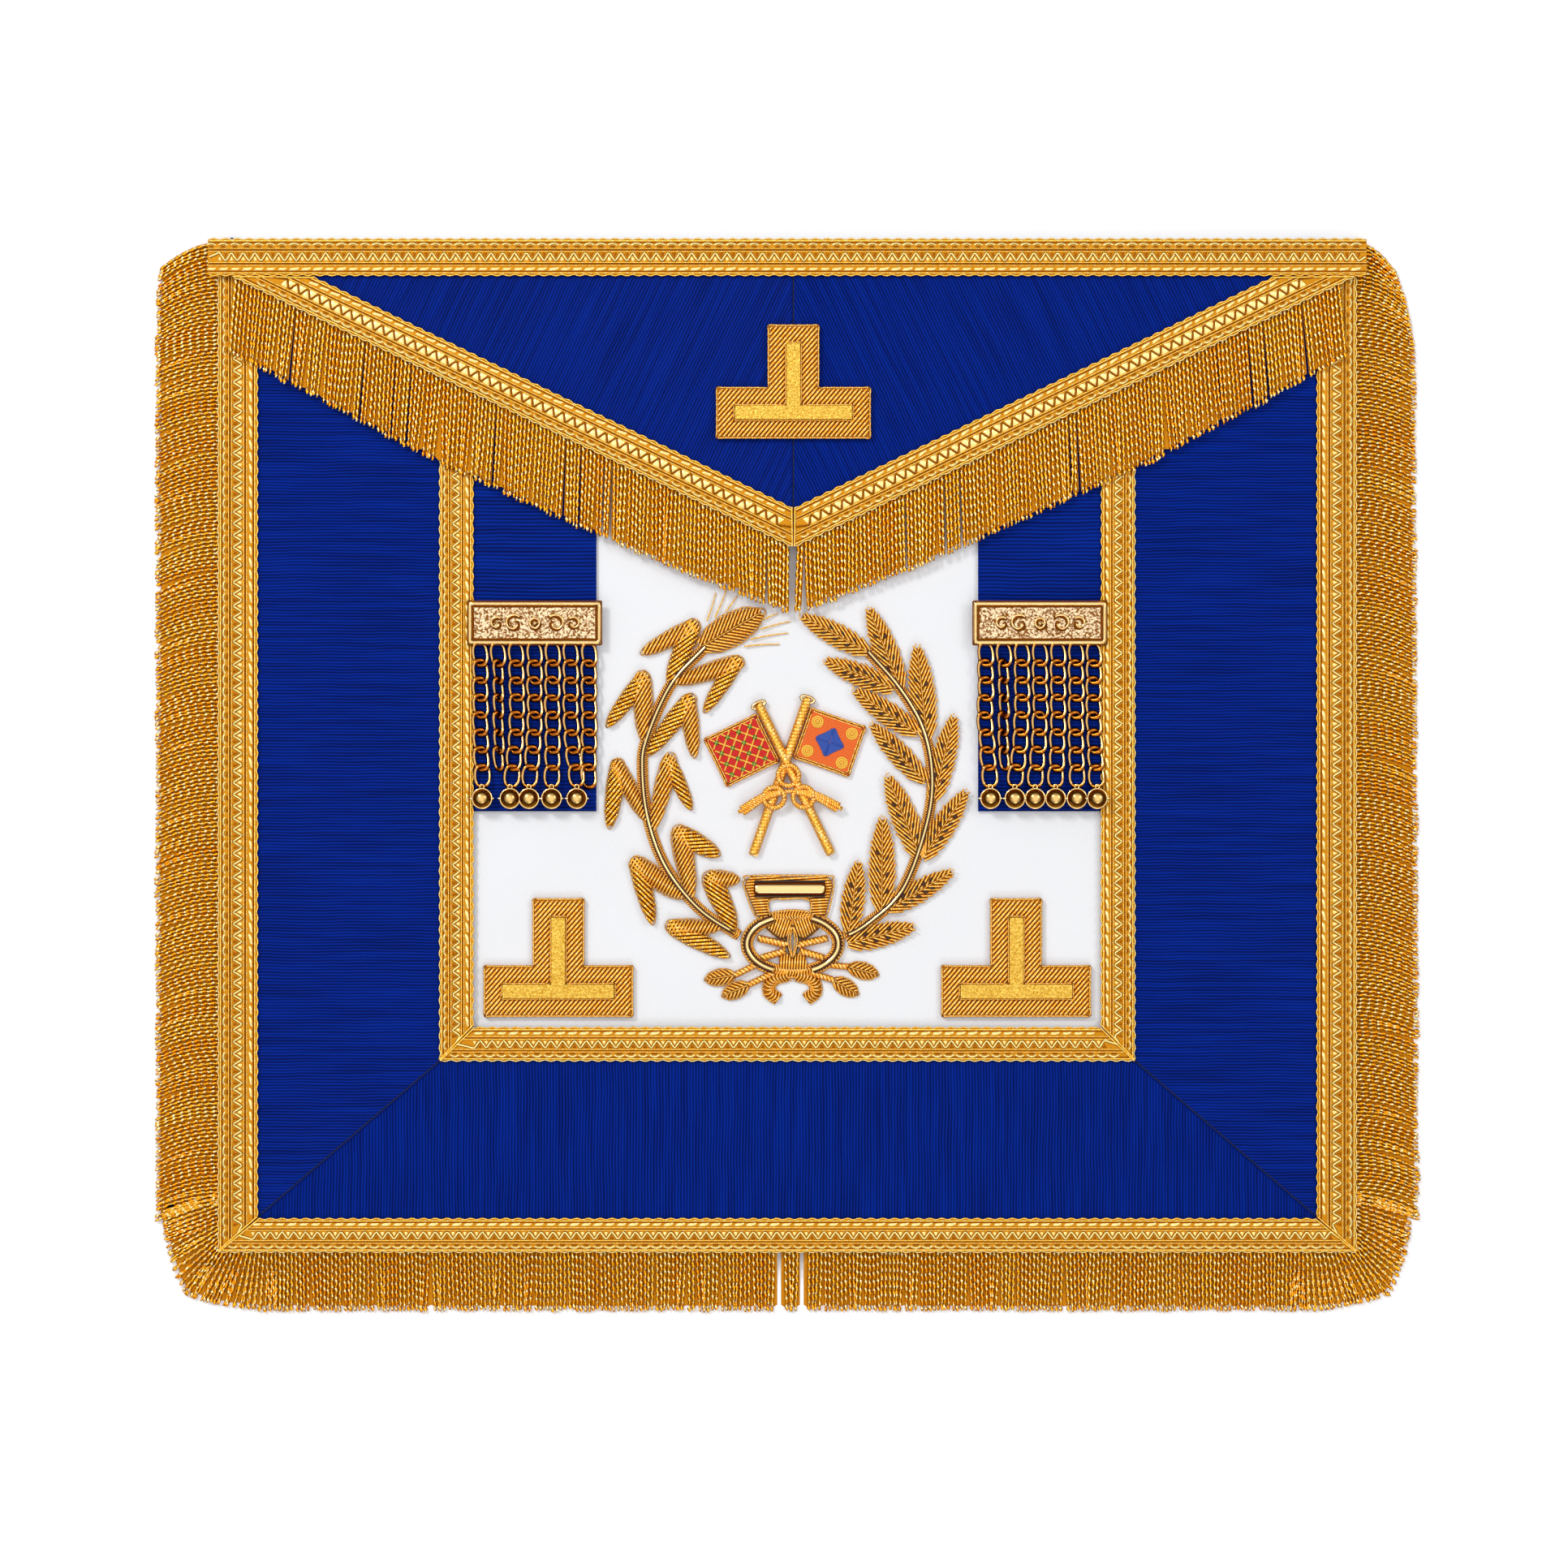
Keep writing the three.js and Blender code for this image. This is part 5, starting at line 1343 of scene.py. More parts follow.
@dataclass
class Fringe:
    """A fringe of twisted strands: strand(t, s) gives a place at shares along the fringe and down a strand.

    Its gaps are spans of shares without strands, its fans spans with short strands added between the long ones,
    more is how many pairs reach past each end, and the sheet behind ends at the share called backed.
    """

    node: str
    strand: Callable[[float, float], tuple]
    length: float
    drop: Callable[[float, float], float]
    seed: int
    more: tuple = (0, 0)
    pitch: float = 2.85
    gaps: tuple = ()
    fans: tuple = ()
    backed: float = 1.0

    radius = 0.74
    # Where a long and a fan's short strand start, where both end, and where the sheet behind ends.
    top = -0.07
    fan_top = 0.33
    foot = 0.93
    bead = (0.5, 1.1, 1.6)
    bead_girth = (0.7, 1.15, 1.2, 0.6)
    steps = np.array([0, 0.19, 0.47, 0.77, 1.0])

    def strands(self) -> CordLines:
        """The strands in front, in pairs, each with a bead at its end."""
        chance = np.random.default_rng(SEED + self.seed)
        lines = CordLines()
        count = int(self.length / self.pitch)
        near, half = 0.05 * self.pitch / self.length, 0.25 * self.pitch / self.length
        width = self.radius * np.array([1, 1, 1, 1, *self.bead_girth])
        starts = [(k + 0.5, self.top) for k in range(-self.more[0], count + self.more[1])]
        starts += [(k, self.fan_top) for a, b in self.fans for k in range(count + 1) if a <= k / count <= b]
        for k, top in starts:
            t = k / count
            if any(a - near < t < b + near for a, b in self.gaps):
                continue
            lean, stretch = chance.normal(0, 0.3 / self.length), 1 + chance.normal(0, 0.012)
            swing = chance.normal(0, 1.2)
            legs = []
            for side in (-1, 1):
                leg = []
                for s in top + (self.foot - top) * self.steps:
                    sway = lean * s + swing * s * s * 0.3 / self.length
                    x, y = self.strand(t + side * half + sway, s * stretch)
                    leg.append((x, y, self.drop(x, y) + self.radius + 0.14 + 0.12 * math.sin(7 * s + k + side)))
                legs.append(leg)
            shade = float(np.clip(chance.normal(0.3, 0.28), 0, 1))
            for leg in legs:
                out = unit(np.subtract(leg[-1], leg[-2])) * (1, 1, 0)
                tip = np.add(leg[-1], (0, 0, 0.14))
                bead = [tip + out * reach * (1 + 0.2 * chance.random()) for reach in self.bead]
                lines.add(leg + bead, width, shade, chance.random() * math.tau)
        return lines

    def backing(self) -> bpy.types.Object:
        """The strands behind, as thin sheets between the gaps."""
        start, end = (-self.more[0] * self.pitch / self.length, self.backed + self.more[1] * self.pitch / self.length)
        cuts = sorted(g for gap in self.gaps for g in gap if g < self.backed)
        t = np.unique(np.concatenate([np.linspace(start, end, max(8, int(self.length / 2.0))), cuts]))
        s = np.array([-0.1, 0.12, 0.35, 0.6, 0.8, self.foot])
        grid, places = np.zeros((len(t), len(s), 3)), np.zeros((len(t), len(s), 2))
        for i, share in enumerate(t):
            for j, down in enumerate(s):
                x, y = self.strand(share, down + (0.02 * math.sin(3.1 * i) if j == len(s) - 1 else 0))
                grid[i, j] = (x, y, self.drop(x, y) + 0.25)
                places[i, j] = (share * self.length, down * 22)
        turn = -1 if np.cross(grid[1, 0] - grid[0, 0], grid[0, 1] - grid[0, 0])[2] < 0 else 1
        bounds = [0, *np.searchsorted(t, cuts), len(t) - 1]
        draft = Draft()
        for a, b in zip(bounds[::2], bounds[1::2]):
            draft.shell(grid[a : b + 1][::turn], 0.2, places[a : b + 1][::turn])
        return draft.build("backing", Finish.FRINGE_BACK)

    def build(self) -> None:
        """Builds the fringe as one piece."""
        strands = self.strands().build("strands", Finish.FRINGE, Cord(step=1.05, flat=0.42))
        dress(joined(self.node + "_strands", [strands, self.backing()]), "fringe", self.node)


class Fringes:
    """The outer fringe on three sides and the flap's two halves.

    Each table gives shares of a length at shares of the way along: how far the side's strands reach out and how
    far they fall, how far the corner's have turned and how far they reach, and how long the flap's are.
    """

    side_reach = {
        Side.LEFT: ((0, 0.95), (0.04, 0.98), (0.1, 1), (1, 1)),
        Side.RIGHT: ((0, 0.6), (0.04, 0.8), (0.1, 0.95), (1, 1)),
    }
    side_fall = ((0, 0.42), (0.04, 0.36), (0.1, 0.28), (1, 0.26))
    corner_turn = ((0, 0.18), (0.25, 0.3), (0.5, 0.58), (0.75, 0.84), (1, 1))
    corner_reach = ((0, 1), (0.25, 0.97), (0.5, 0.93), (0.75, 0.97), (1, 1))
    flap_reach = ((0, 0.93), (0.15, 1), (0.35, 1.09), (0.55, 1.07), (0.8, 1), (1, 0.86))
    side_length = 22.6
    hem_length = 21.0
    flap_length = 28.0
    flap_pitch = 2.75
    corner = 19.0
    lean = 0.1
    # The two splits in the hem's fringe, as places along x, and half their width.
    hem_gaps = (-2.9, 5.2)
    hem_gap = 0.7
    # On each half of the flap: how far from the tip's line the fringe ends and is split, and by how much.
    tips = {Side.LEFT: (1.3, 8.9, 0.5), Side.RIGHT: (1.0, 4.6, 1.0)}
    bare_tip = 1.6
    # How wide, how far to both sides and how early a small and the wide split part the strands.
    small_split = (0.42, 2.6, 0.6)
    tip_split = (6.0, 1.5)

    def outer_drop(self, length: float) -> Callable[[float, float], float]:
        """The rise of the outer fringe's underside: it droops to the table outside the body's edge."""

        def drop(x: float, y: float) -> float:
            """The rise at one place."""
            share = min(math.hypot(max(abs(x) - HALF, 0), max(-y - BODY_HEIGHT, 0)) / (0.6 * length), 1.0)
            return Rise.FRINGE * (1 - share * share * (3 - 2 * share))

        return drop

    def side(self, side: Side) -> None:
        """One side's fringe, which leaves the body level and bends down."""
        length = BODY_HEIGHT - self.corner - INSET - 0.3

        def strand(t: float, s: float) -> tuple:
            """A place on a strand."""
            reach = self.side_length * read_table(self.side_reach[side], t)
            fall = self.side_length * read_table(self.side_fall, t) * s * abs(s)
            return side.value * (HALF + reach * s), -INSET - t * length - fall

        drop = self.outer_drop(self.side_length)
        Fringe(f"fringe_{side.label}", strand, length, drop, side.value, (0, 1)).build()

    def hem(self) -> None:
        """The hem's fringe, which fans round both lower corners."""
        length = BODY_WIDTH + 2 * self.corner
        share = 2.2 * self.corner / length

        def strand(t: float, s: float) -> tuple:
            """A place on a strand."""
            along = t * length
            from_end = min(along, length - along)
            side = -1 if along < length / 2 else 1
            x = side * (HALF - max(from_end - self.corner, 0))
            fan = min(from_end / (2 * self.corner), 1)
            angle = read_table(self.corner_turn, fan) * math.pi / 2
            reach = self.hem_length * read_table(self.corner_reach, fan) * s
            y = max(self.corner - from_end, 0) - BODY_HEIGHT - reach * math.sin(angle)
            return x + side * reach * math.cos(angle), y

        gaps = tuple(tuple(0.5 + (x + end) / length for end in (-self.hem_gap, self.hem_gap)) for x in self.hem_gaps)
        fans = ((0.0, share), (1 - share, 1.0))
        drop = self.outer_drop(self.hem_length)
        Fringe("fringe_bottom", strand, length, drop, 5, (1, 1), gaps=gaps, fans=fans).build()

    def flap(self, side: Side) -> None:
        """One half of the flap's fringe, whose strands lean a little outwards and part at a few splits."""
        inner, split_place, spread = self.tips[side]
        start = HALF - side.value * FLAP_OFFSET - TURN_IN - self.lean * self.flap_length
        count = int(start / self.flap_pitch)

        def share(from_tip: float) -> float:
            """The share along the fringe at a distance from the tip's line."""
            return (start - from_tip) / (start - inner)

        cut = round(share(split_place) * count) / count
        spots = np.random.default_rng(SEED + 30 - side.value).uniform(0.06, 0.86, 9)
        cuts = [(at, *self.small_split) for at in sorted({round(spot * count) / count for spot in spots} - {cut})]
        cuts.append((cut, spread, *self.tip_split))

        def strand(t: float, s: float) -> tuple:
            """A place on a strand."""
            from_tip = start + (inner - start) * t
            length = self.flap_length * read_table(self.flap_reach, t)
            out = from_tip + self.lean * (1 - t) * length * s
            for at, wide, far, power in cuts:
                out += wide * max(1 - abs(t - at) * start / far, 0) * max(s, 0) ** power * (1 if t < at else -1)
            return FLAP_OFFSET + side.value * out, flap_edge(from_tip, FLAP_LACE) - length * s

        gaps = tuple((at - 1e-4, at + 1e-4) for at, *_ in cuts)
        name, rise, seed = f"flap_fringe_{side.label}", (lambda x, y: float(Rise.FLAP)), 8 - side.value
        Fringe(name, strand, start, rise, seed, (0, 0), self.flap_pitch, gaps, backed=share(self.bare_tip)).build()

    def build(self) -> None:
        """Builds every fringe."""
        for side in Side:
            self.side(side)
            self.flap(side)
        self.hem()


# Tassels


@dataclass(frozen=True)
class Chain:
    """One chain: its place in pitches from the middle and its sway, and whether it has a ball or hangs edge on."""

    slot: int
    sway: float
    ball: bool = True
    links: int = 8
    edge_on: bool = False


@dataclass
class Tassel:
    """A plate at the foot of a ribbon's top half, with its chains and balls."""

    side: Side
    chains: tuple

    plate = (47.6, 15.4)
    plate_top = 129.2
    margin = 2.3
    length = 54.8
    ball = 3.45
    first_link = 3.4
    link_pitch = 6.2
    # Half length and half width of a link, of one seen edge on, and of the one that holds the ball.
    link, edge_link, last_link = (4.05, 2.45), (4.05, 1.5), (3.75, 2.6)
    # Each scroll on the plate: its place from the middle, its size and the way that it winds.
    scrolls = ((-13.7, 2.5, 1), (-7.6, 3.4, 1), (7.7, 3.4, -1), (14.0, 2.5, -1))
    # Each line round the plate: its inset, half thickness, and whether it is the bright rim; the others are dark
    # lines of painted shade.
    rims = ((0.8, 0.8, True), (1.85, 0.4, False), (-0.05, 0.25, False))

    def ball_rise(self, x: float) -> float:
        """The height of a ball's middle, on the ribbon or leaning on the lace."""
        touch, on_ribbon, lace_top = self.ball + 0.25, Rise.LACE + self.ball, Rise.LACE + CLOTH
        from_lace = max(HALF_WINDOW - abs(x), 0)
        if from_lace > math.sqrt(touch**2 - (on_ribbon - lace_top) ** 2):
            return on_ribbon
        return lace_top + math.sqrt(max(touch**2 - from_lace**2, 0))

    def build_plate(self, x: float) -> None:
        """The gilt plate: a rounded rim round a stippled field with a row of scrolls and a flower, with painted
        shadows under the scrolls and the flower and dark lines of painted shade beside the rim.
        """
        y, level = -self.plate_top - self.plate[1] / 2, Rise.FLAP + 0.8
        w, h = self.plate[0] / 2, self.plate[1] / 2

        def box(m: float) -> list:
            """The plate's corners, moved inwards."""
            return [(x - w + m, y - h + m), (x + w - m, y - h + m), (x + w - m, y + h - m), (x - w + m, y + h - m)]

        base, rim, scrolls, grooves = Draft(), CordLines(), CordLines(), CordLines()
        base.slab(box(2.2), Rise.LACE, 1.6)
        base.slab(box(0.1), Rise.FLAP, 0.8, 0.2)
        for inset, radius, bright in self.rims:
            (rim if bright else grooves).add(raised(closed_line(box(inset), 30), level), radius, 0.8, ring=True)
        # Painted shadows: dark copies of the scrolls and the flower, a little below and to one side of them.
        shadow = (0, -0.5, level - 0.02)
        for place, size, wind in self.scrolls:
            t = np.linspace(0.25, 2.35, 18) * math.pi
            r = size * (1 - 0.28 * t / math.pi)
            path = np.column_stack([x + place + wind * r * np.cos(t), y + r * np.sin(t)])
            scrolls.add(raised(path, level + 0.15), np.linspace(0.55, 0.35, 18))
            grooves.add(raised(path, 0.0) + shadow + (0.4 * wind, 0, 0), 0.6, 0.8)
        for size, radius in ((1.75, 0.45), (0.35, 0.6)):
            flower = (x, y) + circle(size, 14)
            scrolls.add(raised(flower, level + 0.25), radius, ring=True)
            grooves.add(raised(flower, 0.0) + shadow + (0.3, 0, 0), 0.6, 0.8, ring=True)
        parts = [
            base.build("field", Finish.PLATE, smooth=False),
            rim.build("rim", Finish.GILT, Cord(step=1.2, sides=10)),
            grooves.build("grooves", Finish.LACE_SHADOW, Cord(step=0.7, sides=6)),
            scrolls.build("scrolls", Finish.GILT, Cord(step=0.5, sides=6)),
        ]
        node = f"tassel_plate_{self.side.label}"
        dress(joined(node + "_metal", parts), "gilt", node)

    def link_ring(self, here: np.ndarray, ahead: np.ndarray, size: tuple, lean: float, twist: float) -> np.ndarray:
        """The middle line of one link, flattened, twisted out of its plane and leaning."""
        along = unit(ahead - here)
        across = unit(np.cross((0, 0, 1), along))
        t = round_turn(18)
        u, v = (
            half * np.sign(swing) * np.abs(swing) ** power
            for half, swing, power in zip(size, (np.cos(t), np.sin(t)), (0.85, 0.7))
        )
        u, v = u * math.cos(lean) - v * math.sin(lean), u * math.sin(lean) + v * math.cos(lean)
        z = twist * np.sin(2 * t)
        return here + u[:, None] * along + v[:, None] * across + z[:, None] * np.array([0, 0, 1.0])

    def build_chain(self, middle: float, number: int, chain: Chain) -> None:
        """One curb chain with its ball."""
        pitch = (RIBBON_WIDTH - 2 * self.margin - 0.6) / 6
        x = middle + chain.slot * pitch
        foot, top = x + chain.sway * pitch, -self.plate_top - self.plate[1]
        # Each bend of the route: how far down it lies, its share of the sway and its rise.
        bends = ((-1.0, 0, 0.5), (14, 0, 0), (28, 0, 0), (40, 0.45, 0), (47, 0.85, 0.3 * chain.ball), (52, 1, 0.5))
        places = [(x + bend * (foot - x), top - down, Rise.LACE + 1.15 + lift) for down, bend, lift in bends]
        route = smooth_path(places, 160)
        links, chance = CordLines(), np.random.default_rng(SEED + number + 20 * self.side.value)
        turn = round_turn(18)
        for k in range(chain.links):
            down = self.first_link + self.link_pitch * k
            here, ahead = (point_at(at, top - route[:, 1], route) for at in (down, down + 1))
            edge_on, last = chain.edge_on and k > 0, chain.ball and k == 7
            size = self.last_link if last else self.edge_link if edge_on else self.link
            ring = self.link_ring(here, ahead, size, 0.0 if last else 0.13, 0.95 if edge_on else 0.7)
            # Painted shade: each link is deepest at its ends, where it crosses its neighbours.
            shade = np.clip(1.5 * np.abs(np.cos(turn)) ** 3 - 0.15 + chance.normal(0, 0.08), 0, 1)
            thick = 0.6 + 0.25 * np.cos(turn) ** 4
            links.add(ring + (*chance.normal(0, 0.1, 2), 0), thick, shade, ring=True)
        parts = [links.build("links", Finish.CHAIN, Cord(step=0.8, sides=6))]
        if chain.ball:
            parts += self.build_ball(np.array([foot, top - self.length, self.ball_rise(foot)]))
        node = f"chain_{self.side.label}_{number}"
        dress(joined(node + "_links", parts), "gilt", node)

    def build_ball(self, centre: np.ndarray) -> list:
        """A gilt ball, dark with painted shade but for a bright spot on top, in a bright ring, with a nub at each
        side and a small bail.
        """
        band, draft = CordLines(), Draft()
        band.add(centre + raised(circle(self.ball, 28), 0.3), 0.4, ring=True)
        band.add(centre + (0, self.ball + 0.7, 0) + raised(circle(0.8, 14), 0.0), 0.36, 0.5, ring=True)
        for side in (-1, 1):
            nub = [(side * (self.ball + out), 0, 0.3) for out in (-0.3, 0.75)]
            band.add(centre + np.array(nub), [0.6, 0.35])
        lat, lon = np.linspace(0, math.pi, 15)[:, None], round_turn(24)
        across, radius = (self.ball - 0.05) * np.sin(lat), self.ball - 0.05
        sphere = [across * np.sin(lon), radius * np.cos(lat) + 0 * lon, across * np.cos(lon)]
        draft.grid(centre + np.dstack(sphere), wrap=True)
        return [band.build("band", Finish.WIRE, Cord(step=0.7, sides=7)), draft.build("ball", Finish.BALL)]

    def build(self) -> None:
        """Builds the plate and its chains."""
        x = self.side.value * (HALF_WINDOW - RIBBON_WIDTH / 2)
        self.build_plate(x)
        for number, chain in enumerate(self.chains, 1):
            self.build_chain(x, number, chain)


LEFT_CHAINS = (
    Chain(-3, 0.1), Chain(-2, 0, ball=False, links=7, edge_on=True), Chain(-1, -0.35), Chain(0, -0.3),
    Chain(1, -0.05), Chain(2, 0.35), Chain(3, -0.02, ball=False),
)
RIGHT_CHAINS = (
    Chain(-3, 0.25), Chain(-2, 0, ball=False, links=7, edge_on=True), Chain(-1, -0.4), Chain(0, -0.28),
    Chain(1, -0.15), Chain(2, 0.03), Chain(3, 0.15),
)


# Bullion embroidery


@dataclass
class Level:
    """An inverted T in bullion, with a hammered plate along its middle."""

    name: str
    x: float
    foot: float
    wide: float
    high: float
    floor: float
    arm: float = 18.8
    margin: float = 7.0
    padding: float = 2.4

    slant = (1.0, 1.15)
    purl = Purl(1.25, 0.56, arch=0.4)

    def outline(self, inset: float) -> np.ndarray:
        """The T's outline moved inwards."""
        w, a = self.wide / 2 - inset, self.arm / 2 - inset
        low, shoulder, top = self.foot + inset, self.foot + self.arm - inset, self.foot + self.high - inset
        x = self.x
        return np.array([
            (x - w, low), (x + w, low), (x + w, shoulder), (x + a, shoulder),
            (x + a, top), (x - a, top), (x - a, shoulder), (x - w, shoulder),
        ])

    def build(self) -> None:
        """Builds the padded T of slanting rows inside two cords, and dresses its plate."""
        pad, rows, edges = Draft(), CordLines(), CordLines()
        pad.slab(self.outline(0.25), self.floor, self.padding - 0.75, 0.6)
        between = (self.outline(0.7), self.outline(self.margin - 0.1))
        heights = even(self.floor + self.padding - 0.55)
        self.purl.fill(rows, between, self.slant, heights, np.random.default_rng(SEED))
        for inset, lift, radius in ((0.5, self.padding - 0.75, 0.5), (self.margin - 0.35, self.padding + 0.05, 0.45)):
            edges.add(raised(closed_line(self.outline(inset)), self.floor + lift), radius, 0.1, ring=True)
        parts = [
            pad.build("pad", Finish.PADDING, smooth=False),
            rows.build("rows", Finish.PURL, Cord(step=1.4, sides=6)),
            edges.build("edges", Finish.PURL, Cord(step=0.8, sides=6, flat=0.3, turn=1.1)),
        ]
        dress(joined(f"level_{self.name}_bullion", parts), "bullion", f"level_{self.name}")
        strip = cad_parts[f"level_strip_{self.name}"]
        strip.data.materials.clear()
        strip.data.materials.append(WARDROBE[Finish.HAMMERED])


class Wreath:
    """The wreath's shared drawing: its places are shares of its half width and half height from its middle."""

    half_width = 51.7
    half_height = 58.6
    middle = -193.9
    leaf_width = 9.5
    lobe_width = 6.9
    crest = 1.9
    floor = float(Rise.CLOTH)
    leaf_profile = ((0, 0.3), (0.15, 0.8), (0.42, 1.0), (0.72, 0.82), (0.92, 0.42), (1, 0.15))
    lobe_profile = ((-0.14, 0.35), (-0.02, 0.9), (0.32, 1.0), (0.75, 0.76), (0.94, 0.4), (1, 0.15))
    oval_profile = ((0, 0.3), (0.2, 0.82), (0.5, 1.0), (0.8, 0.75), (1, 0.12))

    @classmethod
    def place(cls, share: Sequence) -> np.ndarray:
        """A place in the wreath, or rows of them, in millimetres."""
        return np.asarray(share, float) * (cls.half_width, cls.half_height) + (0, cls.middle)


class Leafwork:
    """Leaves and lobes worked in rows of purl over padding."""

    def __init__(self, seed: int) -> None:
        self.pads = Draft()
        self.lines = {key: CordLines() for key in ("rows", "shiny", "cords", "ropes", "slots", "wires")}
        self.chance = np.random.default_rng(SEED + seed)

    @staticmethod
    def axes(root: np.ndarray, tip: np.ndarray) -> tuple:
        """A leaf's direction, the direction across it and its length."""
        along = unit(tip - root)
        return along, beside(along), float(np.linalg.norm(tip - root))

    def outline(self, root: np.ndarray, tip: np.ndarray, width: float, profile: tuple, side: int = 0) -> np.ndarray:
        """A leaf's outline, or that of its half on one side."""
        along, across, length = self.axes(root, tip)
        at = np.linspace(profile[0][0], profile[-1][0], 14)
        half = np.array([read_table(profile, a) for a in at]) * width / 2
        edge = lambda turn: root + along * (at * length)[:, None] + across * (turn * half)[:, None]
        near, far = edge(side or -1), edge(0.05 * side if side else 1)
        return np.vstack([near, far[::-1]])

    def pad(self, root: np.ndarray, tip: np.ndarray, width: float, profile: tuple, crest: float) -> None:
        """The padding under a leaf."""
        along, across, length = self.axes(root, tip)
        grid = np.zeros((9, 5, 3))
        for i, at in enumerate(np.linspace(profile[0][0] + 0.03, profile[-1][0] - 0.05, 9)):
            half = read_table(profile, at) * width / 2
            for j, share in enumerate((-0.85, -0.5, 0, 0.5, 0.85)):
                spot = root + along * at * length + across * share * half
                grid[i, j] = (*spot, Wreath.floor + (crest - 0.45) * (1 - share**2) + 0.05)
        self.pads.grid(grid)

    def rise(self, root: np.ndarray, tip: np.ndarray, width: float, crest: float) -> Heights:
        """The heights of a leaf's rows."""
        _, across, _ = self.axes(root, tip)

        def heights(spots: np.ndarray) -> np.ndarray:
            """The heights at places: highest along the leaf's middle."""
            from_middle = np.clip(np.abs((spots - root) @ across) / width * 2, 0, 1)
            return Wreath.floor + 0.1 + crest * (1 - 0.72 * from_middle**2)

        return heights

    def leaf(
        self, root: np.ndarray, tip: np.ndarray, width: float, profile: tuple, crest: float = 1.9, slots: int = 0,
        steep: float = 0.55,
    ) -> None:
        """A leaf in herring-bone about a midrib: with dark dashes of painted shade beside the midrib and a ragged
        edge, or with an edge of cord.
        """
        self.pad(root, tip, width, profile, crest)
        along, across, length = self.axes(root, tip)
        rise = self.rise(root, tip, width, crest)
        for side in (-1, 1):
            heading = along + side * steep * across
            purl = Purl(1.08, 0.46, ragged=0.5 if slots else 0.0)
            half = self.outline(root, tip, width, profile, side)
            purl.fill(self.lines["rows"], [half], heading, rise, self.chance)
            # Painted shade: dark dashes beside the midrib, where gaps between rows would be in shade.
            for k in range(slots):
                share = 0.24 + 0.5 * (k + 0.3 * (side > 0)) / slots
                middle = root + along * length * share + side * across * width * 0.17
                dash = middle + np.array([-1.1, -0.4, 0.4, 1.1])[:, None] * unit(heading)
                self.lines["slots"].add(np.column_stack([dash, rise(dash) + 0.33]), [0.15, 0.5, 0.5, 0.15])
        rib = root + np.linspace(0.03, 0.93, 8)[:, None] * (tip - root)
        self.lines["cords"].add(raised(rib, Wreath.floor + crest + 0.15), 0.3, 0.1)
        if not slots:
            edge = self.outline(root, tip, width, profile)
            self.lines["cords"].add(raised(edge, Wreath.floor + 0.5), 0.35, 0.2, ring=True)

    def lobe(self, root: np.ndarray, tip: np.ndarray, width: float, shiny: bool, lift: float) -> None:
        """A satin lobe: fine rows leaning one way, or a few thick shiny ones."""
        profile = Wreath.lobe_profile
        self.pad(root, tip, width, profile, Wreath.crest + lift)
        along, across, _ = self.axes(root, tip)
        rise = self.rise(root, tip, width, Wreath.crest + lift)
        outline = self.outline(root, tip, width, profile)
        turn = 1 if along[0] > 0 else -1
        heading = along + 0.6 * turn * across if shiny else (0.5, 0.87)
        purl, key = (Purl(1.25, 0.6), "shiny") if shiny else (Purl(1.15, 0.48), "rows")
        purl.fill(self.lines[key], [outline], heading, rise, self.chance)
        self.lines["cords"].add(raised(outline, Wreath.floor + 0.45 + lift), 0.26, 0.2, ring=True)

    def strip(self, path: np.ndarray, width: float, pitch: float = 0.85, crest: float = 1.6) -> None:
        """Short rows of purl laid over padding across a path in herring-bone, between two edge cords."""
        travel, shares = travelled(path), np.array([-1, 0, 1.0])
        for at in np.arange(0.4, travel[-1], pitch):
            here, ahead, back = (point_at(at + step, travel, path) for step in (0.0, 0.3, -0.3))
            along = unit(ahead - back)
            bent = along * (-0.5 * np.abs(shares) * width / 2)[:, None]
            spots = here + bent + beside(along) * (shares * width / 2)[:, None]
            rise = Wreath.floor + crest * np.array([0.2, 0.85, 0.2]) + 0.1
            self.lines["rows"].add(raised(spots, rise), [0.3, 0.42, 0.3], float(self.chance.random() * 0.5))
        along = np.gradient(path, axis=0)
        across = beside(along) / np.linalg.norm(along, axis=1)[:, None]
        for side in (-1, 1):
            edge = path + side * across * width * 0.48
            self.lines["cords"].add(raised(edge, Wreath.floor + 0.4), 0.3, 0.2)
        flat = path[:, None] - across[:, None] * (shares * 0.42 * width)[None, :, None]
        high = np.broadcast_to(Wreath.floor + 0.1 + (crest - 0.5) * (1 - np.abs(shares)), flat.shape[:2])
        self.pads.grid(np.dstack([flat, high])[:, ::-1])

    def parts(self) -> list:
        """The meshes of all that was worked."""
        made = [self.pads.build("pads", Finish.PADDING)] if self.pads.count else []
        for key, finish, cord in (
            ("rows", Finish.PURL, Cord(step=1.1, sides=5)),
            ("shiny", Finish.PURL_SHINY, Cord(step=1.0, sides=6)),
            ("cords", Finish.PURL, Cord(step=0.6, sides=5, flat=0.35, turn=0.8)),
            ("ropes", Finish.PURL, Cord(step=0.35, sides=6)),
            ("slots", Finish.SLOT, Cord(step=0.5, sides=5)),
            ("wires", Finish.LACE_CORD, Cord(step=1.0, sides=5)),
        ):
            if self.lines[key].count:
                made.append(self.lines[key].build(key, finish, cord))
        return made


LEFT_STEM = (
    (-0.567, 0.827), (-0.803, 0.599), (-0.972, 0.267), (-1, 0.074),
    (-0.961, -0.223), (-0.837, -0.515), (-0.607, -0.767), (-0.331, -0.931),
)
RIGHT_STEM = (
    (0.562, 0.797), (0.775, 0.579), (0.938, 0.327), (1, 0.03),
    (0.955, -0.272), (0.792, -0.653), (0.545, -0.861), (0.393, -0.936),
)
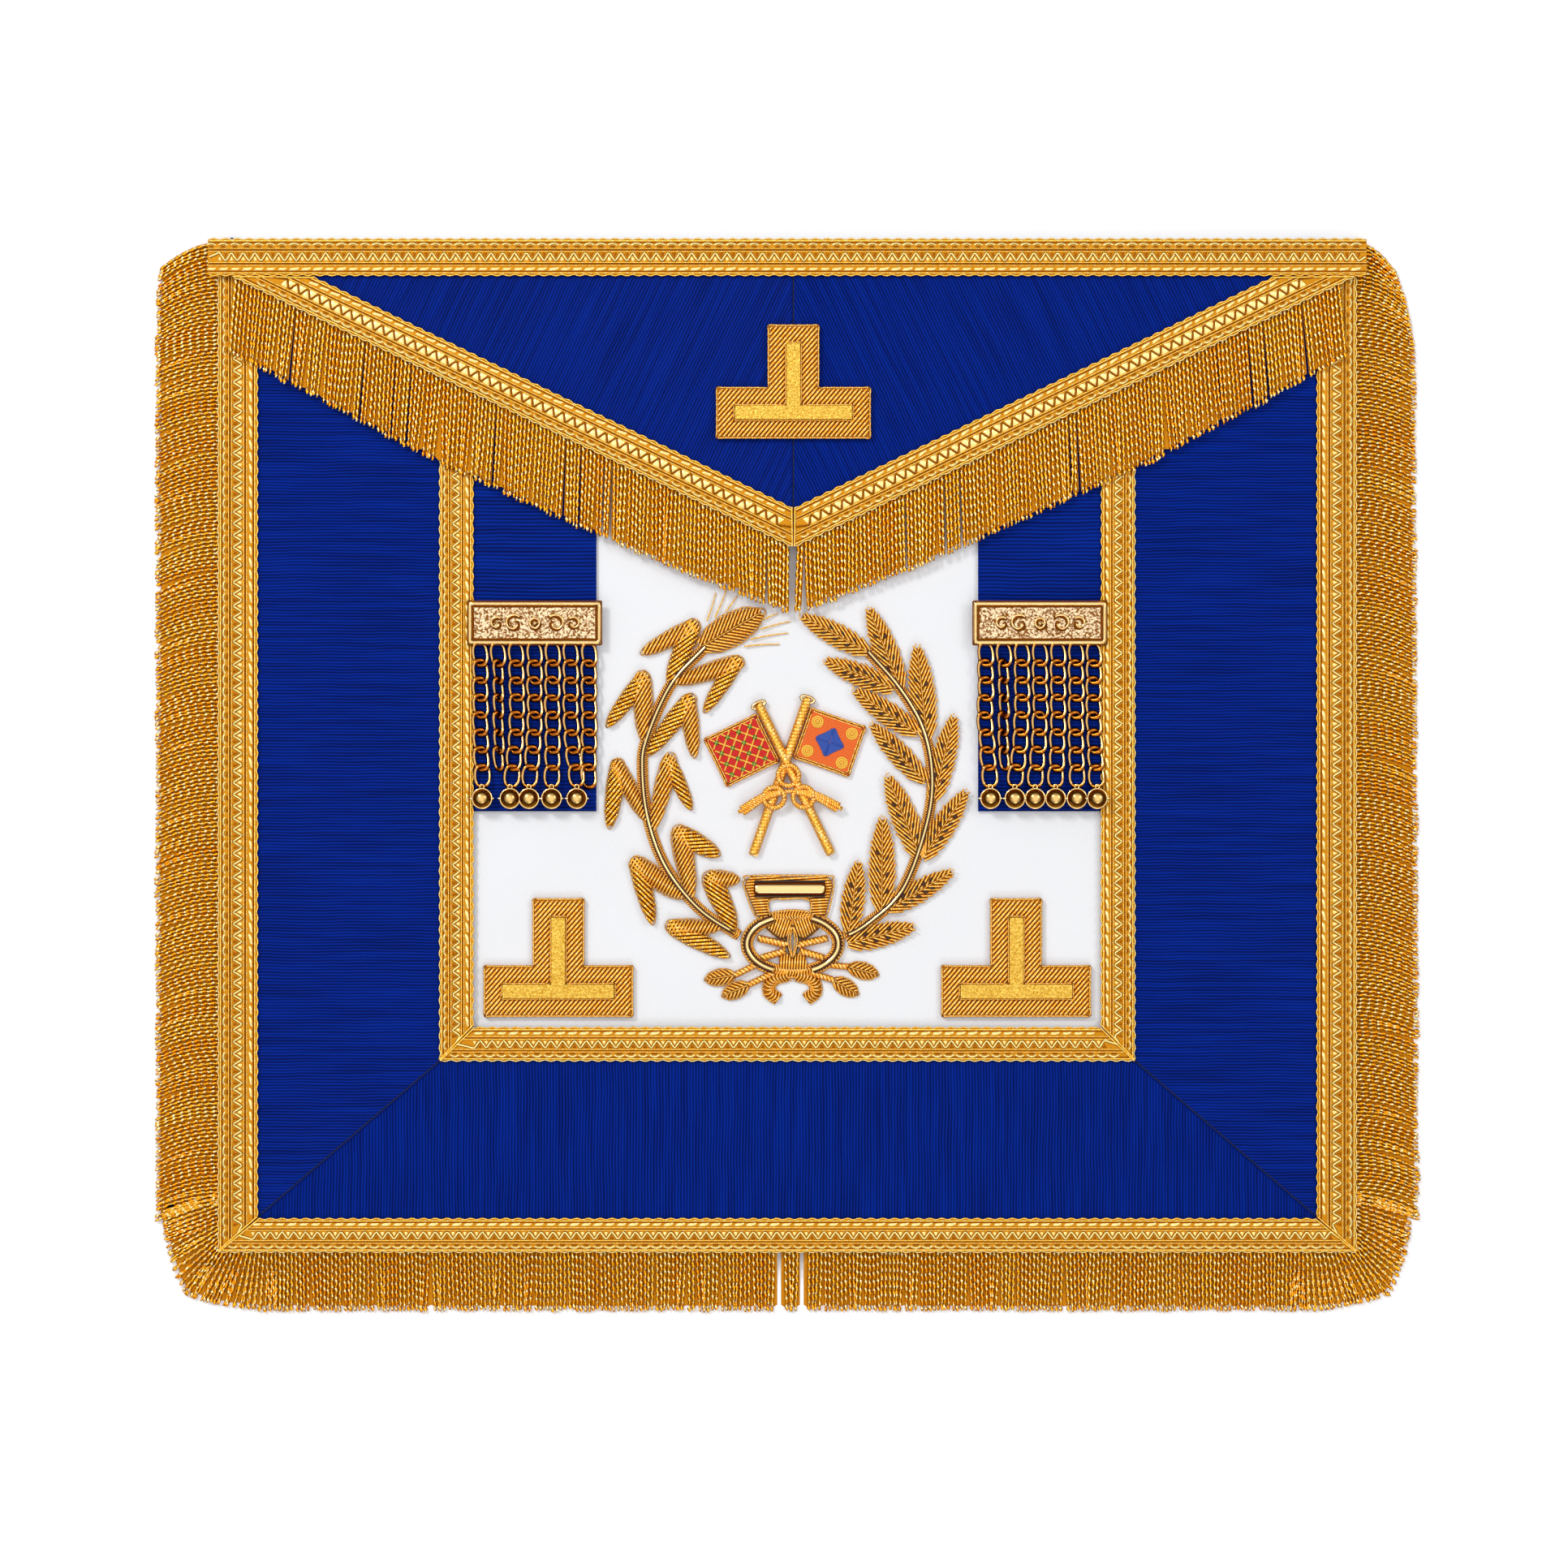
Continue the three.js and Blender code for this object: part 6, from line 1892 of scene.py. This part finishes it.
# Fold, tip and root of each folded leaf, and the widths of its two lobes as shares of a lobe's width.
FOLDED_LEAVES = (
    ((-0.657, 0.946), (-1.011, 0.787), (-0.82, 0.604), 0.94, 1.03),
    ((-0.36, 0.728), (-0.573, 0.431), (-0.777, 0.609), 0.84, 0.98),
    ((-1, 0.629), (-1.247, 0.342), (-0.99, 0.25), 0.89, 1.03),
    ((-0.685, 0.49), (-0.64, 0.153), (-0.97, 0.165), 0.89, 0.98),
    ((-1.169, 0.094), (-1.23, -0.277), (-0.975, -0.23), 0.94, 0.89),
    ((-0.815, 0.124), (-0.663, -0.163), (-0.93, -0.29), 0.79, 0.94),
    ((-0.742, -0.312), (-0.466, -0.441), (-0.66, -0.7), 1.08, 1.08),
    ((-1.034, -0.5), (-0.927, -0.861), (-0.72, -0.7), 0.94, 1.13),
    ((-0.528, -0.584), (-0.33, -0.589), (-0.36, -0.896), 0.94, 1.13),
    ((-0.781, -0.881), (-0.399, -1.059), (-0.46, -0.88), 0.98, 0.94),
)
# Root, tip and width of each plain leaf, its width as a share of a leaf's width.
RIGHT_LEAVES = (
    ((0.567, 0.792), (0.079, 1.025), 0.95), ((0.787, 0.569), (0.556, 1.079), 1.02),
    ((0.742, 0.569), (0.242, 0.752), 0.95), ((0.966, 0.262), (0.893, 0.851), 1.09),
    ((0.91, 0.292), (0.444, 0.574), 0.95), ((0.961, -0.005), (0.567, 0.371), 0.92),
    ((1.006, -0.114), (1.157, 0.426), 0.99), ((0.921, -0.46), (0.685, 0.059), 1.09),
    ((0.927, -0.47), (1.247, -0.035), 0.99), ((0.652, -0.807), (0.657, -0.193), 1.09),
    ((0.42, -0.93), (0.494, -0.465), 0.95), ((0.685, -0.777), (1.157, -0.53), 0.92),
    ((0.404, -0.98), (0.893, -0.871), 0.99),
)
AWNS = (
    ((-0.556, 0.985), (-0.506, 1.124)), ((-0.5, 1.005), (-0.433, 1.149)), ((-0.421, 1.045), (-0.36, 1.124)),
    ((-0.185, 0.936), (-0.017, 0.975)), ((-0.253, 0.876), (-0.045, 0.906)), ((-0.298, 0.832), (-0.101, 0.842)),
    ((-0.163, 0.995), (-0.084, 1.025)),
)


class Branches:
    """The wreath's two branches with their bright stem wires."""

    # Which lobes of the folded leaves are worked in shiny purl: the root's or the tip's.
    shiny = "rttrttttrt"

    def stem(self, work: Leafwork, places: Sequence, label: str) -> None:
        """A padded stem of short purl rows under a bright wire, with dark lines of painted shade at its sides."""
        path = smooth_path([Wreath.place(p) for p in places], 60)
        work.strip(path, 3.7)
        along = np.gradient(path, axis=0)
        along /= np.linalg.norm(along, axis=1)[:, None]
        across = beside(along)
        # Painted shade beside the wire.
        for side in (-1, 1):
            gap = (path + side * 0.62 * across)[::2]
            work.lines["slots"].add(raised(gap, Rise.WIRE + 0.05), 0.3)
        wire = CordLines()
        wire.add(raised(path[::3], Rise.WIRE + 0.35), 0.55)
        piece = wire.build(f"stem_wire_{label}_metal", Finish.WIRE, Cord(step=1.2, sides=8))
        dress(piece, "gilt", f"stem_wire_{label}")

    def build(self) -> None:
        """Builds both branches."""
        left = Leafwork(11)
        for (fold, tip, root, tip_width, root_width), shiny in zip(FOLDED_LEAVES, self.shiny):
            fold, tip, root = (Wreath.place(p) for p in (fold, tip, root))
            left.lobe(fold, root, root_width * Wreath.lobe_width, shiny == "r", 0.0 if shiny == "r" else 0.3)
            left.lobe(fold, tip, tip_width * Wreath.lobe_width, shiny == "t", 0.0 if shiny == "t" else 0.3)
        root, tip = Wreath.place((-0.607, 0.822)), Wreath.place((-0.157, 1.05))
        left.leaf(root, tip, 1.3 * Wreath.leaf_width, Wreath.oval_profile, steep=0.8)
        for start, end in AWNS:
            a, b = Wreath.place(start), Wreath.place(end)
            b = a + 1.25 * (b - a)
            path = raised([a, (a + b) / 2 + 0.3, b], Wreath.floor + np.array([1.0, 0.7, 0.3]))
            left.lines["wires"].add(path, [0.32, 0.26, 0.2], 0.2)
        self.stem(left, LEFT_STEM, "left")
        dress(joined("wreath_left_bullion", left.parts()), "bullion", "wreath_left")
        right = Leafwork(12)
        for k, (root, tip, width) in enumerate(RIGHT_LEAVES):
            root, tip = Wreath.place(root), Wreath.place(tip)
            right.leaf(root, tip, width * Wreath.leaf_width, Wreath.leaf_profile, slots=3 + k % 3)
        self.stem(right, RIGHT_STEM, "right")
        dress(joined("wreath_right_bullion", right.parts()), "bullion", "wreath_right")


class Standards:
    """Two crossed staffs with banners of a made-up pattern, tied by a rope knot."""

    left_staff = ((-0.197, 0.475), (0.298, -0.426))
    right_staff = ((0.14, 0.51), (-0.233, -0.431))
    banner = (21.4, 19.4)
    staff_width = 3.1
    knot_loops = ((0.008, 0.045), (-0.091, -0.089), (0.111, -0.086))
    knot_wings = ((-0.32, -0.173), (0.36, -0.153))
    knot_heart = (0.008, -0.05)

    def staffs(self) -> None:
        """The staffs as twisted rope, each with a ring for its finial."""
        ropes, rings = CordLines(), CordLines()
        for (top, foot), rise in ((self.left_staff, 1.5), (self.right_staff, 1.1)):
            a, b = Wreath.place(foot), Wreath.place(top)
            path = a + np.linspace(0, 1, 24)[:, None] * (b - a)
            ropes.rope(raised(path, Wreath.floor + rise), 1.7, 2.5)
            along = unit(b - a)
            across = np.array([-along[1], along[0]])
            t = round_turn(18)
            ring = b + across * (2.6 * np.cos(t))[:, None] + along * np.sin(t)[:, None]
            rings.add(raised(ring, Wreath.floor + 1.5), 0.5, ring=True)
        parts = [
            ropes.build("ropes", Finish.PURL, Cord(step=0.5, sides=8)),
            rings.build("rings", Finish.WIRE, Cord(step=0.7, sides=6)),
        ]
        dress(joined("crossed_staffs_bullion", parts), "bullion", "crossed_staffs")

    def build_banner(self, label: str, staff: tuple, side: int) -> None:
        """One banner: a field of floss with a made-up pattern in a gold edge."""
        top, foot = Wreath.place(staff[0]), Wreath.place(staff[1])
        along = unit(foot - top)
        across = np.array([-along[1] * side, along[0] * side])
        near = self.staff_width / 2 + 0.3
        wide, high = self.banner

        def at(u: float, v: float, z: float) -> tuple:
            """A place across and down the banner and above its floor."""
            return (*(top + along * (2.2 + v) + across * (near + u)), Wreath.floor + z)

        def box(inset: float) -> list:
            """The banner's corners, moved inwards."""
            return [(inset, inset), (wide - inset, inset), (wide - inset, high - inset), (inset, high - inset)]

        parts = []
        if label == "left":
            field, motif, dots = Finish.FLOSS_RED, Finish.FLOSS_YELLOW, Finish.FLOSS_GREEN
        else:
            field, motif, dots = Finish.FLOSS_ORANGE, Finish.FLOSS_BLUE, Finish.FLOSS_YELLOW
        rows = CordLines()
        for v in np.arange(1.5, high - 1.2, 0.62):
            rows.add([at(u, v, 0.85) for u in np.linspace(1.4, wide - 1.4, 6)], 0.36, 0.0)
        parts.append(rows.build("field", field, Cord(step=2.5, sides=4)))
        lattice, discs = CordLines(), CordLines()
        if label == "left":
            for k in range(-4, 8):
                for lean in (-1, 1):
                    line = [(k * 4.4 + 2.2 + lean * s, 9.7 + s) for s in np.linspace(-8.2, 8.2, 24)]
                    run = [(u, v) for u, v in line if 1.4 < u < wide - 1.4]
                    if len(run) > 3:
                        lattice.add([at(u, v, 1.15) for u, v in run], 0.3, 0.1)
            for i in range(4):
                for j in range(4):
                    spot = (4.4 * i + 4.4, 4.2 * j + 3.4)
                    if 2.2 < spot[0] < wide - 2.2 and 2.2 < spot[1] < high - 2.2:
                        discs.add([at(u, v, 1.2) for u, v in spot + circle(0.55, 8)], 0.42, ring=True)
        else:
            for r in np.arange(0.7, 5.6, 0.62):
                path = (wide / 2, high / 2) + closed_line(circle(r, 4), 4)
                lattice.add([at(u, v, 1.15) for u, v in path], 0.36, ring=True)
            for x in (4.2, wide - 4.2):
                for y in (4.2, high - 4.2):
                    for r in (0.5, 1.2, 1.9):
                        discs.add([at(u, v, 1.15) for u, v in (x, y) + circle(r, 10)], 0.36, ring=True)
        parts.append(lattice.build("motif", motif, Cord(step=0.8, sides=4)))
        parts.append(discs.build("dots", dots, Cord(step=0.7, sides=4)))
        edge = CordLines()
        for inset, radius in ((0.45, 0.5), (1.25, 0.42)):
            edge.add([at(u, v, 1.0) for u, v in closed_line(box(inset), 9)], radius, 0.1, ring=True)
        parts.append(edge.build("edge", Finish.PURL, Cord(step=0.7, sides=5, flat=0.3, turn=0.9)))
        base = Draft()
        corners = [at(u, v, 0)[:2] for u, v in box(0.3)]
        turned = np.cross(np.subtract(corners[1], corners[0]), np.subtract(corners[2], corners[1])) < 0
        base.slab(corners[::-1] if turned else corners, Wreath.floor, 0.7)
        parts.append(base.build("base", field, smooth=False))
        dress(joined(f"banner_{label}_floss", parts), "banner", f"banner_{label}")

    def knot(self) -> None:
        """Three loops of rope, with two pairs of twisted ends that go out and down."""
        ropes = CordLines()
        floor = float(Rise.WIRE)
        t = np.linspace(0, math.tau, 24)
        for k, loop in enumerate(self.knot_loops):
            ring = Wreath.place(loop) + np.column_stack([3.7 * np.cos(t), 3.7 * np.sin(t)])
            ropes.rope(np.column_stack([ring, floor + 0.8 + 0.35 * np.sin(2 * t + k)]), 0.95, 2.0)
        heart = Wreath.place(self.knot_heart)
        for wing in self.knot_wings:
            tip = Wreath.place(wing)
            for drop, reach in ((1.2, 1.0), (0.0, 1.04), (-1.2, 0.94)):
                end = heart + reach * (tip - heart) + (0, drop)
                bend = heart + 0.5 * (end - heart) + (0, 1.6 + 0.2 * drop)
                path = smooth_path([(*heart, floor + 0.7), (*bend, floor + 0.8), (*end, floor + 0.5)], 16)
                ropes.rope(path, 0.8, 1.9)
        piece = ropes.build("rope_knot_bullion", Finish.PURL, Cord(step=0.4, sides=7))
        dress(piece, "bullion", "rope_knot")

    def build(self) -> None:
        """Builds the staffs, banners and knot."""
        self.staffs()
        self.build_banner("left", self.left_staff, -1)
        self.build_banner("right", self.right_staff, 1)
        self.knot()


class Clasp:
    """The emblem at the wreath's foot: a frame with a bar, a ring with petals and ropes, hooks and sprigs."""

    frame_corners = (
        (-0.255, -0.565), (-0.29, -0.59), (-0.3, -0.63), (-0.22, -0.81), (-0.12, -0.83), (-0.118, -0.713),
        (0.147, -0.713), (0.16, -0.83), (0.27, -0.81), (0.32, -0.63), (0.31, -0.59), (0.275, -0.565),
    )
    ring_middle = (0.037, -0.98)
    ring = (18.6, 12.4)
    ring_width = 4.6
    # Places from the ring's middle, in millimetres: a petal and the block below the bud, both about the middle line.
    petal = ((-6.4, 10.6), (-0.3, 8.6), (-0.6, 3.0), (-4.3, 1.8), (-9.4, 5.6), (-6.6, 7.8))
    block = ((-5.0, -10.0), (-4.8, -4.2), (-1.6, -3.2), (0.0, -4.8), (1.6, -3.2), (4.8, -4.2), (5.0, -10.0))
    bud = ((0.0, 6.4), (-1.4, 3.2), (-1.6, 0.2), (0.0, -4.9), (1.6, 0.2), (1.4, 3.2))
    ropes = (((-12.2, 2.0), (-1.9, -0.4)), ((-11.0, -5.0), (-2.8, -2.6)))
    hooks = (
        ((0.0, -1.17), (-0.1, -1.2), (-0.125, -1.27), (-0.06, -1.32)),
        ((0.07, -1.17), (0.17, -1.2), (0.195, -1.27), (0.13, -1.32)),
    )
    purl = Purl(0.98, 0.45, arch=0.4)
    sprigs = (
        ((-0.22, -1.11), (-0.36, -1.17), (-0.57, -1.2)), ((-0.1, -1.16), (-0.27, -1.23), (-0.45, -1.3)),
        ((0.3, -1.11), (0.42, -1.12), (0.63, -1.17)), ((0.17, -1.16), (0.32, -1.2), (0.49, -1.29)),
    )
    bar = (25.8, 4.4)
    bar_middle = (0.017, -0.645)

    def arc(self, half_x: float, half_y: float, start: float, end: float, count: int) -> np.ndarray:
        """Points of an ellipse round the ring's middle, from one turn to another in half turns."""
        t = np.linspace(start, end, count) * math.pi
        return Wreath.place(self.ring_middle) + np.column_stack([half_x * np.cos(t), half_y * np.sin(t)])

    def inside(self, work: Leafwork) -> None:
        """The petals, bud, block and ropes inside the ring."""
        middle = Wreath.place(self.ring_middle)
        rows, cords = work.lines["rows"], work.lines["cords"]
        for side in (-1, 1):
            petal = middle + np.array(self.petal) * (-side, 1)
            self.purl.fill(rows, [petal], (-side * 0.35, 1.0), even(Wreath.floor + 1.4), work.chance)
            work.pads.slab(petal[::side], Wreath.floor, 1.3)
            # Painted shade along part of the petal's edge.
            work.lines["slots"].add(raised(petal[2:5], Wreath.floor + 1.75), 0.2)
            cords.add(raised(petal, Wreath.floor + 1.2), 0.3, 0.2, ring=True)
            for start, end in self.ropes:
                a, b = (middle + np.array(p) * (-side, 1) for p in (start, end))
                path = raised(a + np.linspace(0, 1, 8)[:, None] * (b - a), Wreath.floor + 1.1)
                work.lines["ropes"].rope(path, 1.35, 2.8)
        block, bud = (middle + np.array(p) for p in (self.block, self.bud))
        self.purl.fill(rows, [block], (0.08, 1.0), even(Wreath.floor + 1.2), work.chance)
        work.pads.slab(block[::-1], Wreath.floor, 1.1)
        # The first ring is dark, as painted shade round the bud.
        for grow, radius, key, z in ((1.25, 0.4, "slots", 1.5), (1.0, 0.42, "cords", 1.9), (0.45, 0.4, "cords", 1.9)):
            ring = bud.mean(0) + (bud - bud.mean(0)) * (grow, 1)
            work.lines[key].add(raised(ring, Wreath.floor + z), radius, 0.2, ring=True)

    def build_bar(self) -> bpy.types.Object:
        """The polished bar, flat below and rounded above."""
        middle = Wreath.place(self.bar_middle)
        taper = np.array([0.0, 0.15, 0.8, 1.8])
        x = np.concatenate([taper, np.linspace(4, self.bar[0] - 4, 6), self.bar[0] - taper[::-1]])
        girth = np.interp(np.minimum(x, self.bar[0] - x), taper, (0.05, 0.7, 0.94, 1.0))
        t = np.linspace(math.pi, 0, 17)
        grid = np.zeros((len(x), 17, 3))
        grid[..., 0] = (middle[0] - self.bar[0] / 2 + x)[:, None]
        grid[..., 1] = middle[1] - girth[:, None] * self.bar[1] / 2 * np.cos(t[::-1])
        grid[..., 2] = Rise.WIRE + girth[:, None] * 1.45 * np.sin(t)
        draft = Draft()
        draft.grid(grid)
        return draft.build("clasp_bar_metal", Finish.BAR)

    def build(self) -> None:
        """Builds the whole emblem."""
        work = Leafwork(21)
        rows, cords, slots = work.lines["rows"], work.lines["cords"], work.lines["slots"]
        corners = np.array([Wreath.place(p) for p in self.frame_corners])
        inside, heights = offset_outline(corners, 0.3), even(Wreath.floor + 1.15)
        Purl(1.0, 0.44, arch=0.2).fill(rows, [inside], (1.0, 0.06), heights, work.chance)
        work.pads.slab(inside, Wreath.floor, 1.05)
        cords.add(raised(corners, Wreath.floor + 1.2), 0.42, 0.1, ring=True)
        middle, mid = Wreath.place(self.bar_middle), self.ring_width / 2
        # Painted shade: two dark rows above and two below the bar.
        for side in (-1, 1):
            for out in (2.0, 2.7):
                x = middle[0] + np.linspace(-12.6, 12.6, 9)
                spots = np.column_stack([x, np.full(9, middle[1] + side * out)])
                slots.add(raised(spots, Wreath.floor + 1.65), 0.45)
        for start, end in ((0.12, 0.88), (1.12, 1.88), (-0.12, 0.12), (0.88, 1.12)):
            work.strip(self.arc(self.ring[0] - mid, self.ring[1] - mid, start, end, 30), 4.2, 1.0, 1.5)
        for grow in (0.0, self.ring_width - 0.9):
            loop = self.arc(self.ring[0] - 0.45 - grow, self.ring[1] - 0.45 - grow, 0, 2, 37)[:-1]
            cords.add(raised(loop, Wreath.floor + 0.7), 0.42, 0.3, ring=True)
        self.inside(work)
        for hook in self.hooks:
            work.strip(smooth_path([Wreath.place(p) for p in hook], 24), 4.7, 1.15, 1.8)
        for root, joint, tip in self.sprigs:
            a, b, c = (Wreath.place(p) for p in (root, joint, tip))
            stalk = raised(a + np.linspace(0, 1, 6)[:, None] * (b - a), Wreath.floor + 0.9)
            work.lines["ropes"].rope(stalk, 1.2, 2.8)
            work.leaf(b, c, 0.9 * Wreath.lobe_width, Wreath.oval_profile, 1.5, steep=0.9)
        wires = []
        for label, turn in (("left", 1), ("right", 0)):
            path = self.arc(self.ring[0] - mid, self.ring[1] - mid, turn - 0.36, turn + 0.36, 16)
            # Painted shade on both sides of each wire.
            for shift in (-0.95, 0.95):
                gap = self.arc(self.ring[0] - mid + shift, self.ring[1] - mid + shift, turn - 0.36, turn + 0.36, 24)
                slots.add(raised(gap, Wreath.floor + 1.85), 0.35)
            wire = CordLines()
            wire.add(raised(path, Rise.WIRE + 0.5), 0.8)
            wires.append((wire.build(f"clasp_wire_{label}_metal", Finish.WIRE, Cord(step=0.9, sides=10)), label))
        dress(joined("clasp_bullion", work.parts()), "bullion", "clasp")
        for piece, label in wires:
            dress(piece, "gilt", f"clasp_wire_{label}")
        dress(self.build_bar(), "gilt", "clasp_bar")


# Studio


@dataclass
class Studio:
    """A white table under soft boxes, and a long lens straight above it."""

    target: tuple = (-1.15, -3.68)
    frame_width: float = 561.0
    lens: float = 100.0
    sensor: float = 36.0

    def floor(self) -> None:
        """The white table."""
        size = 3.0
        mesh = bpy.data.meshes.new("table")
        mesh.from_pydata([(-size, -size, 0), (size, -size, 0), (size, size, 0), (-size, size, 0)], [], [(0, 1, 2, 3)])
        mesh.materials.append(WARDROBE[Finish.TABLE])
        put("table", mesh)

    def lamp(self, name: str, place: Sequence, size: tuple, power: float) -> None:
        """A soft box that faces the apron."""
        data = bpy.data.lights.new(name, "AREA")
        data.shape, data.size, data.size_y = "RECTANGLE", *size
        data.energy = power
        lamp = put(name, data)
        lamp.location = place
        lamp.rotation_mode = "QUATERNION"
        lamp.rotation_quaternion = (-Vector(place)).to_track_quat("-Z", "Y")

    def world(self) -> None:
        """A dark surround that is bright overhead."""
        world = bpy.data.worlds.new("surround")
        world.use_nodes = True
        tree = world.node_tree
        up = split(tree, add_node(tree, "ShaderNodeTexCoord").outputs["Generated"])[2]
        share = maths(tree, "MULTIPLY_ADD", up, 1.3, -0.2, clamp=True)
        colour = mix_colour(tree, share, (0.08, 0.08, 0.08), (1.15, 1.15, 1.16))
        tree.links.new(colour, tree.nodes["Background"].inputs["Color"])
        tree.nodes["Background"].inputs["Strength"].default_value = 1.0
        bpy.context.scene.world = world

    def camera(self) -> None:
        """The camera, straight above."""
        data = bpy.data.cameras.new("camera")
        data.lens, data.sensor_width = self.lens, self.sensor
        distance = self.frame_width * MM * self.lens / self.sensor
        data.clip_start, data.clip_end = 0.1, 10.0
        camera = put("camera", data)
        camera.location = (self.target[0] * MM, self.target[1] * MM, distance)
        bpy.context.scene.camera = camera

    def build(self) -> None:
        """Builds the studio."""
        self.floor()
        self.world()
        self.camera()
        self.lamp("key", (-0.9, 0.9, 1.3), (0.35, 0.35), 12)
        self.lamp("fill", (1.1, 0.5, 1.2), (0.6, 0.4), 4)
        self.lamp("low", (0.2, -1.3, 1.0), (0.8, 0.3), 3)
        scene = bpy.context.scene
        scene.view_settings.view_transform = "Standard"
        scene.view_settings.look = "None"


def main() -> None:
    """Builds the apron's looks and the studio."""
    Body().build()
    Lace().build()
    Fringes().build()
    Tassel(Side.LEFT, LEFT_CHAINS).build()
    Tassel(Side.RIGHT, RIGHT_CHAINS).build()
    flap_foot, side_foot = 24.5 - FLAP_DEPTH, 3.4 - WINDOW_FOOT
    Level("flap", FLAP_OFFSET, flap_foot, 55.5, 41, Rise.FLAP + CLOTH + 0.25).build()
    for side in Side:
        Level(side.label, side.value * (HALF_WINDOW - 30.3), side_foot, 53.7, 42.7, float(Rise.CLOTH)).build()
    Branches().build()
    Standards().build()
    Clasp().build()
    Studio().build()


if __name__ == "__main__":
    main()
